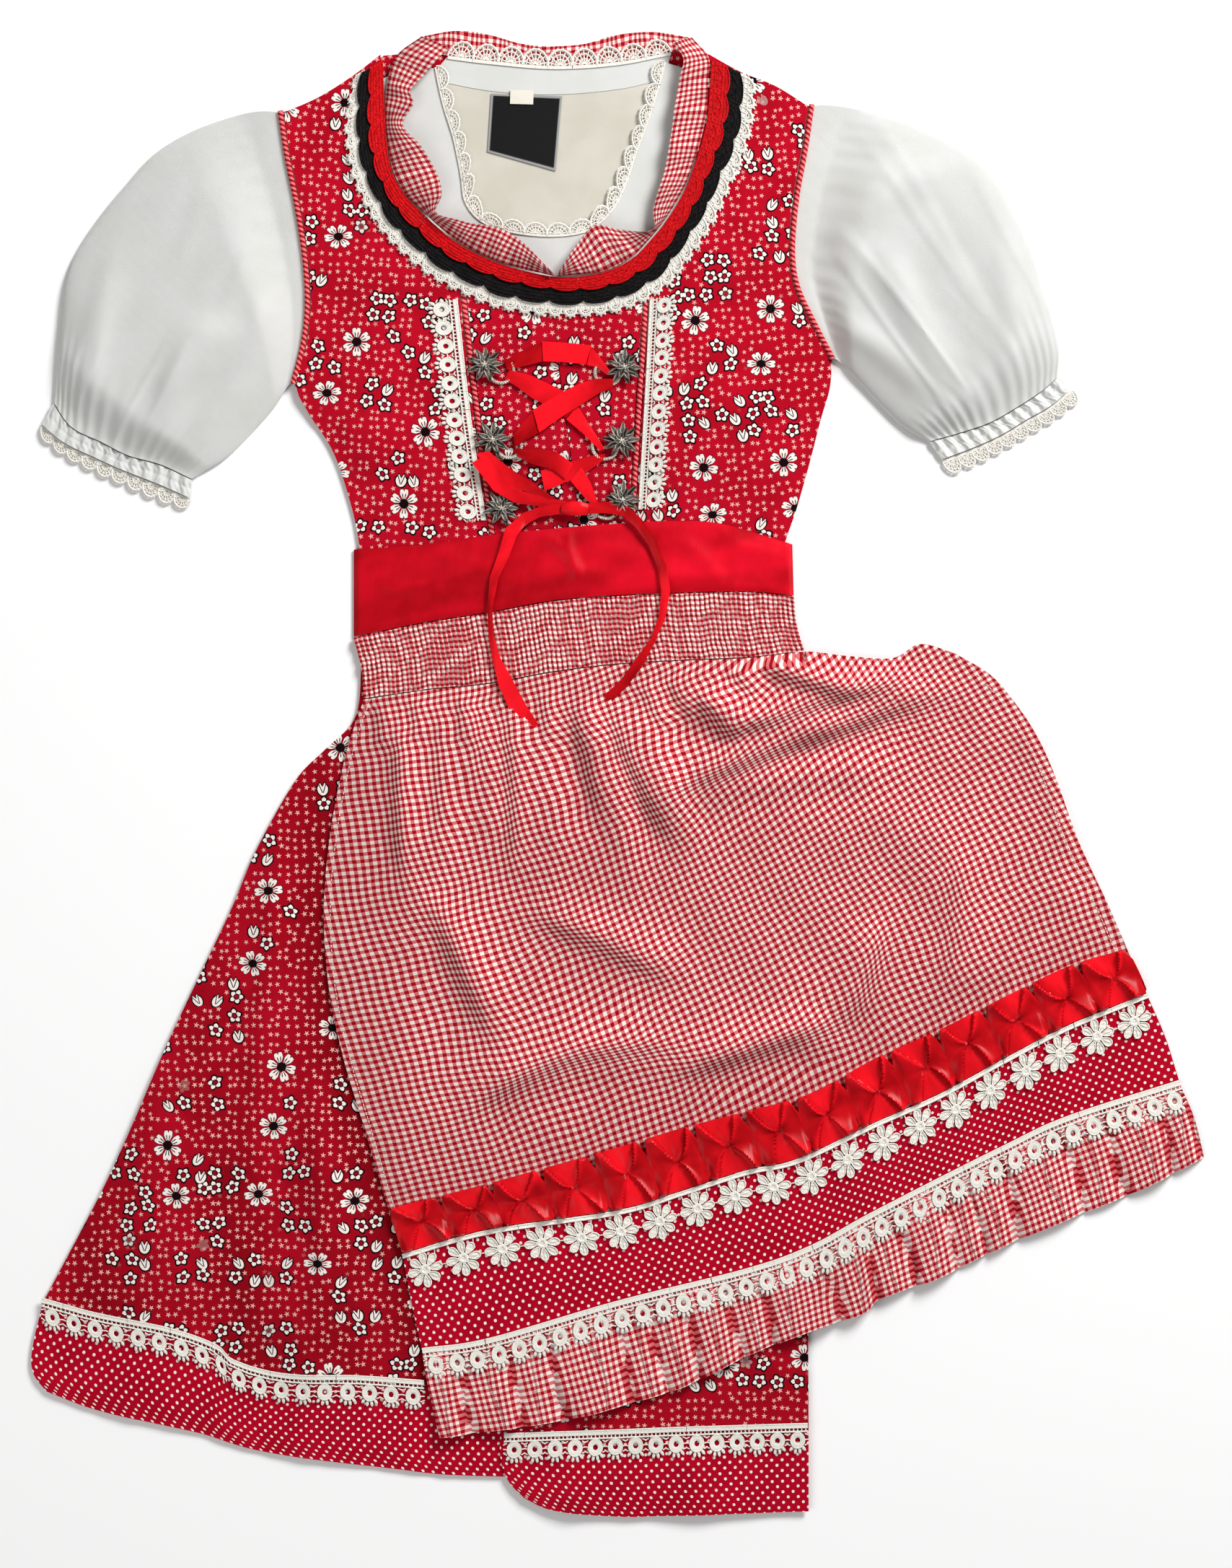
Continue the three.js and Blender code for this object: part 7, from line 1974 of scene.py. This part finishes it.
# Each run: its crown, then stations with one edge x, y, other edge x, y, lift at both edges, tone of painted shade (0
# lit, 1 in shade).
RIBBONS = [
    ("ribbon_bar_satin", "ribbon_bar", bodice_top, [
        (0.3, [[-88, 320, -86, 313, 2.2, 2.6, 0.9], [-76, 327, -76, 315, 2.6, 2.2, 0.8],
              [-57, 335, -57, 320, 2.4, 2.6, 0.75]]),
        (0.3, [[-59, 335, -58, 319.5, 3.4, 3.6, 0.0], [-40, 334, -41, 319, 3.4, 3.0, 0.0],
              [-20, 332, -24, 317, 3.4, 3.2, 0.1]]),
        (0.3, [[-21, 332, -24, 317, 3.0, 2.2, 0.25], [-13, 322, -16, 315, 3.2, 2.4, 0.2],
              [-5, 311, -8, 309, 3.4, 3.0, 0.4]]),
    ]),
    ("ribbon_falling_satin", "ribbon_cross_falling", bodice_top, [
        (0.3, [[-84, 313, -88, 306, 3.0, 2.4, 0.5], [-68, 309, -78, 300, 2.6, 2.0, 0.35],
              [-55, 303, -66, 291, 1.8, 1.4, 0.2], [-42, 297, -54, 285, 1.0, 0.9, 0.4],
              [-30, 284, -40, 276, 0.8, 0.8, 0.7]]),
        (0.3, [[-31, 286, -40, 275, 0.9, 1.4, 0.1], [-22, 271, -27, 264, 1.6, 2.0, 0.0],
              [-10, 252, -13, 250, 3.6, 3.4, 0.3]]),
    ]),
    ("ribbon_rising_satin", "ribbon_cross_rising", bodice_top, [
        (0.3, [[-81, 262, -80, 253, 3.6, 3.0, 0.95], [-74, 272, -70, 259, 3.2, 2.8, 0.8],
              [-65, 281, -61, 264.5, 2.6, 2.4, 0.75]]),
        (0.3, [[-66, 281.5, -61, 264, 3.4, 3.4, 0.05], [-46, 294, -44, 276, 3.2, 3.0, 0.0],
              [-30, 302, -28, 286, 3.0, 2.8, 0.25], [-18, 306, -14, 295, 3.0, 2.8, 0.6],
              [-3, 306, -3, 299, 3.6, 3.4, 0.8]]),
    ]),
    ("ribbon_lower_satin", "ribbon_cross_lower", bodice_top, [
        (0.3, [[-80, 252, -78, 246, 3.4, 3.0, 0.95], [-66, 252, -66, 240, 3.0, 2.6, 0.85],
              [-48, 250, -50, 236, 2.8, 2.6, 0.7], [-34, 240, -40, 228, 3.0, 2.8, 0.15]]),
        (0.3, [[-28, 238, -37, 228, 3.4, 2.6, 0.0], [-21, 226, -28, 217, 3.2, 2.6, 0.05],
              [-15, 210, -19, 207, 3.4, 3.0, 0.35]]),
        (0.3, [[-9, 248, -11, 243, 3.6, 3.2, 0.5], [-24, 246, -22, 235, 2.4, 2.0, 0.55],
              [-40, 241, -36, 228, 1.6, 1.4, 0.3], [-60, 235, -57, 219, 1.6, 1.4, 0.1]]),
    ]),
    ("ribbon_bow_satin", "ribbon_bow", tail_surface, [
        (1.6, [[-22, 209, -22, 201, 2.8, 2.4, 0.4], [-29, 211, -29, 200, 4.0, 3.4, 0.1],
              [-36, 211, -36, 200, 4.0, 3.4, 0.2], [-44, 208, -44, 201, 2.8, 2.4, 0.6]]),
        (0.3, [[-36, 210, -40, 204, 2.0, 1.8, 0.7], [-56, 214, -60, 207, 2.4, 2.2, 0.6],
              [-74, 219, -80, 210, 3.4, 3.0, 0.45], [-90, 229, -96, 219, 4.4, 4.0, 0.2],
              [-102, 247, -113, 241, 5.2, 5.0, 0.0]]),
        (0.3, [[-100, 250, -110, 248, 5.4, 4.6, 0.0], [-93, 244, -95, 231, 4.6, 3.4, 0.3],
              [-80, 234, -84, 223, 3.6, 2.8, 0.45], [-62, 223, -66, 217, 2.6, 2.2, 0.75],
              [-50, 214, -54, 209, 2.4, 2.0, 0.8]]),
    ]),
    ("ribbon_tail_left_satin", "ribbon_tail_left", tail_surface, [
        (0.3, [[-40, 210, -40, 202, 2.2, 2.0, 0.5], [-58, 208, -60, 199, 2.2, 2.0, 0.6],
              [-73, 202, -71, 193, 2.0, 2.4, 0.5], [-87, 190, -78, 184, 1.2, 3.6, 0.05],
              [-92, 172, -84, 168, 1.0, 3.8, 0.0], [-99, 152, -92, 152, 1.6, 3.0, 0.45],
              [-101, 128, -97, 128, 1.4, 3.4, 0.7], [-100, 108, -96, 108, 1.2, 3.4, 0.3],
              [-97, 88, -91, 90, 1.2, 2.8, 0.0], [-92, 68, -81, 72, 1.2, 2.0, 0.0],
              [-84, 50, -72, 55, 1.0, 1.6, 0.1], [-75, 31, -60, 36, 0.8, 1.2, 0.4]]),
    ]),
    ("ribbon_tail_right_satin", "ribbon_tail_right", tail_surface, [
        (0.3, [[-26, 201, -26, 209, 2.2, 2.6, 0.5], [-10, 202, -10, 211, 2.0, 2.4, 0.6],
              [4, 200, 6, 209, 1.8, 2.4, 0.7], [14, 191, 19, 197, 1.6, 2.6, 0.7], [24, 177, 30, 181, 1.4, 3.0, 0.8],
              [31, 160, 38, 161, 1.4, 3.4, 0.6], [34, 142, 41, 142, 1.4, 3.2, 0.0],
              [32, 122, 37, 120, 1.4, 3.2, 0.1], [26, 105, 29, 102, 1.2, 2.8, 0.5],
              [15, 90, 20, 84, 1.2, 1.8, 0.75], [3, 73, 8, 68, 1.0, 1.4, 0.85], [-11, 60, -6, 54, 0.8, 1.0, 0.8]]),
    ]),
]
for name, node, surface, runs in RIBBONS:
    body = Body()
    for crown, stations in runs:
        ribbon(body, stations, surface, crown)
    body.piece(name, SATIN, node)


# ---------- stitch lines ----------
STITCH_PITCH, STITCH_SHARE, STITCH_WIDE = 3.4, 0.6, 0.7
body = Body()
for rows in (shifted(APRON_LEFT, 5, 0), shifted(APRON_RIGHT[1:-1], -10, 0)):
    count = int(length_of(rows) / STITCH_PITCH)
    at = along(rows)
    for k in range(count):
        xy = at(np.array([k, k + STITCH_SHARE / 2, k + STITCH_SHARE]) / count)
        z = apron_relief(xy[:, 0], xy[:, 1], 0, 0) + 0.06
        body.add(*tube_mesh(np.column_stack([xy, z]), STITCH_WIDE / 2, 5, flat=0.6))
body.piece("apron_hem_stitches", STITCH_THREAD)

# ---------- floor, light, camera ----------
SKY_POWER, KEY_POWER, FILL_POWER = 0.23, 142, 34
bpy.ops.mesh.primitive_plane_add(size=12, location=(0, 0, -0.0006))
floor = bpy.context.object
floor.name = "floor"
ground = bpy.data.materials.new("floor_pale")
ground.use_nodes = True
matt = ground.node_tree.nodes["Principled BSDF"].inputs
matt["Base Color"].default_value = (0.92, 0.92, 0.92, 1)
matt["Roughness"].default_value = 0.9
floor.data.materials.append(ground)

world = bpy.data.worlds.new("studio")
world.use_nodes = True
sky = world.node_tree.nodes["Background"].inputs
sky[0].default_value = (1.0, 0.99, 0.98, 1)
sky[1].default_value = SKY_POWER
bpy.context.scene.world = world


def softbox(name, location, size, power):
    light = bpy.data.lights.new(name, "AREA")
    light.size, light.energy = size, power
    obj = bpy.data.objects.new(name, light)
    obj.location = location
    obj.rotation_euler = (-Vector(location)).to_track_quat("-Z", "Y").to_euler()
    bpy.context.scene.collection.objects.link(obj)


softbox("key", (1.7, 2.1, 2.0), 1.2, KEY_POWER)
softbox("fill", (-1.7, -1.3, 2.5), 2.2, FILL_POWER)

SENSOR, DISTANCE, FRAMED = 36, 3.0, 1.2169      # sensor in mm; distance and framed height in metres
camera_data = bpy.data.cameras.new("photo_view")
camera_data.sensor_width = SENSOR
camera_data.lens = SENSOR * DISTANCE / FRAMED
camera = bpy.data.objects.new("photo_view", camera_data)
camera.location = ((-1.12 + SHIFT[0]) * MM, (-8.12 + SHIFT[1]) * MM, 3.006)
bpy.context.scene.collection.objects.link(camera)
bpy.context.scene.camera = camera
bpy.context.scene.view_settings.view_transform = "Standard"


# ---------- sheets: the cut of what shows, worked out for each piece and not kept ---
def cut_of(obj):
    """Half the closed area of a piece, in square metres."""
    mesh = obj.data
    areas = np.zeros(len(mesh.polygons))
    mesh.polygons.foreach_get("area", areas)
    return float(areas.sum()) / 2


def declare(node, length=None):
    obj = pieces[node]
    if length:
        max(cut_of(obj) / length, 0.0101)
        return
    points = np.zeros(len(obj.data.vertices) * 3)
    obj.data.vertices.foreach_get("co", points)
    points = points.reshape(-1, 3)[:, :2]
    area = cut_of(obj)
    centred = points - points.mean(0)
    axes = np.linalg.svd(centred[:: max(1, len(centred) // 4000)], full_matrices=False)[2]
    turned = centred @ axes.T
    spread = turned.max(0) - turned.min(0)
    width, length = float(spread[1]), float(spread[0])
    if width * length < area:
        grow = area / (width * length) * 1.02
        width *= grow


declare("skirt_back")
declare("bodice_back")
declare("skirt_front_left")
declare("skirt_front_right")
declare("bodice_side_left")
declare("bodice_side_right")
declare("bodice_center_left")
declare("bodice_center_right")
for side in ("left", "right", "back"):
    declare(f"neck_ruffle_{side}")
declare("blouse_back")
declare("blouse_front")
declare("collar_back")
for side in ("left", "right"):
    declare(f"sleeve_back_{side}")
    declare(f"sleeve_front_{side}")
    declare(f"cuff_{side}")
declare("apron_waistband")
declare("apron_smocking")
declare("apron_panel")
declare("apron_ruche")
declare("apron_dot_band")
declare("apron_ruffle")
for node in ("ribbon_bar", "ribbon_cross_falling", "ribbon_cross_rising", "ribbon_cross_lower", "ribbon_bow",
             "ribbon_tail_left", "ribbon_tail_right"):
    declare(node, length=pieces[node]["run"])
